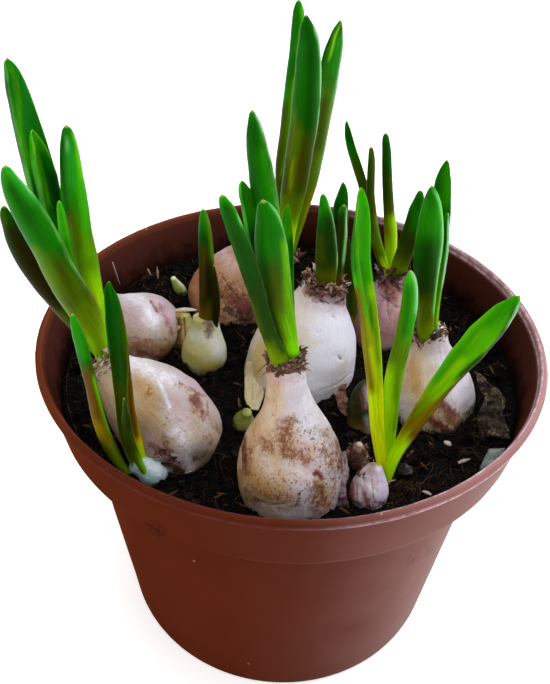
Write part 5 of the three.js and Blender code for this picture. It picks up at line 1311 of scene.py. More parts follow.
# -------------------------------------------------------------------- leaves
class Leaf:
    """A fleshy leaf along its centre line. Its inner face, the channel, looks
    along the leaf's own normal; u runs from -1 at the picture's left margin to 1."""

    def __init__(self, name, rows=66, depth=0.62, cup=0.45, fold=0.0, lip=0.16, sink=5.0, hood=1.0, sheath=0.35, swirl=0.0, seed=0, wave=0.0, strokes=(), tuck=0.0):
        line, n0, n1 = LEAVES[name]
        line = np.array(line, float)
        pts, w = line[:, :3].copy(), line[:, 3]
        # the foot tucks behind the skins that hold it
        pts[0] += VIEW[2] * tuck
        pts[1] += VIEW[2] * tuck * 0.35
        # sink the base into the neck
        d0 = unit(pts[0] - pts[1])
        cs = np.r_[0, np.cumsum(np.linalg.norm(np.diff(pts, axis=0), axis=1))]
        pts = np.concatenate([[pts[0] + d0 * sink], pts])
        self.total = cs[-1] + sink
        L = cs[-1] + sink
        q = np.linspace(0, 1, rows)
        # closer rings near the tip
        q = 1 - (1 - q) ** 1.25
        q = q * (1 - 0.004)
        P, _ = along(pts, q)
        cw = np.r_[0, cs + sink] / L
        # squared widths close the tip roundly
        width = np.maximum(np.sqrt(np.maximum(pchip(cw, np.r_[w[0] * 0.9, w] ** 2, q), 0)), 0.10)
        tip = max(w.max() * 0.75, 1.6) / L
        T = unit(np.gradient(P, axis=0))
        N = unit(n0) * (1 - q[:, None]) + unit(n1) * q[:, None]
        N = unit(N - T * np.sum(N * T, axis=1, keepdims=True))
        if swirl:
            S_ = np.cross(T, N)
            c, s = np.cos(swirl * q)[:, None], np.sin(swirl * q)[:, None]
            N = N * c + S_ * s
        S = np.cross(T, N)
        # across runs towards the picture's right
        sgn = 1.0 if np.mean(S @ VIEW[0]) > 0 else -1.0
        m = 18
        x = np.sin(np.linspace(-math.pi / 2, math.pi / 2, m))
        ax = np.abs(x)
        half = width / 2
        rng = np.random.default_rng(seed + 11)
        D = depth * np.sqrt(np.clip(1 - x**2, 0, 1))
        inn = -cup * np.clip(1 - ax**2, 0, 1) ** 1.15
        lipb = lip * np.exp(-((ax - 0.86) / 0.13) ** 2)
        out = -D
        bend = fold * (1 + sheath * (1 - smooth(q, 0.05, 0.4)) + hood * smooth(q, 1 - 1.6 * tip, 1.0) * 0.9)
        lift = bend[:, None] * (ax[None] ** 1.7)
        pinch = 1 - 0.20 * (bend[:, None] / (1 + bend[:, None])) * ax[None] ** 2
        thin = (0.35 + 0.65 * np.minimum(1, width / np.maximum(width.max() * 0.6, 0.1)))[:, None]
        xs = x[None] * pinch * half[:, None]
        if wave:
            xs = xs + half[:, None] * wave * fbm(np.stack([q * L / 7, q * 0, q * 0 + seed], -1), 2, seed)[:, None]
        yin = (lift + (inn + lipb)[None] * thin) * half[:, None]
        yout = (lift + out[None] * thin) * half[:, None]
        # outer and inner face points, joined at the margins
        ring_x = np.concatenate([xs, xs[:, -2:0:-1]], 1)
        ring_y = np.concatenate([yin, yout[:, -2:0:-1]], 1)
        # as seen from the front, every ring is as wide as the leaf's outline there
        to_eye = unit(EYE - P)
        across = unit(np.cross(T, to_eye))
        px = np.sum(S * across, 1)[:, None] * ring_x + np.sum(N * across, 1)[:, None] * ring_y
        lo, hi = px.min(1), px.max(1)
        k = (width / np.maximum(hi - lo, 1e-6))[:, None]
        ring_x, ring_y = ring_x * k, ring_y * k
        half = half * k[:, 0]
        C0 = P - across * ((lo + hi) / 2 * k[:, 0])[:, None]
        V = C0[:, None] + S[:, None] * ring_x[..., None] + N[:, None] * ring_y[..., None]
        c = ring_x.shape[1]
        uu = np.tile(np.concatenate([x, x[-2:0:-1]]), (rows, 1)) * sgn
        face = np.tile(np.r_[np.ones(m), np.zeros(m - 2)], (rows, 1))
        face[:, [0, m - 1]] = 0.5
        V = V.reshape(-1, 3)
        bumpy = 0.05 * fbm(V / 2.2, 2, seed + 4) + 0.03 * fbm(V * [0.9, 0.9, 0.25], 3, seed + 8)
        C = np.repeat(C0, c, 0)
        out_dir = unit(V - C + 1e-9)
        V = V + out_dir * bumpy[:, None]
        end = len(V)
        tip_pt = P[-1] + T[-1] * max(0.25, width[-1] * 0.5) + N[-1] * float((lift[-1].max() * half[-1]) * 0.5)
        V = np.concatenate([V, [C0[0] - T[0] * 0.1], [tip_pt]])
        quads = grid_faces(rows, c)
        tris = np.concatenate([fan(end, np.arange(c), True), fan(end + 1, np.arange(c) + (rows - 1) * c, False)])
        self.V, self.quads, self.tris = V, quads, tris
        sfrac = np.clip((q * L - sink) / (L - sink), -0.2, 1)
        s = np.r_[np.repeat(sfrac, c), sfrac[0], 1.0]
        u = np.r_[uu.ravel(), 0, 0]
        um = np.r_[(uu * half[:, None]).ravel(), 0, 0]
        self.attrs = {"s": s, "u": u, "um": um, "sm": np.r_[np.repeat(q * L, c), 0, L], "inn": np.r_[face.ravel(), 0.5, 0.5],
                      "tipd": np.r_[np.repeat((1 - q) * L, c), L, 0.0]}
        # the strokes paint colour, painted shade and painted highlights onto the leaf, placed by picture points
        paint, cover = np.zeros((len(V), 3)), np.zeros(len(V))
        for tone, pts_, r_, level, *crisp in sorted(strokes, key=lambda k: (-k[2], k[0])):
            w_ = stroke_weight(V, pts_, r_, bool(crisp)) * level
            paint = paint * (1 - w_)[:, None] + w_[:, None] * np.sqrt(np.array(TONES[tone][:3]))
            cover = cover * (1 - w_) + w_
        paint = (paint / np.maximum(cover, 1e-3)[:, None]) ** 2
        self.attrs.update(pr=paint[:, 0], pg=paint[:, 1], pb=paint[:, 2], cover=cover)
        self.P, self.T, self.N, self.S, self.q, self.half, self.name, self.sgn, self.L = P, T, N, S, q, half, name, sgn, L


def leaf_material(name, look, seed=0.0):
    """look: tones by height along the leaf; painted strokes of colour, light and shade lie over them."""
    m = Mat(name, rough=0.40, spec=0.055)
    m.set("Specular Tint", rgb(225, 255, 190))
    mm = m.mm()
    s, u, inn = m.attr("s"), m.attr("u"), m.attr("inn")
    um, sm = m.attr("um"), m.attr("sm")
    veins = m.noise(m.xyz(m.mul(um, 2.0), m.mul(sm, 0.08), seed), 1.0, 3, 0.6)
    veins2 = m.noise(m.xyz(m.mul(um, 5.5), m.mul(sm, 0.14), seed + 7), 1.0, 2, 0.5)
    mott = m.noise(m.vadd(mm, (seed, seed * 2, 0)), 0.5, 4, 0.6)
    fine = m.noise(mm, 3.2, 3, 0.6)
    streak = m.add(m.sub(veins, 0.5), m.mul(m.sub(mott, 0.5), 0.5))
    col = m.ramp(m.add(s, m.mul(streak, 0.09)), look)
    cover = m.attr("cover")
    cover = m.add(cover, m.mul(m.mul(cover, m.sub(1.0, cover)), m.mul(streak, 2.6)))
    col = m.mix(m.fit(cover, 0.0, 1.0, soft=False), col, m.xyz(m.attr("pr"), m.attr("pg"), m.attr("pb")))
    # painted light: the sheltered lower part is painted brighter, as if light shone through it
    glow = m.fit(s, 0.40, 0.02, 0.0, 1.0)
    col = m.vmul(col, m.xyz(m.fit(glow, 0.0, 1.0, 1.04, 1.95, soft=False), m.fit(glow, 0.0, 1.0, 1.24, 1.85, soft=False), 0.7))
    # veins run the leaf's length, light and dark
    light = m.vmul(col, (1.45, 1.28, 1.2))
    dim = m.vmul(col, (0.55, 0.62, 0.6))
    col = m.mix(m.mul(m.fit(veins2, 0.52, 0.72), 0.45), col, light)
    col = m.mix(m.mul(m.fit(veins, 0.54, 0.74), 0.40), col, light)
    col = m.mix(m.mul(m.fit(veins2, 0.48, 0.30), 0.50), col, dim)
    col = m.mix(m.mul(m.fit(mott, 0.54, 0.72), 0.25), col, light)
    # painted light: the margins are painted paler, as where light shines through the thin edges
    edge = m.fit(m.math("ABSOLUTE", u), 0.82, 0.97)
    col = m.mix(m.mul(edge, m.fit(mott, 0.3, 0.7, 0.04, 0.24)), col, m.mix(0.4, light, rgb(150, 200, 90)))
    point = m.fit(m.attr("tipd"), 0.42, 0.1)
    col = m.mix(m.mul(point, 0.40), col, rgb(196, 206, 110))
    m.set("Base Color", col)
    m.set("Roughness", m.fit(fine, 0.3, 0.7, 0.34, 0.48))
    m.bump(m.add(m.mul(veins, 0.8), m.add(m.mul(veins2, 0.45), m.mul(fine, 0.25))), 0.5, 0.10)
    m.flesh(0.10, 0.8, (0.45, 1.0, 0.1))
    return m.m
# --------------------------------------------------------------- the bulbs
FRESH_SKIN = skin_material("bulb_skin_fresh", rgb(206, 212, 196), rgb(186, 188, 130), rgb(158, 158, 74), rgb(140, 132, 70), rough=0.30, fibres=0.2, blot=0.12)
ICE_SKIN = skin_material("bulb_skin_wet", rgb(172, 206, 210), rgb(152, 184, 180), rgb(124, 146, 124), rgb(86, 88, 76), rough=0.22, fibres=0.3, blot=0.3)
BACK_SKIN = skin_material("bulb_skin_ruddy", rgb(180, 146, 124), rgb(168, 116, 78), rgb(132, 76, 44), rgb(84, 44, 30), blot=1.4)
STRIPED_SKIN = skin_material("bulb_skin_striped", rgb(218, 202, 222), rgb(182, 152, 160), rgb(128, 90, 84), rgb(84, 48, 42), blot=1.1)
PINK_SKIN = skin_material("bulb_skin_pink", rgb(176, 140, 140), rgb(146, 98, 92), rgb(112, 66, 56), rgb(72, 36, 32), blot=1.4)
OLIVE_SKIN = skin_material("bulb_skin_olive", rgb(48, 60, 14), rgb(40, 46, 7), rgb(34, 34, 6), rgb(34, 26, 8), rough=0.42, fibres=0.2, blot=0.4, spec=0.08)
TINY_SKIN = skin_material("bulb_skin_tiny", rgb(150, 160, 84), rgb(120, 126, 46), rgb(92, 88, 30), rgb(60, 46, 24), rough=0.30, fibres=0.2, blot=0.3)
YELLOW_SKIN = skin_material("bulb_skin_ochre", rgb(176, 168, 92), rgb(150, 130, 48), rgb(112, 84, 26), rgb(58, 34, 16), blot=1.3)
DARK_SKIN = skin_material("bulb_skin_dark", rgb(150, 122, 120), rgb(106, 74, 68), rgb(68, 42, 36), rgb(40, 22, 18), blot=1.2)
SHOOT_SKIN = skin_material("sprout_skin", rgb(214, 222, 178), rgb(190, 200, 110), rgb(150, 164, 60), rgb(130, 110, 70), rough=0.3, fibres=0.2, blot=0.2)

# painted light among the bulbs' marks: white and lilac strokes are partly painted highlights and sheen, the white
# strokes low on the front and centre bulbs paint light onto parts in shade, and the tan strokes on the left sides
# partly paint the warmer shaded side
BULB_LOOK = {
    "bulb_front": (BULB_SKIN, dict(seed=3, lump=0.42, rib=0.13), dict(rows=126, cols=190, top=1.07), [
        ("base", "dirt", -0.8), ("stain", [(264, 369), (286, 370), (308, 368)], 3.4, 1.6), ("red", [(266, 370), (286, 371), (306, 369)], 3.4, 0.8), ("white", [(304, 384), (308, 402), (306, 420)], 13, 1.0), ("white", [(318, 398), (328, 416)], 6, 1.0), ("white", [(290, 466), (303, 478), (308, 492)], 9, 0.75),
        ("white", [(262, 452), (270, 470)], 7, 0.35), ("tan", [(262, 402), (254, 425)], 14, 1.0), ("tan", [(276, 384), (274, 398)], 9, 0.95),
        ("lilac", [(270, 377), (286, 380), (302, 378)], 5, 0.9), ("lilac", [(316, 400), (322, 410)], 3.5, 0.7),
        ("stain", [(287, 428), (282, 440), (288, 452)], 11, 1.0), ("stain", [(292, 450), (304, 458)], 8, 0.95), ("stain", [(248, 450), (246, 472)], 6, 0.9),
        ("stain", [(256, 488), (270, 496), (282, 498)], 8, 0.6), ("white", [(298, 486), (306, 500)], 9, 0.8), ("white", [(262, 506), (285, 508)], 7, 0.5), ("stain", [(327, 436), (334, 458), (334, 480)], 9, 0.6), ("red", [(336, 440), (338, 468)], 3.0, 0.6), ("lilac", [(300, 446), (312, 468)], 9, 0.7), ("stain", [(320, 488), (326, 504)], 6, 1.0), ("amber", [(316, 484), (321, 500)], 6, 1.0), ("root", [(297, 504), (300, 492)], 2.5, 0.7), ("line", [(303, 470), (306, 484), (312, 498)], 1.0, 0.5), ("line", [(246, 436), (243, 452), (246, 470)], 1.2, 0.7), ("line", [(256, 500), (270, 505), (284, 504)], 1.2, 0.6), ("white", [(310, 476), (312, 496)], 3.0, 0.9), ("wine", [(315, 474)], 3.2, 1.0), ("wine", [(320, 467)], 2.2, 0.8), ("wine", [(322, 481)], 1.8, 0.6), ("wine", [(244, 438), (246, 456)], 2.6, 0.42), ("wine", [(280, 471)], 2.4, 0.55), ("stain", [(314, 488), (318, 500), (316, 508)], 8, 0.9), ("stain", [(334, 470), (333, 492)], 7, 0.6), ("stain", [(338, 445), (341, 470)], 5, 0.9),
        ("amber", [(250, 478), (268, 496)], 17, 1.0), ("stain", [(248, 490), (256, 500)], 7, 0.8), ("amber", [(322, 488), (326, 504)], 6, 1.0), ("amber", [(270, 470), (300, 476)], 10, 0.35), ("tan", [(262, 470), (300, 470)], 22, 0.45), ("amber", [(246, 445), (250, 470)], 9, 0.6), ("stain", [(262, 440), (270, 448)], 7, 0.8), ("stain", [(326, 450), (332, 462)], 8, 0.7), ("lilac", [(300, 500), (322, 512)], 9, 0.8), ("amber", [(318, 484), (318, 500)], 8, 0.8), ("amber", [(284, 434), (290, 446)], 9, 0.5),
        ("red", [(244, 438), (245, 462)], 3.2, 0.95), ("red", [(317, 472), (322, 478)], 3.6, 1.0), ("red", [(280, 470), (279, 474)], 2.6, 0.6), ("red", [(341, 450), (342, 472)], 2.0, 0.8),
        ("line", [(242, 440), (243, 470)], 1.6, 0.8), 
        ("pore", [(304, 436), (320, 450), (332, 470), (328, 492)], 18, 0.95), ("pore", [(280, 405), (285, 412)], 5, 0.6), ("pore", [(262, 478), (300, 492)], 20, 0.8),
        ("root", [(292, 508), (300, 504)], 4, 0.5), ("root", [(314, 503), (330, 508)], 5, 0.5), ("white", [(280, 513), (290, 515)], 4, 1.0)]),
    "bulb_center": (PALE_SKIN, dict(seed=14, lump=0.35, rib=0.10), dict(rows=110, cols=180), [
        ("base", "tan", -0.12), ("base", "dirt", -0.9), ("stain", [(312, 284), (330, 286), (346, 288)], 7, 1.5), ("red", [(310, 292), (328, 294), (346, 296)], 8, 1.0), ("red", [(314, 300), (330, 301), (342, 303)], 4.0, 0.75), ("lilac", [(312, 305), (345, 308)], 6, 0.9), ("white", [(292, 384), (318, 386), (346, 376)], 16, 1.0), ("line", [(352, 372), (338, 384), (320, 391)], 1.0, 0.45), ("white", [(325, 320), (335, 345), (328, 375)], 24, 0.85), ("white", [(353, 380), (336, 392), (318, 399)], 5, 1.0), ("white", [(290, 390), (310, 398)], 9, 0.6), ("tan", [(262, 350), (256, 375)], 14, 1.15), ("amber", [(256, 372), (264, 384)], 8, 0.35),
        ("tan", [(340, 372), (334, 386)], 10, 0.75), ("lilac", [(310, 303), (328, 303), (346, 308)], 7, 1.0), ("red", [(314, 299), (330, 300), (345, 303)], 5, 0.75),
        ("line", [(315, 331), (318, 333)], 1.6, 0.55), ("line", [(339, 357), (341, 359)], 1.8, 0.9), ("line", [(332, 316), (333, 317)], 1.1, 0.8), ("line", [(266, 340), (250, 380)], 1.3, 0.35),
        ("stain", [(250, 396), (262, 404)], 6, 1.1), ("red", [(252, 398), (262, 402)], 3, 0.7), ("pore", [(300, 345), (330, 335)], 20, 0.12)]),
    "bulb_left": (LEFT_SKIN, dict(seed=27, lump=0.6, rib=0.11), dict(rows=110, cols=190), [
        ("white", [(134, 362), (152, 372), (170, 380)], 9, 0.75), ("white", [(157, 376), (163, 390), (170, 408)], 2.4, 0.85), ("white", [(178, 432), (186, 446), (180, 456)], 10, 0.75),
        ("tan", [(140, 384), (150, 400), (150, 425)], 17, 1.0), ("amber", [(147, 389), (149, 393)], 6.5, 0.8), ("amber", [(140, 400), (158, 425)], 14, 0.3),
        ("stain", [(195, 399), (200, 412)], 7.5, 1.15), ("red", [(191, 400), (196, 394), (204, 396)], 2.4, 0.9), ("red", [(207, 402), (208, 412), (203, 420)], 2.2, 0.8), ("stain", [(200, 406), (200, 409)], 3.0, -0.55), ("stain", [(148, 391), (149, 393)], 5, 0.7), ("stain", [(178, 384), (188, 388)], 3.5, 0.5), ("red", [(197, 400), (203, 414)], 6, 0.75),
        
        ("lilac", [(188, 374), (206, 384)], 10, 0.7),
        ("lilac", [(170, 400), (182, 420)], 9, 0.5), ("stain", [(214, 422), (222, 430)], 5, 0.6), ("red", [(214, 428), (222, 434)], 3.0, 0.6), ("stain", [(206, 438), (212, 443)], 5, 0.7), ("base", "dirt", -0.6),
        ("pore", [(150, 380), (160, 420)], 20, 0.3), ("pore", [(210, 390), (216, 410)], 10, 0.4), ("red", [(132, 352), (146, 358)], 4, 0.5),
        ("root", [(164, 452), (176, 462)], 7, 0.7), ("red", [(152, 446), (166, 456), (178, 466)], 7, 0.75), ("lilac", [(150, 440), (176, 462)], 10, 0.7), ("root", [(168, 464), (186, 474)], 6, 0.9), ("root", [(196, 458), (206, 452)], 5, 0.7), ("white", [(184, 452), (190, 466)], 5, 0.8), ("root", [(150, 447), (158, 454)], 4, 0.6), ("stain", [(164, 440), (168, 450)], 6, 0.8)]),
    "bulb_left_back": (LEFT_SKIN, dict(seed=38, lump=0.5, rib=0.16), dict(rows=100, cols=170), [
        ("base", "tan", 0.06), ("white", [(148, 309), (152, 320)], 8, 1.0), ("white", [(130, 296), (140, 300)], 8, 0.7), ("lilac", [(130, 315), (140, 325)], 12, 0.75),
        ("red", [(151, 302), (157, 311)], 2.6, 0.9), ("red", [(160, 308), (168, 322), (171, 332)], 6.5, 0.62), ("lilac", [(158, 302), (170, 320)], 10, 0.8), ("lilac", [(164, 314), (171, 326)], 5, 1.0), ("red", [(166, 318), (172, 330)], 3.0, 0.7),
        ("red", [(130, 337), (150, 340), (168, 340)], 3.0, 0.55), ("tan", [(130, 345), (150, 348), (170, 350)], 9, 1.2), ("stain", [(130, 344), (150, 347), (172, 350)], 10, 0.75), ("base", "dirt", -0.5), 
        ("red", [(140, 352), (165, 358)], 5, 0.9), ("pore", [(130, 310), (150, 330)], 16, 0.25)]),
    "bulb_back": (BACK_SKIN, dict(seed=49, lump=0.55, rib=0.20), dict(rows=90, cols=170), [
        ("white", [(222, 252), (230, 264)], 9, 0.35), ("stain", [(230, 296), (246, 306)], 14, 1.2), ("red", [(234, 300), (248, 312)], 9, 0.75), ("line", [(222, 276), (232, 290), (240, 300)], 1.8, 0.8),
        ("line", [(238, 282), (244, 296)], 1.5, 0.7), ("pore", [(230, 280), (240, 295)], 16, 0.5), ("root", [(228, 310), (246, 318)], 8, 0.9), ("line", [(218, 290), (226, 304)], 1.6, 0.7)]),
    "bulb_right": (BULB_SKIN, dict(seed=52, lump=0.38, rib=0.12), dict(rows=106, cols=170), [
        ("lilac", [(430, 344), (446, 352)], 8, 0.85), ("white", [(438, 358), (452, 378), (462, 395)], 11, 0.8), ("white", [(402, 404), (408, 426)], 8, 0.9), ("amber", [(415, 377), (417, 386)], 6.5, 0.85),
        ("tan", [(412, 366), (420, 395)], 16, 0.9), ("red", [(444, 404), (455, 414)], 6, 0.9), ("stain", [(440, 402), (452, 420)], 9, 1.1), ("red", [(432, 420), (446, 430)], 5, 0.9),
        ("stain", [(430, 418), (446, 434)], 9, 1.2), ("amber", [(452, 424), (462, 420)], 11, 0.8), 
        ("pore", [(412, 372), (425, 400)], 16, 0.35), ("root", [(428, 438), (440, 444)], 7, 0.8)]),
    "bulb_right_back": (PINK_SKIN, dict(seed=63, lump=0.45, rib=0.16), dict(rows=64, cols=120), [
        ("stain", [(392, 300), (394, 318)], 12, 0.3), ("red", [(384, 284), (392, 296)], 6, 0.9), ("line", [(381, 295), (390, 302), (397, 307)], 1.5, 0.9), ("lilac", [(376, 284), (378, 300)], 5, 0.9), ("lilac", [(384, 296), (388, 318)], 8, 0.7), ("pore", [(388, 310), (392, 330)], 12, 0.2), ("line", [(386, 290), (389, 320)], 1.6, 0.7)]),
    "bulb_small_white": (FRESH_SKIN, dict(seed=71, lump=0.16, rib=0.02, swell=1.04, shift=(-0.6, 0, 1.1)), dict(rows=60, cols=100), [
        ("base", "dirt", -0.3), ("white", [(214, 338), (219, 356)], 6, 0.55), ("white", [(196, 335), (212, 342)], 8, 0.6), ("tan", [(190, 358), (206, 368), (218, 366)], 8, 1.0), ("tan", [(204, 330), (212, 330)], 8, 0.4), ("line", [(208, 312), (209, 334)], 8, 0.75), ("amber", [(206, 324), (209, 340)], 8, 0.5), ("amber", [(190, 352), (210, 364)], 12, 0.4)]),
    # the thin amber line along the green bulb's top edge is a painted highlight
    "bulb_green": (OLIVE_SKIN, dict(seed=75, lump=0.22, rib=0.06), dict(rows=60, cols=100), [
        ("base", "dirt", -0.6), ("lilac", [(367, 388), (367, 404)], 3.6, 0.85), ("white", [(368, 392), (368, 400)], 1.8, 0.4), ("red", [(361, 396), (363, 409)], 2.6, 0.75),
        ("amber", [(350, 384), (356, 379), (364, 376)], 1.6, 0.45), ("amber", [(354, 428), (366, 432)], 7, 0.30), ("white", [(367, 418), (369, 430)], 3.0, 0.4)]),
    "bulblet_striped": (STRIPED_SKIN, dict(seed=81, lump=0.45, rib=0.24), dict(rows=64, cols=110), [
        ("white", [(362, 479), (370, 487), (376, 494)], 4.0, 1.0), ("white", [(352, 466), (362, 468)], 4.0, 0.75), ("white", [(366, 476), (378, 486)], 3.5, 0.8), ("lilac", [(359, 490), (359, 505)], 3, 1.0),
        ("white", [(359, 488), (360, 504)], 1.8, 0.8), ("stain", [(350, 482), (350, 508)], 4, 1.3), ("red", [(349, 480), (349, 505)], 2.5, 0.8), ("red", [(365, 494), (368, 506)], 3.2, 0.9),
        ("line", [(357, 486), (357, 508)], 1.2, 0.7), ("root", [(370, 500), (378, 504)], 4, 0.8), ("red", [(372, 480), (374, 500)], 1.6, 0.7), ("amber", [(354, 475), (357, 471)], 2.5, 0.5)]),
    "bulblet_brown": (DARK_SKIN, dict(seed=85, lump=0.4, rib=0.3), dict(rows=48, cols=84), [("base", "stain", 0.3)]),
    "bulb_front_left": (ICE_SKIN, dict(seed=87, lump=0.30, rib=0.12, swell=1.36, shift=(-0.5, -0.9, 1.3)), dict(rows=48, cols=76), [("base", "tan", -0.3), ("base", "dirt", -1.2), ("white", [(146, 464), (160, 470)], 8, 0.8)]),
    "bulblet_tiny": (TINY_SKIN, dict(seed=91, lump=0.12, rib=0.10), dict(rows=44, cols=70), [("base", "tan", -0.2)]),
    "bulblet_scaly": (YELLOW_SKIN, dict(seed=95, lump=0.4, rib=0.30, swell=1.25, shift=(-0.6, 0, 0)), dict(rows=54, cols=90), [
        ("line", [(179, 318), (177, 345)], 1.5, 1.0), ("line", [(184, 318), (186, 344)], 1.3, 0.9), ("red", [(180, 325), (180, 345)], 2.5, 0.8), ("stain", [(190, 330), (190, 345)], 4, 0.9)]),
    "sprout_pale": (SHOOT_SKIN, dict(seed=99, lump=0.1, rib=0.06), dict(rows=36, cols=52), []),
}
BULB = {}
BULB_SLOT = {"bulb_small_white": "bulb_fresh", "bulb_green": "bulb_fresh", "bulb_front_left": "bulb_fresh", "bulblet_tiny": "bulb_fresh",
             "sprout_pale": "bulb_fresh"}
for name, (mat, shape, size, paint) in BULB_LOOK.items():
    b = BULB[name] = Bulb(name, **shape)
    if name == "bulb_front":
        b.bumps = [(b.pick(322, 445)[0], 2.8, 0.5), (b.pick(286, 440)[0], 2.4, 0.35), (b.pick(300, 484)[0], 3.0, 0.45), (b.pick(262, 492)[0], 3.0, 0.3), (b.pick(272, 462)[0], 2.4, -0.3),
                   (b.pick(334, 478)[0], 2.2, -0.5)]
    if name == "bulb_left":
        b.bumps = [(b.pick(163, 392)[0], 1.6, 0.35), (b.pick(199, 407)[0], 2.4, -0.35), (b.pick(190, 396)[0], 1.2, 0.3), (b.pick(208, 412)[0], 1.3, 0.3), (b.pick(196, 379)[0], 1.6, 0.3),
                   (b.pick(218, 452)[0], 3.6, -2.6), (b.pick(200, 462)[0], 3.0, -1.2), (b.pick(182, 440)[0], 3.0, 0.5)]
    if name == "bulb_left_back":
        b.bumps = [(b.pick(161, 311)[0], 2.0, -0.5), (b.pick(145, 340)[0], 2.4, 0.5), (b.pick(168, 320)[0], 1.8, 0.4)]
    if name == "bulb_right":
        b.bumps = [(b.pick(470, 400)[0], 5.0, -1.4), (b.pick(472, 420)[0], 4.0, -1.4)]
    obj = b.mesh(name + "_skin", mat, paint=paint, **size)
    piece(obj, BULB_SLOT.get(name, "bulb_skin"), name)


def frazzle(batch, bulb, rng, t, count, high=(0.2, 2.2), length=(1.0, 3.2), width=(0.4, 1.5), lean=0.6, tone=(0.1, 0.9), span=(-math.pi, math.pi), rough=1.0, out=(0.75, 1.08)):
    """Shaggy scraps of old skin, crumpled around the neck."""
    r = float(bulb.radius(t))
    ring = bulb.B + bulb.axis * t * bulb.len
    for k in range(count):
        a = span[0] + (span[1] - span[0]) * (k + rng.uniform(0, 1)) / count
        d = math.cos(a) * bulb.x + math.sin(a) * bulb.y
        side = np.cross(bulb.axis, d)
        p = ring + d * (r * rng.uniform(*out) + 0.15) + bulb.axis * rng.uniform(*high)
        v = unit(d * rng.uniform(0.0, lean) + bulb.axis * rng.uniform(-0.25, 1.0) + side * rng.normal() * 0.75)
        n, L = 8, rng.uniform(*length)
        turn = rng.normal(size=3) * 1.3 * rough
        path = [p - d * 0.3]
        for j in range(n - 1):
            v = unit(v + turn * (0.9 / n) + rng.normal(size=3) * 0.22 * rough)
            path.append(path[-1] + v * L / (n - 1))
        path = np.array(path)
        s = np.linspace(0, 1, n)
        w = rng.uniform(*width) * (0.35 + 0.65 * np.sin(np.clip(s * 1.15 + 0.2, 0, 1) * math.pi)) * (1 + 0.3 * rng.normal(size=n))
        w = np.maximum(w, 0.10)
        w[-1] = 0.08
        up = unit(np.cross(path[-1] - path[0], side + 0.3 * rng.normal(size=3)) + 0.5 * d)
        V, q, ss, uu = thin_strip(path, w, np.tile(up, (n, 1)), 0.10, 4, cup=rng.uniform(-0.5, 0.6), rng=rng, ragged=0.35)
        batch.add(V, q, s=ss, u=uu, tone=rng.uniform(*tone), seed=rng.uniform(0, 50))


def wisps(batch, start, ends, r=0.13, tone=0.0, rng=None):
    """Thin dry threads from a neck to picture points (u, v, height)."""
    for u, v, z in ends:
        e = at_z(u, v, z)
        s = np.linspace(0, 1, 8)[:, None]
        line = start * (1 - s) + e * s + (0.35 * np.sin(s * math.pi)) * rng.normal(size=3)
        V, q, t = tube(line, np.linspace(r, r * 0.35, 8), 5)
        batch.add(V, q, t, s=np.full(len(V), 0.5), u=np.zeros(len(V)), tone=tone, seed=float(u))


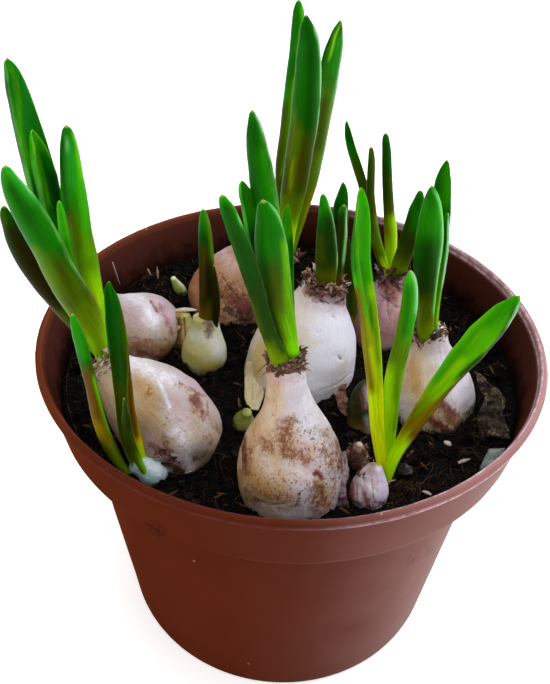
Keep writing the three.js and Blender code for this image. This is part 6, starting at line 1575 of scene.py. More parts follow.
def build_necks():
    rng = np.random.default_rng(5)
    pale, brown = Batch(), Batch()
    f = BULB["bulb_front"]
    neck(brown, f, rng, 1.06, (1.0, 2.0), 13, (1.8, 3.2), 0.0, tone=(0.0, 0.45), rag=0.6, below=0.8, t_out=0.05)
    frazzle(brown, f, rng, 1.06, 90, (-1.2, 1.2), (0.8, 1.8), (0.4, 1.2), 0.35, (0.0, 0.65), out=(0.92, 1.02))
    frazzle(pale, f, rng, 1.06, 22, (-1.0, 1.0), (0.8, 1.8), (0.4, 1.0), 0.35, (0.0, 0.3), out=(0.95, 1.03))
    face = math.atan2(-VIEW[2] @ f.y, -VIEW[2] @ f.x)
    frazzle(brown, f, rng, 1.06, 60, (-0.6, 1.0), (0.9, 2.0), (0.6, 1.6), 0.2, (0.0, 0.7), span=(face - 1.6, face + 1.6), out=(0.66, 0.96))
    top = f.B + f.axis * f.len * 1.07
    wisps(brown, top, [(257, 373, 103.5), (262, 375, 103.0), (311, 371, 104.5), (306, 361, 106.5), (302, 357, 107.0), (266, 368, 105.5)], 0.16, 0.1, rng)
    c = BULB["bulb_center"]
    frazzle(brown, c, rng, 0.975, 110, (-1.5, 0.8), (1.2, 3.0), (0.5, 1.9), 0.7, (-0.1, 0.55), out=(0.70, 1.06))
    frazzle(brown, c, rng, 0.975, 100, (0.2, 2.8), (1.2, 3.2), (0.4, 1.5), 0.8, (0.15, 1.15), out=(0.62, 1.04))
    frazzle(pale, c, rng, 0.97, 14, (-1.4, 1.6), (1.0, 2.2), (0.4, 1.1), 0.7, (-0.1, 0.3))
    b = BULB["bulb_left"]
    frazzle(brown, b, rng, 0.94, 40, (-0.4, 1.0), (1.0, 2.4), (0.4, 1.2), 0.4, (0.3, 1.0))
    frazzle(brown, b, rng, 0.965, 60, (-0.4, 2.6), (1.0, 3.0), (0.4, 1.4), 0.6, (0.2, 1.0))
    frazzle(pale, b, rng, 0.965, 20, (-0.4, 2.4), (1.0, 2.6), (0.5, 1.3), 0.5, (0.1, 0.8))
    frazzle(brown, BULB["bulb_left_back"], rng, 0.97, 40, (-0.3, 2.0), (1.0, 2.6), (0.4, 1.3), 0.6, (0.1, 0.9))
    b = BULB["bulb_back"]
    neck(brown, b, rng, 0.94, (0.8, 2.0), 10, (2.4, 4.0), 0.12, tone=(0.0, 0.5), rag=0.5)
    frazzle(brown, b, rng, 0.97, 60, (0.0, 2.2), (1.0, 2.6), (0.4, 1.5), 0.7, (-0.1, 0.5))
    frazzle(pale, b, rng, 0.97, 8, (0.0, 2.0), (1.0, 2.2), (0.4, 1.0), 0.8, (-0.2, 0.3))
    b = BULB["bulb_right"]
    frazzle(brown, b, rng, 0.975, 110, (-0.9, 2.2), (0.9, 2.6), (0.4, 1.4), 0.6, (-0.1, 0.6), span=(-2.6, 1.2))
    frazzle(pale, b, rng, 0.975, 30, (-0.6, 1.8), (0.9, 2.4), (0.5, 1.4), 0.5, (0.1, 0.7))
    wisps(brown, b.B + b.axis * b.len + VIEW[0] * 2.6, [(447, 328, 96.0), (446, 331, 95.0)], 0.34, 0.6, rng)
    b = BULB["bulb_right_back"]
    frazzle(brown, b, rng, 0.92, 80, (-1.8, 1.6), (1.2, 3.2), (0.6, 1.9), 0.5, (-0.1, 0.6))
    frazzle(pale, b, rng, 0.92, 16, (-1.6, 2.4), (1.4, 3.2), (0.6, 1.6), 0.4, (-0.1, 0.6))
    frazzle(brown, b, rng, 0.95, 60, (0.0, 4.0), (1.0, 3.4), (0.4, 1.6), 0.6, (0.0, 0.6))
    frazzle(brown, BULB["bulblet_brown"], rng, 0.70, 70, (-2.0, 1.6), (0.8, 2.2), (0.4, 1.4), 0.8, (-0.1, 0.5))
    frazzle(pale, BULB["bulblet_striped"], rng, 0.93, 10, (-1.0, 0.4), (0.6, 1.4), (0.3, 0.9), 0.5, (0.2, 0.7))
    frazzle(brown, BULB["bulblet_striped"], rng, 0.80, 26, (-0.6, 1.2), (0.6, 1.6), (0.3, 1.0), 0.5, (-0.1, 0.5), span=(-3.1, -0.6))
    b = BULB["bulb_left"]
    for u0, v0, w, g in ((158, 456, 9, 5), (168, 463, 10, 6), (178, 470, 11, 6), (163, 449, 7, 4), (190, 470, 9, 5), (174, 457, 8, 4)):
        patch(brown if w != 9 else pale, b, rng, u0, v0, w, g, 0.16, rng.uniform(0.2, 0.9), rng.uniform(0.1, 0.7), curl=0.6, rag=0.5)
    frazzle(brown, BULB["bulblet_scaly"], rng, 0.70, 30, (-1.5, 2.0), (1.0, 2.6), (0.4, 1.4), 0.3, (0.3, 1.0))
    piece(pale.build("neck_skins_pale", PAPER_PALE), "bulb_skin")
    piece(brown.build("neck_skins_brown", PAPER_BROWN), "bulb_skin")


build_necks()
# ------------------------------------------------------------------ the leaves
# the leaves' greens, yellows and browns; mint, teal, haze and ice are also used to paint sheen on them
TONES = {
    "ink": rgb(4, 30, 1), "pine": rgb(18, 48, 1), "forest": rgb(6, 70, 1), "leaf": rgb(16, 94, 1), "mid": rgb(30, 118, 2), "grass": rgb(54, 148, 10), "spring": rgb(92, 164, 5),
    "fresh": rgb(92, 146, 3), "lime": rgb(148, 190, 4), "yellow": rgb(186, 200, 12), "gold": rgb(190, 174, 16), "moss": rgb(82, 106, 1), "olive": rgb(58, 68, 1), "dolive": rgb(36, 50, 1),
    "umber": rgb(34, 26, 3), "ochre": rgb(126, 102, 4), "rust": rgb(92, 56, 3), "teal": rgb(30, 128, 40), "mint": rgb(88, 174, 98), "haze": rgb(134, 182, 162), "ice": rgb(176, 206, 210),
}
STOPS = (0.0, 0.12, 0.22, 0.35, 0.5, 0.65, 0.8, 0.95)


def tones(names):
    return [(s, TONES[n]) for s, n in zip(STOPS, names.split())]


# name: (how it is folded, its tones from the base to the tip)
LEAF_LOOK = {
    "leaf_front_1": (0.25, "moss moss dolive pine pine forest forest mid"),
    "leaf_front_2": (0.22, "fresh fresh moss moss olive forest leaf leaf"),
    "leaf_front_3": (0.5, "moss dolive dolive dolive pine leaf mid grass"),
    "leaf_front_4": (0.35, "fresh moss moss olive leaf mid leaf leaf"),
    "leaf_front_5": (0.5, "fresh fresh spring grass grass mid mid grass"),
    "leaf_center_1": (0.3, "olive olive dolive dolive dolive forest leaf mid"),
    "leaf_center_2": (0.5, "olive olive dolive dolive olive pine mid mid"),
    "leaf_center_3": (0.3, "umber rust olive olive olive dolive dolive leaf"),
    "leaf_left_1": (0.25, "fresh fresh moss olive moss leaf leaf mid"),
    "leaf_left_2": (0.3, "fresh moss olive olive umber umber pine forest"),
    "leaf_left_3": (0.55, "moss moss moss mid mid mid teal teal"),
    "leaf_left_4": (0.55, "fresh moss olive moss mid leaf leaf grass"),
    "leaf_left_5": (0.3, "lime lime fresh fresh moss mid mid leaf"),
    "leaf_left_6": (0.3, "fresh fresh moss moss mid mid mid grass"),
    "shoot_small_1": (0.3, "moss rust rust umber umber dolive forest mid"),
    "shoot_small_2": (0.3, "olive olive umber umber umber umber umber dolive"),
    "leaf_back_1": (0.35, "spring moss olive olive moss mid leaf leaf"),
    "leaf_back_2": (0.2, "lime fresh moss olive olive leaf leaf forest"),
    "leaf_back_3": (0.5, "moss moss ochre moss moss moss leaf forest"),
    "leaf_right_1": (0.25, "moss olive olive dolive forest leaf mid leaf"),
    "leaf_right_2": (0.5, "fresh moss olive olive leaf leaf mid leaf"),
    "leaf_right_3": (0.4, "spring fresh fresh moss moss mid leaf mid"),
    "leaf_rear_1": (0.4, "olive olive olive moss dolive olive leaf leaf"),
    "leaf_rear_2": (0.3, "lime lime moss moss olive olive olive olive"),
    "leaf_rear_3": (0.3, "moss lime lime ochre olive dolive forest forest"),
    "leaf_rear_4": (0.3, "moss moss olive olive dolive leaf leaf leaf"),
    "leaf_between": (0.3, "moss ochre ochre olive umber dolive umber umber"),
    "leaf_fr_1": (0.45, "lime yellow yellow gold ochre grass grass grass"),
    "leaf_fr_2": (0.25, "lime lime lime lime fresh moss grass grass"),
    "leaf_fr_3": (0.45, "lime lime ochre ochre lime spring spring grass"),
    "leaf_fl_1": (0.3, "moss moss moss ochre rust dolive leaf mid"),
    "leaf_fl_2": (0.4, "fresh olive olive olive olive dolive leaf leaf"),
    "leaf_fl_3": (0.3, "lime lime gold ochre ochre olive moss mid"),
    "leaf_fl_4": (0.3, "fresh fresh moss olive olive umber dolive olive"),
}
# painted light and shade along each leaf, with its own colours: (tone, line of picture points, half-width in pixels,
# strength). Dark green strokes (ink, pine, forest) paint shade in creases, folds and on shadowed sides; pale and
# blue-green strokes (haze, ice, mint, teal) paint sheen and highlights along lit margins and channels; bright green
# strokes (spring, fresh, grass) paint lit ridges and lit sides as well as paler greens; olives, browns, ochres and
# yellows are the leaves' own colour.
STROKES = {
    "leaf_front_1": [("pine", [(226, 207), (236, 240), (246, 275), (254, 300)], 6, 0.85), ("pine", [(250, 245), (257, 262), (266, 295), (276, 328), (285, 356)], 6.5, 1.0), 
        ("olive", [(244, 285), (252, 310), (260, 335)], 6, 0.9), ("moss", [(268, 347), (274, 366)], 9, 0.85), ("forest", [(222, 205), (230, 236), (240, 268)], 3.5, 0.85), 
        ("forest", [(225, 203), (233, 222), (238, 235)], 5, 0.85), ("mint", [(238, 214), (242, 226)], 2, 0.85)],
    "leaf_front_2": [("leaf", [(266, 225), (268, 245), (268, 265)], 8, 0.85), ("pine", [(261, 283), (269, 312), (278, 342)], 6, 0.9), 
        ("olive", [(272, 262), (276, 285), (279, 308)], 8, 0.85), ("fresh", [(285, 240), (287, 270), (288, 300), (292, 330)], 5.5, 0.85), 
        ("spring", [(289, 318), (293, 340), (294, 362)], 8, 0.9), ("leaf", [(258, 225), (257, 235)], 3, 0.85), 
        ("mint", [(269, 203), (277, 213), (284, 228), (288.5, 243), (291, 262), (293, 288)], 1.6, 0.6), ("leaf", [(262, 206), (262, 225)], 6, 0.85)],
    "leaf_front_3": [("grass", [(244, 187), (249, 200), (253, 212), (256, 222)], 3.4, 1.0), ("grass", [(251, 193), (257, 206)], 2.5, 0.85), 
        ("pine", [(252, 230), (256, 255), (262, 275)], 8, 0.9), ("forest", [(251, 238), (256, 256)], 1.8, 0.85), ("leaf", [(240, 190), (243, 210)], 3, 0.85)],
    "leaf_front_4": [("leaf", [(258, 150), (262, 175), (264, 205)], 7, 0.7), ("mid", [(262, 150), (265, 172), (268, 190), (270, 206)], 3.2, 0.9), ("forest", [(252, 118), (253, 150), (255, 180), (258, 205)], 7.0, 1.0),
        ("haze", [(261, 124), (266, 138), (269, 152)], 1.8, 0.85), ("ice", [(256, 115), (260, 122), (263, 130)], 1.6, 0.85), ("leaf", [(247.5, 140), (248.5, 190)], 1.6, 0.8), ("haze", [(269, 150), (272.5, 168), (275.5, 190), (277.5, 206), (279.5, 222)], 1.1, 0.7)],
    "leaf_front_5": [("leaf", [(284, 212), (281.5, 225)], 1.8, 0.85), ("spring", [(289.5, 207), (291, 222), (289, 238)], 3.0, 1.0), ("grass", [(286, 212), (286, 232)], 3.2, 0.9)],
    "leaf_left_1": [("teal", [(8, 168), (16, 178), (26, 191), (34, 202)], 5, 0.75), ("haze", [(14, 171), (22, 181), (32, 194)], 1.5, 0.55), ("mint", [(40, 205), (51, 222), (61, 242)], 1.2, 0.35), 
        ("forest", [(58, 246), (70, 266), (80, 280), (90, 294)], 3.6, 0.8), ("rust", [(80, 276), (90, 290), (96, 302)], 2.6, 0.75), ("haze", [(66, 256), (78, 272), (86, 284)], 1.1, 0.45), ("forest", [(8, 182), (16, 197), (26, 212), (36, 224)], 7, 0.85), 
        ("leaf", [(36, 214), (46, 230), (54, 242), (62, 255)], 7, 0.85), ("moss", [(33, 247), (40, 262), (47, 278)], 5.5, 0.85), ("olive", [(54, 256), (64, 274), (72, 290)], 8, 1.0), 
        ("moss", [(46, 283), (58, 302), (70, 318), (84, 336)], 6, 0.85), ("moss", [(78, 300), (90, 320), (98, 340)], 8, 0.85), ("moss", [(96, 340), (101, 353)], 9, 0.85), 
        ("mint", [(6, 170), (9, 173)], 1.5, 0.6)],
    "leaf_left_2": [("umber", [(8, 225), (22, 250), (40, 280), (60, 308)], 9, 1.0), ("umber", [(28, 262), (42, 285), (60, 310)], 5, 0.85), ("olive", [(3, 213), (6, 226)], 3, 0.85)],
    "leaf_left_3": [("teal", [(22, 88), (26, 110), (29, 130), (32, 150), (36, 172)], 5, 0.9), ("leaf", [(34, 104), (42, 130), (52, 164), (58, 186)], 4.5, 0.9), ("pine", [(33, 185), (40, 205)], 8, 0.95),
        ("mid", [(11, 88), (14, 112), (18, 140), (24, 165)], 4.5, 0.9), ("forest", [(7, 80), (9, 105), (14, 135), (22, 165)], 3.4, 0.9), 
        ("spring", [(9, 64), (13, 74), (16.5, 86), (19, 100), (20, 121), (21.5, 138), (26, 155), (31, 170)], 2.4, 0.8), ("ink", [(4.5, 70), (5, 88), (8, 108), (14, 137), (23, 170)], 1.4, 0.9)],
    "leaf_left_4": [("leaf", [(46, 154), (52, 170), (58, 190), (62, 207)], 8, 0.95), ("mid", [(31, 140), (35, 165), (41, 190)], 4.5, 0.9), ("pine", [(50, 172), (56, 192), (60, 207)], 5, 0.85),
        ("spring", [(33, 139), (37, 158), (41, 175), (45, 190), (49, 207)], 1.8, 1.0), ("spring", [(35, 132), (42, 141), (50, 153)], 1.4, 0.95), ("forest", [(40, 152), (45, 172), (50, 190)], 2.6, 0.7)],
    "leaf_left_5": [("teal", [(68, 140), (69.5, 160), (71, 186)], 5, 1.0), ("grass", [(76, 150), (79, 175), (83, 200), (86, 232)], 5.5, 1.0), ("moss", [(70, 208), (74, 228), (79, 248)], 5.5, 0.9),
        ("rust", [(67, 212), (70, 226)], 3.5, 0.75), ("fresh", [(82, 232), (90, 262)], 7, 0.85), ("lime", [(92, 274), (97, 292), (100, 312)], 8, 0.85), ("forest", [(62.5, 138), (62, 155), (63, 175), (65.5, 195), (68.5, 215)], 3.4, 1.0),
        ("spring", [(73, 133), (76, 141), (79, 156), (82, 178)], 2.2, 0.95), ("haze", [(66.5, 138), (67.5, 152)], 2.0, 0.6)],
    "leaf_left_6": [("grass", [(59, 204), (62, 222), (66, 240)], 5, 0.85)],
    "leaf_back_1": [("leaf", [(294, 15), (291, 55), (288, 85)], 3.5, 0.9), ("olive", [(284, 100), (279, 145), (276, 182)], 5.5, 0.95), ("grass", [(302, 6), (303, 20), (300, 35), (297, 55)], 2.6, 1.0),
        ("fresh", [(294.5, 78), (291, 102), (289, 122), (286, 150), (281, 177)], 1.8, 1.0), ("pine", [(291, 20), (287, 55), (284, 85)], 1.5, 0.7), ("umber", [(281, 95), (277, 135), (273.5, 175)], 1.6, 0.7)],
    "leaf_back_2": [("forest", [(311, 26), (311, 60), (310, 100), (308, 132)], 6, 1.0), ("leaf", [(303, 40), (300, 70), (299, 100)], 5, 0.9), ("moss", [(299, 125), (293, 160), (287, 195)], 7, 0.85), ("rust", [(302, 150), (298, 185)], 2.0, 0.7),
        ("olive", [(287, 160), (284, 195)], 5, 0.9), ("moss", [(299, 198), (294, 216)], 6, 0.8), ("lime", [(292, 226), (288, 244)], 6, 0.95), ("leaf", [(298, 75), (296, 105)], 3, 0.9), ("olive", [(307, 135), (303, 170), (299, 196)], 4.5, 0.9),
        ("moss", [(295, 110), (293, 145), (290, 178)], 2.2, 0.9), ("gold", [(293, 160), (290, 190)], 1.6, 0.6), ("haze", [(314, 27), (319, 42), (321, 60), (321.3, 80), (321, 98)], 1.3, 0.8),
        ("haze", [(320.5, 105), (317.5, 130), (314, 155), (311, 178)], 0.9, 0.85)],
    "leaf_back_3": [("leaf", [(329, 48), (325, 68), (323, 86)], 4.5, 0.95), ("mid", [(339, 36), (336, 55), (332, 75)], 4, 0.8), ("olive", [(326, 97), (322, 125), (317, 152)], 5, 0.95), ("moss", [(318, 155), (311, 182), (303, 210), (294, 236)], 5, 0.95),
        ("leaf", [(336, 30), (331, 44), (328, 60), (325, 78)], 2.6, 0.9), ("haze", [(343, 30), (343.5, 45), (341, 62), (337.5, 82), (333.5, 102)], 1.2, 0.7), ("haze", [(332, 106), (328.5, 130), (324.5, 150), (319.5, 172)], 0.9, 0.45),
        ("lime", [(340, 25), (335, 37), (331.5, 50), (329, 60)], 1.0, 0.8)],
    "leaf_center_1": [("mid", [(322, 201), (324, 212)], 7, 0.95), ("pine", [(330, 214), (332, 240), (333, 264)], 7, 1.0), ("olive", [(320, 235), (321, 262)], 5, 0.85), 
        ("haze", [(329, 203), (333, 215), (336, 230), (338, 250), (338, 268)], 1.5, 0.9)],
    "leaf_center_2": [("mid", [(345, 187), (346, 205)], 4, 1.0), ("forest", [(337, 200), (335, 216)], 5, 0.85)],
    "leaf_center_3": [("dolive", [(342, 215), (340, 250), (338, 270)], 7, 1.0), ("haze", [(347, 210), (346, 235), (343, 264)], 1.6, 1.0)],
    "leaf_rear_1": [("forest", [(346, 126), (349, 142)], 5, 0.85), ("olive", [(353, 158), (361, 180), (366, 205)], 5, 0.9)],
    "leaf_rear_2": [("olive", [(371, 152), (371, 180), (370, 205), (372, 232)], 5, 0.9), ("dolive", [(369, 158), (368, 200)], 2.2, 0.85), 
        ("moss", [(375, 215), (378, 232), (378, 248)], 4, 1.0)],
    "leaf_rear_3": [("pine", [(385, 140), (384, 170), (385, 200)], 4, 0.85), ("olive", [(389, 176), (389, 212)], 4.5, 0.9), 
        ("lime", [(393, 215), (395, 235), (393, 250), (390, 262)], 6, 1.0)],
    "leaf_rear_4": [("forest", [(421, 195), (418, 208)], 5, 0.85), ("dolive", [(410, 212), (405, 235)], 3, 0.9), ("dolive", [(412, 232), (408, 258)], 7, 0.95), 
        ("moss", [(396, 258), (398, 274)], 8, 0.85)],
    "leaf_right_1": [("mid", [(425, 203), (423, 218), (421, 232)], 7, 1.0), ("pine", [(428, 240), (426, 265), (424, 292)], 9, 0.9), 
        ("mint", [(434, 190), (440, 203), (443, 222), (442.5, 245), (439, 270), (436, 295), (434, 314)], 1.9, 0.9), ("moss", [(416, 300), (418, 322)], 6, 0.85), 
        ("mid", [(437, 205), (440, 238)], 3, 0.85)],
    "leaf_right_2": [("grass", [(447, 165), (447, 185), (447, 208)], 5, 0.85), ("forest", [(438, 183), (436, 196)], 3, 0.9)],
    "leaf_right_3": [("haze", [(449, 218), (448.5, 240), (446, 262), (442, 287)], 1.6, 1.0), ("fresh", [(438, 283), (436, 305), (433, 327)], 5, 1.0), 
        ("forest", [(445, 222), (443, 250)], 2.5, 0.85)],
    "leaf_fr_1": [("forest", [(361.5, 262), (365, 284), (369.5, 308), (374, 335)], 1.3, 0.7), ("moss", [(372, 300), (376, 335), (379, 365)], 3.0, 0.6), ("lime", [(370, 285), (374, 320), (378, 350), (380, 380)], 6, 0.95), ("gold", [(369, 318), (372, 342)], 3.5, 0.55), ("yellow", [(374, 385), (376, 430), (380, 468)], 12, 1.0), ("grass", [(364, 203), (365, 230), (365, 258), (367, 280)], 6, 0.9),
        ("ochre", [(357, 290), (360, 315), (364, 342), (369, 368), (373, 392)], 4.2, 1.0, 1), ("leaf", [(355, 200), (353, 225), (352.5, 250), (355, 275)], 2.8, 0.95, 1), ("spring", [(358, 198), (357, 225), (358, 250), (360, 272), (363.5, 292), (367.5, 312), (371.5, 332)], 1.3, 1.0),
        ("rust", [(355.5, 284), (358.5, 305), (361, 322)], 1.8, 0.8), ("yellow", [(370, 345), (374, 368), (378, 392)], 3, 0.9)],
    "leaf_fr_2": [("haze", [(412, 272), (416.5, 282), (417.5, 298), (416, 314)], 2.4, 0.85), ("leaf", [(409, 285), (408, 310), (404, 338)], 6, 0.85), 
        ("moss", [(402, 300), (399, 325), (396, 348)], 4, 0.85), ("moss", [(401, 350), (398, 375), (396, 402)], 4, 0.85), 
        ("lime", [(390, 368), (386, 400), (386, 430), (385, 466)], 8, 1.0), ("fresh", [(403, 368), (398, 400), (394, 432)], 2.4, 0.85), ("spring", [(390, 430), (387, 465)], 9, 0.9)],
    "leaf_fr_3": [("grass", [(508, 303), (492, 319), (474, 337), (457, 354), (442, 373), (430, 389)], 10, 1.0), ("spring", [(486, 328), (466, 352)], 6, 0.9), ("lime", [(464, 358), (448, 376), (432, 396)], 5, 0.9), ("lime", [(414, 434), (404, 448), (395, 462)], 9, 0.9),
        ("pine", [(520, 306), (514, 322), (503, 340), (490, 355), (474, 368), (460, 381)], 6.8, 1.0, 1), ("rust", [(470, 378), (450, 396), (435, 412), (420, 430), (412, 441)], 7.0, 1.0, 1), ("ochre", [(436, 402), (424, 415), (412, 430)], 5.5, 0.8),
        ("olive", [(470, 372), (456, 386), (446, 396)], 5, 0.6), ("haze", [(518.5, 303), (514, 317), (508, 327)], 2.2, 0.8), ("spring", [(474, 356), (460, 369), (450, 380), (440, 389), (428, 400), (414, 416)], 1.7, 0.95),
        ("spring", [(496, 308), (480, 322), (462, 340), (446, 359)], 1.6, 0.7)],
    "leaf_fl_1": [("mid", [(73, 318), (80, 340), (86, 358)], 5, 0.85), ("rust", [(87, 370), (91, 390), (94, 405), (99, 420)], 6.5, 1.0), 
        ("spring", [(93, 375), (98, 395), (104, 415), (112, 435)], 2.3, 1.0), ("moss", [(112, 450), (124, 467)], 8, 0.9), ("ochre", [(101, 430), (110, 446)], 6, 0.85)],
    "leaf_fl_2": [("forest", [(107, 290), (109, 320), (112, 345)], 3.6, 0.9), ("forest", [(112, 300), (115, 325), (118, 350), (120, 385)], 5, 0.85), 
        ("olive", [(121, 310), (125, 340), (127, 362)], 2.5, 1.0), ("olive", [(122, 420), (130, 452), (138, 468)], 6, 0.85)],
    "leaf_fl_3": [("rust", [(126, 340), (130, 380), (132, 410), (137, 440)], 4, 1.0), ("lime", [(142, 452), (148, 466)], 6, 1.0)],
    "leaf_fl_4": [("dolive", [(124, 402), (126, 425), (129, 445)], 5, 1.0), ("olive", [(130, 430), (134, 450)], 4, 0.85)],
    "shoot_small_1": [("umber", [(206, 262), (207, 300)], 7, 0.7), ("rust", [(203, 245), (203, 300)], 3, 0.6), ("olive", [(210, 300), (210, 325)], 6, 0.7), ("moss", [(207, 214), (210, 235), (213, 262)], 2.6, 0.85), 
        ("mid", [(205, 212), (205, 225)], 5, 0.85)],
    "shoot_small_2": [("umber", [(214, 270), (216, 300), (216, 325)], 5, 1.0)],
    "leaf_between": [("dolive", [(349, 245), (351, 290), (352, 320)], 6, 0.9), ("olive", [(354, 290), (356, 315)], 3, 0.85)],
}
TUCK = {"shoot_small_2": 2.6, "leaf_front_1": 0.8, "leaf_front_2": 0.5, "leaf_front_3": 0.6}
LEAF = {}
for k, (name, (fold, look)) in enumerate(LEAF_LOOK.items()):
    f = LEAF[name] = Leaf(name, fold=fold, seed=k + 1, strokes=STROKES.get(name, ()), tuck=TUCK.get(name, 0.0))
    mat = leaf_material(name + "_flesh", tones(look), seed=k * 3.7 + 3.7)
    slot = ("leaf_yellow_green" if name[:7] in ("leaf_fr", "leaf_fl") and name[7:8] == "_" else
            "leaf_olive" if name.startswith("shoot") or name == "leaf_between" else "leaf_green")
    piece(make(name + "_blade", f.V, f.quads, f.tris, mat, f.attrs), slot, name)


# ------------------------------------------------- loose skins and small finds
def sheet(rows, m=14, n=20, thick=0.25, crumple=0.5, scale=2.2, seed=0, rag=0.12):
    """A crumpled closed sheet. rows: (left point, right point) pairs from one end to the other."""
    L, R = np.array([r[0] for r in rows], float), np.array([r[1] for r in rows], float)
    q = np.linspace(0, 1, n)
    Lp, _ = along(L, q)
    Rp, _ = along(R, q)
    f = np.linspace(0, 1, m)[None, :, None]
    jl = rag * fbm(np.stack([q * 6, q * 0 + seed, q * 0], -1), 3, seed)[:, None, None]
    jr = rag * fbm(np.stack([q * 6, q * 0 + seed, q * 0 + 9], -1), 3, seed + 1)[:, None, None]
    f = jl + (1 + jr - jl) * f
    P = Lp[:, None] * (1 - f) + Rp[:, None] * f
    du, dv = np.gradient(P, axis=0), np.gradient(P, axis=1)
    N = unit(np.cross(dv, du))
    ridge = 1 - 2 * np.abs(fbm(P / scale, 3, seed + 5))
    P = P + N * (crumple * (0.6 * ridge + 0.6 * fbm(P / (scale * 0.5), 3, seed + 7)))[..., None]
    N = unit(np.cross(np.gradient(P, axis=1), np.gradient(P, axis=0)))
    e = np.minimum(np.minimum(np.linspace(0, 1, m), np.linspace(1, 0, m))[None] * m, (np.minimum(q, 1 - q) * n)[:, None])
    t = (thick / 2 * np.clip(0.25 + 0.5 * e, 0, 1))[..., None]
    V = np.concatenate([(P + N * t).reshape(-1, 3), (P - N * t).reshape(-1, 3)])
    k = n * m
    a, b = grid_faces(n, m, wrap=False), grid_faces(n, m, wrap=False, flip=True) + k
    rim = list(range(m)) + [i * m + m - 1 for i in range(1, n)] + [(n - 1) * m + j for j in range(m - 2, -1, -1)] + [i * m for i in range(n - 2, 0, -1)]
    side = [[p, p + k, r + k, r] for p, r in zip(rim, rim[1:] + rim[:1])]
    s = np.tile(np.repeat(q, m), 2)
    u = np.tile(np.tile(np.linspace(-1, 1, m), n), 2)
    return V, np.concatenate([a, b, np.array(side)]), s, u


def dry_material(name, dark, mid, light, scale=0.9):
    m = Mat(name, rough=0.7, spec=0.2)
    mm = m.mm()
    n1, n2 = m.noise(mm, scale, 5, 0.65, 0.4), m.noise(mm, scale * 3.2, 4, 0.65)
    f = m.add(n1, m.mul(m.sub(n2, 0.5), 0.6))
    col = m.mix(m.fit(f, 0.30, 0.52), dark, mid)
    col = m.mix(m.fit(f, 0.52, 0.75), col, light)
    m.set("Base Color", col)
    m.bump(m.add(n1, m.mul(n2, 0.7)), 0.7, 0.25)
    return m.m


def sliver(batch, a, b, width, up=(0, 0, 1), bend=0.0, thick=0.18, n=9, blunt=0.25, cup=0.2, tone=0.8):
    a, b = np.array(a, float), np.array(b, float)
    s = np.linspace(0, 1, n)
    line = a + (b - a) * s[:, None] + np.array([0, 0, 1.0]) * (np.sin(s * math.pi) * bend)[:, None]
    w = width * np.maximum((1 - np.abs(2 * s - 1) ** 2.2) ** 0.7, blunt * 0.3)
    V, q, ss, uu = thin_strip(line, w, np.tile(up, (n, 1)), thick, 5, cup)
    batch.add(V, q, s=ss, u=uu, tone=tone, seed=a[0] + b[1])


DRIED = dry_material("dried_skin_brown", rgb(18, 12, 10), rgb(44, 33, 24), rgb(122, 106, 80), 0.45)
skin = [(at_z(477, 371, 84.5), at_z(481, 370, 84.5)), (at_z(476, 384, 82.0), at_z(490, 384, 83.0)), (at_z(483, 398, 80.5), at_z(502, 398, 82.0)),
        (at_z(480, 412, 79.0), at_z(503, 412, 80.5)), (at_z(476, 424, 77.6), at_z(505, 424, 79.5)), (at_z(470, 434, 76.4), at_z(507, 438, 78.0))]
V, q, s, u = sheet(skin, 34, 60, 0.3, 2.1, 4.2, 3, 0.26)
piece(make("dried_skin_sheet", V, q, mat=DRIED, attrs={"s": s, "u": u}), "dried_skin", "dried_skin")

FLAKE = dry_material("pale_flake_grey", rgb(76, 82, 82), rgb(112, 120, 118), rgb(150, 158, 156), 0.6)
flake = [(at_z(489, 449, 79.6), at_z(505, 448, 80.6)), (at_z(485, 456, 79.0), at_z(503, 455, 80.0)), (at_z(482, 463, 78.2), at_z(500, 461, 79.4)),
         (at_z(479, 470, 77.4), at_z(494, 468, 78.6))]
V, q, s, u = sheet(flake, 12, 14, 0.5, 0.12, 3.0, 8, 0.03)
piece(make("pale_flake_plate", V, q, mat=FLAKE, attrs={"s": s, "u": u}), "pale_flake", "pale_flake")


def at_depth(u, v, depth):
    """The place at a picture point, at a distance from the viewer."""
    return EYE + (VIEW[2] + VIEW[0] * (u - 275) / FOCAL + VIEW[1] * (v - 342) / FOCAL) * depth


def flap(name, rows, mat, seed, crumple=0.3, m=14, n=40, tone=0.6, torn=0.30):
    """A loose skin between picture points: left, right, the bulb it leans on and how
    far in front, or no bulb and a height."""
    edges = []
    for (u0, v0), (u1, v1), bulb, lift in rows:
        if bulb is None:
            edges.append((at_z(u0, v0, lift), at_z(u1, v1, lift)))
            continue
        P = BULB[bulb].pick((u0 + u1) / 2, (v0 + v1) / 2)[0]
        depth = float(to_picture(P[None])[2][0]) - lift
        edges.append((at_depth(u0, v0, depth), at_depth(u1, v1, depth + 0.2)))
    V, q, s, u = sheet(edges, m, n, 0.22, crumple, 2.0, seed, torn)
    k = len(V)
    piece(make(name, V, q, mat=mat, attrs={"s": s, "u": u, "tone": np.full(k, tone), "seed": np.full(k, float(seed))}), "bulb_skin")


flap("skin_flap_front", [((341.5, 452), (345, 451), "bulb_front", 0.4), ((341, 464), (349, 463), "bulb_front", 0.5), ((338.5, 478), (348, 480), "bulb_front", 0.6),
                         ((335, 494), (346.5, 497), "bulb_front", 0.8), ((331, 507), (348, 512), "bulb_front", 1.2)], PAPER_ICE, 4, 0.7, tone=0.15)
flap("skin_flap_green", [((339, 386), (348, 383), "bulb_green", -0.6), ((335, 396), (347, 395), "bulb_green", -0.4), ((337, 405), (348, 406), "bulb_green", -0.2),
                         ((343, 415), (349, 418), "bulb_green", 0.1)], PAPER_RUSSET, 9, 0.6, tone=0.3)


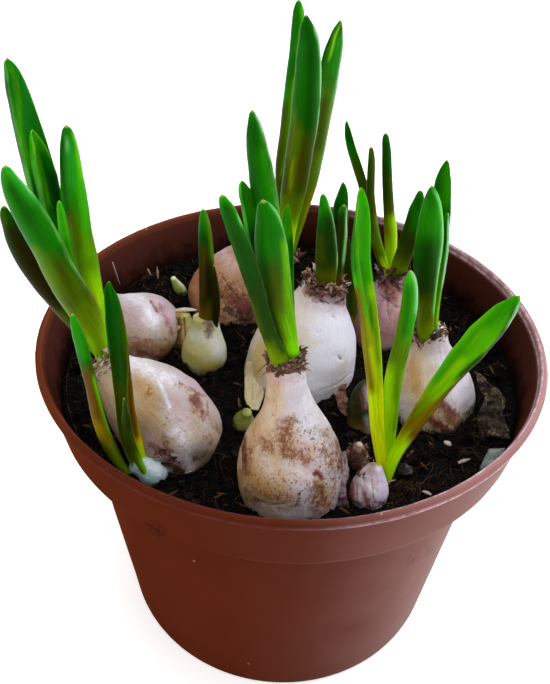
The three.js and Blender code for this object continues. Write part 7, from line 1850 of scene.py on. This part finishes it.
PAPER_CREAM = paper_material("papery_skin_cream", rgb(96, 58, 44), rgb(182, 168, 128), rgb(214, 204, 176), 0.42)
flap("skin_flap_centre", [((246, 362), (259, 360), "bulb_center", 0.2), ((245, 377), (263, 376), "bulb_center", 0.3), ((245, 391), (264, 390), None, 76.4),
                          ((245.5, 400), (262, 402), None, 75.9), ((249, 409), (258, 410), None, 75.5)], PAPER_CREAM, 21, 0.3, tone=0.48, torn=0.06)


def build_lump():
    """A wet black lump of peat by the right bulb."""
    rng = np.random.default_rng(8)
    v, t = ico(3)
    v = v * (1 + 0.42 * fbm(v * 1.4, 3, 5) + 0.16 * fbm(v * 4.0, 3, 6))[:, None] * (1.7, 1.5, 1.3)
    c = at_z(405, 470, 76.0)
    m = Mat("peat_wet", rough=0.3, spec=0.3)
    mm = m.mm()
    n1 = m.noise(mm, 1.2, 5, 0.65)
    m.set("Base Color", m.mix(n1, rgb(8, 7, 8), rgb(26, 21, 22)))
    m.set("Roughness", m.fit(n1, 0.3, 0.7, 0.18, 0.5))
    m.bump(m.add(n1, m.mul(m.noise(mm, 4.0, 4), 0.6)), 0.7, 0.3)
    piece(make("soil_lump", v + c, tris=t, mat=m.m, attrs={"tone": np.zeros(len(v))}), "soil")


build_lump()


def build_finds():
    b = Batch()
    g = 75.2
    # shreds of pale skin on the soil
    for (u0, v0), (u1, v1), w, tone, z0, z1, bend in (
            ((456, 464), (470, 459), 0.9, 0.30, 75.6, 76.4, 0.3), ((422, 491), (432, 495), 0.9, 0.40, 75.8, 75.6, 0.2),
            ((444, 441), (451, 446), 1.5, 0.30, 76.0, 76.2, 0.3), ((357, 442), (362, 447), 1.3, 0.55, 80.6, 80.2, 0.2),
            ((206, 434), (212, 437), 0.8, 0.35, 75.8, 76.0, 0.2), ((120, 285), (112.5, 262), 1.2, 0.62, 78.0, 86.0, 0.0),
            ((158, 280), (157, 266), 0.6, 0.10, 76.0, 79.5, 0.1), ((151, 276), (147, 268), 0.6, 0.05, 76.0, 77.5, 0.3),
            ((380, 486), (396, 480), 0.6, 0.0, 76.6, 77.0, 0.5),
            ((171, 311), (197, 310), 1.7, 0.62, 81.2, 82.2, 0.5)):
        sliver(b, at_z(u0, v0, z0), at_z(u1, v1, z1), w, bend=bend, tone=tone)
    piece(b.build("skin_shreds", PAPER_PALE), "dried_skin")


build_finds()
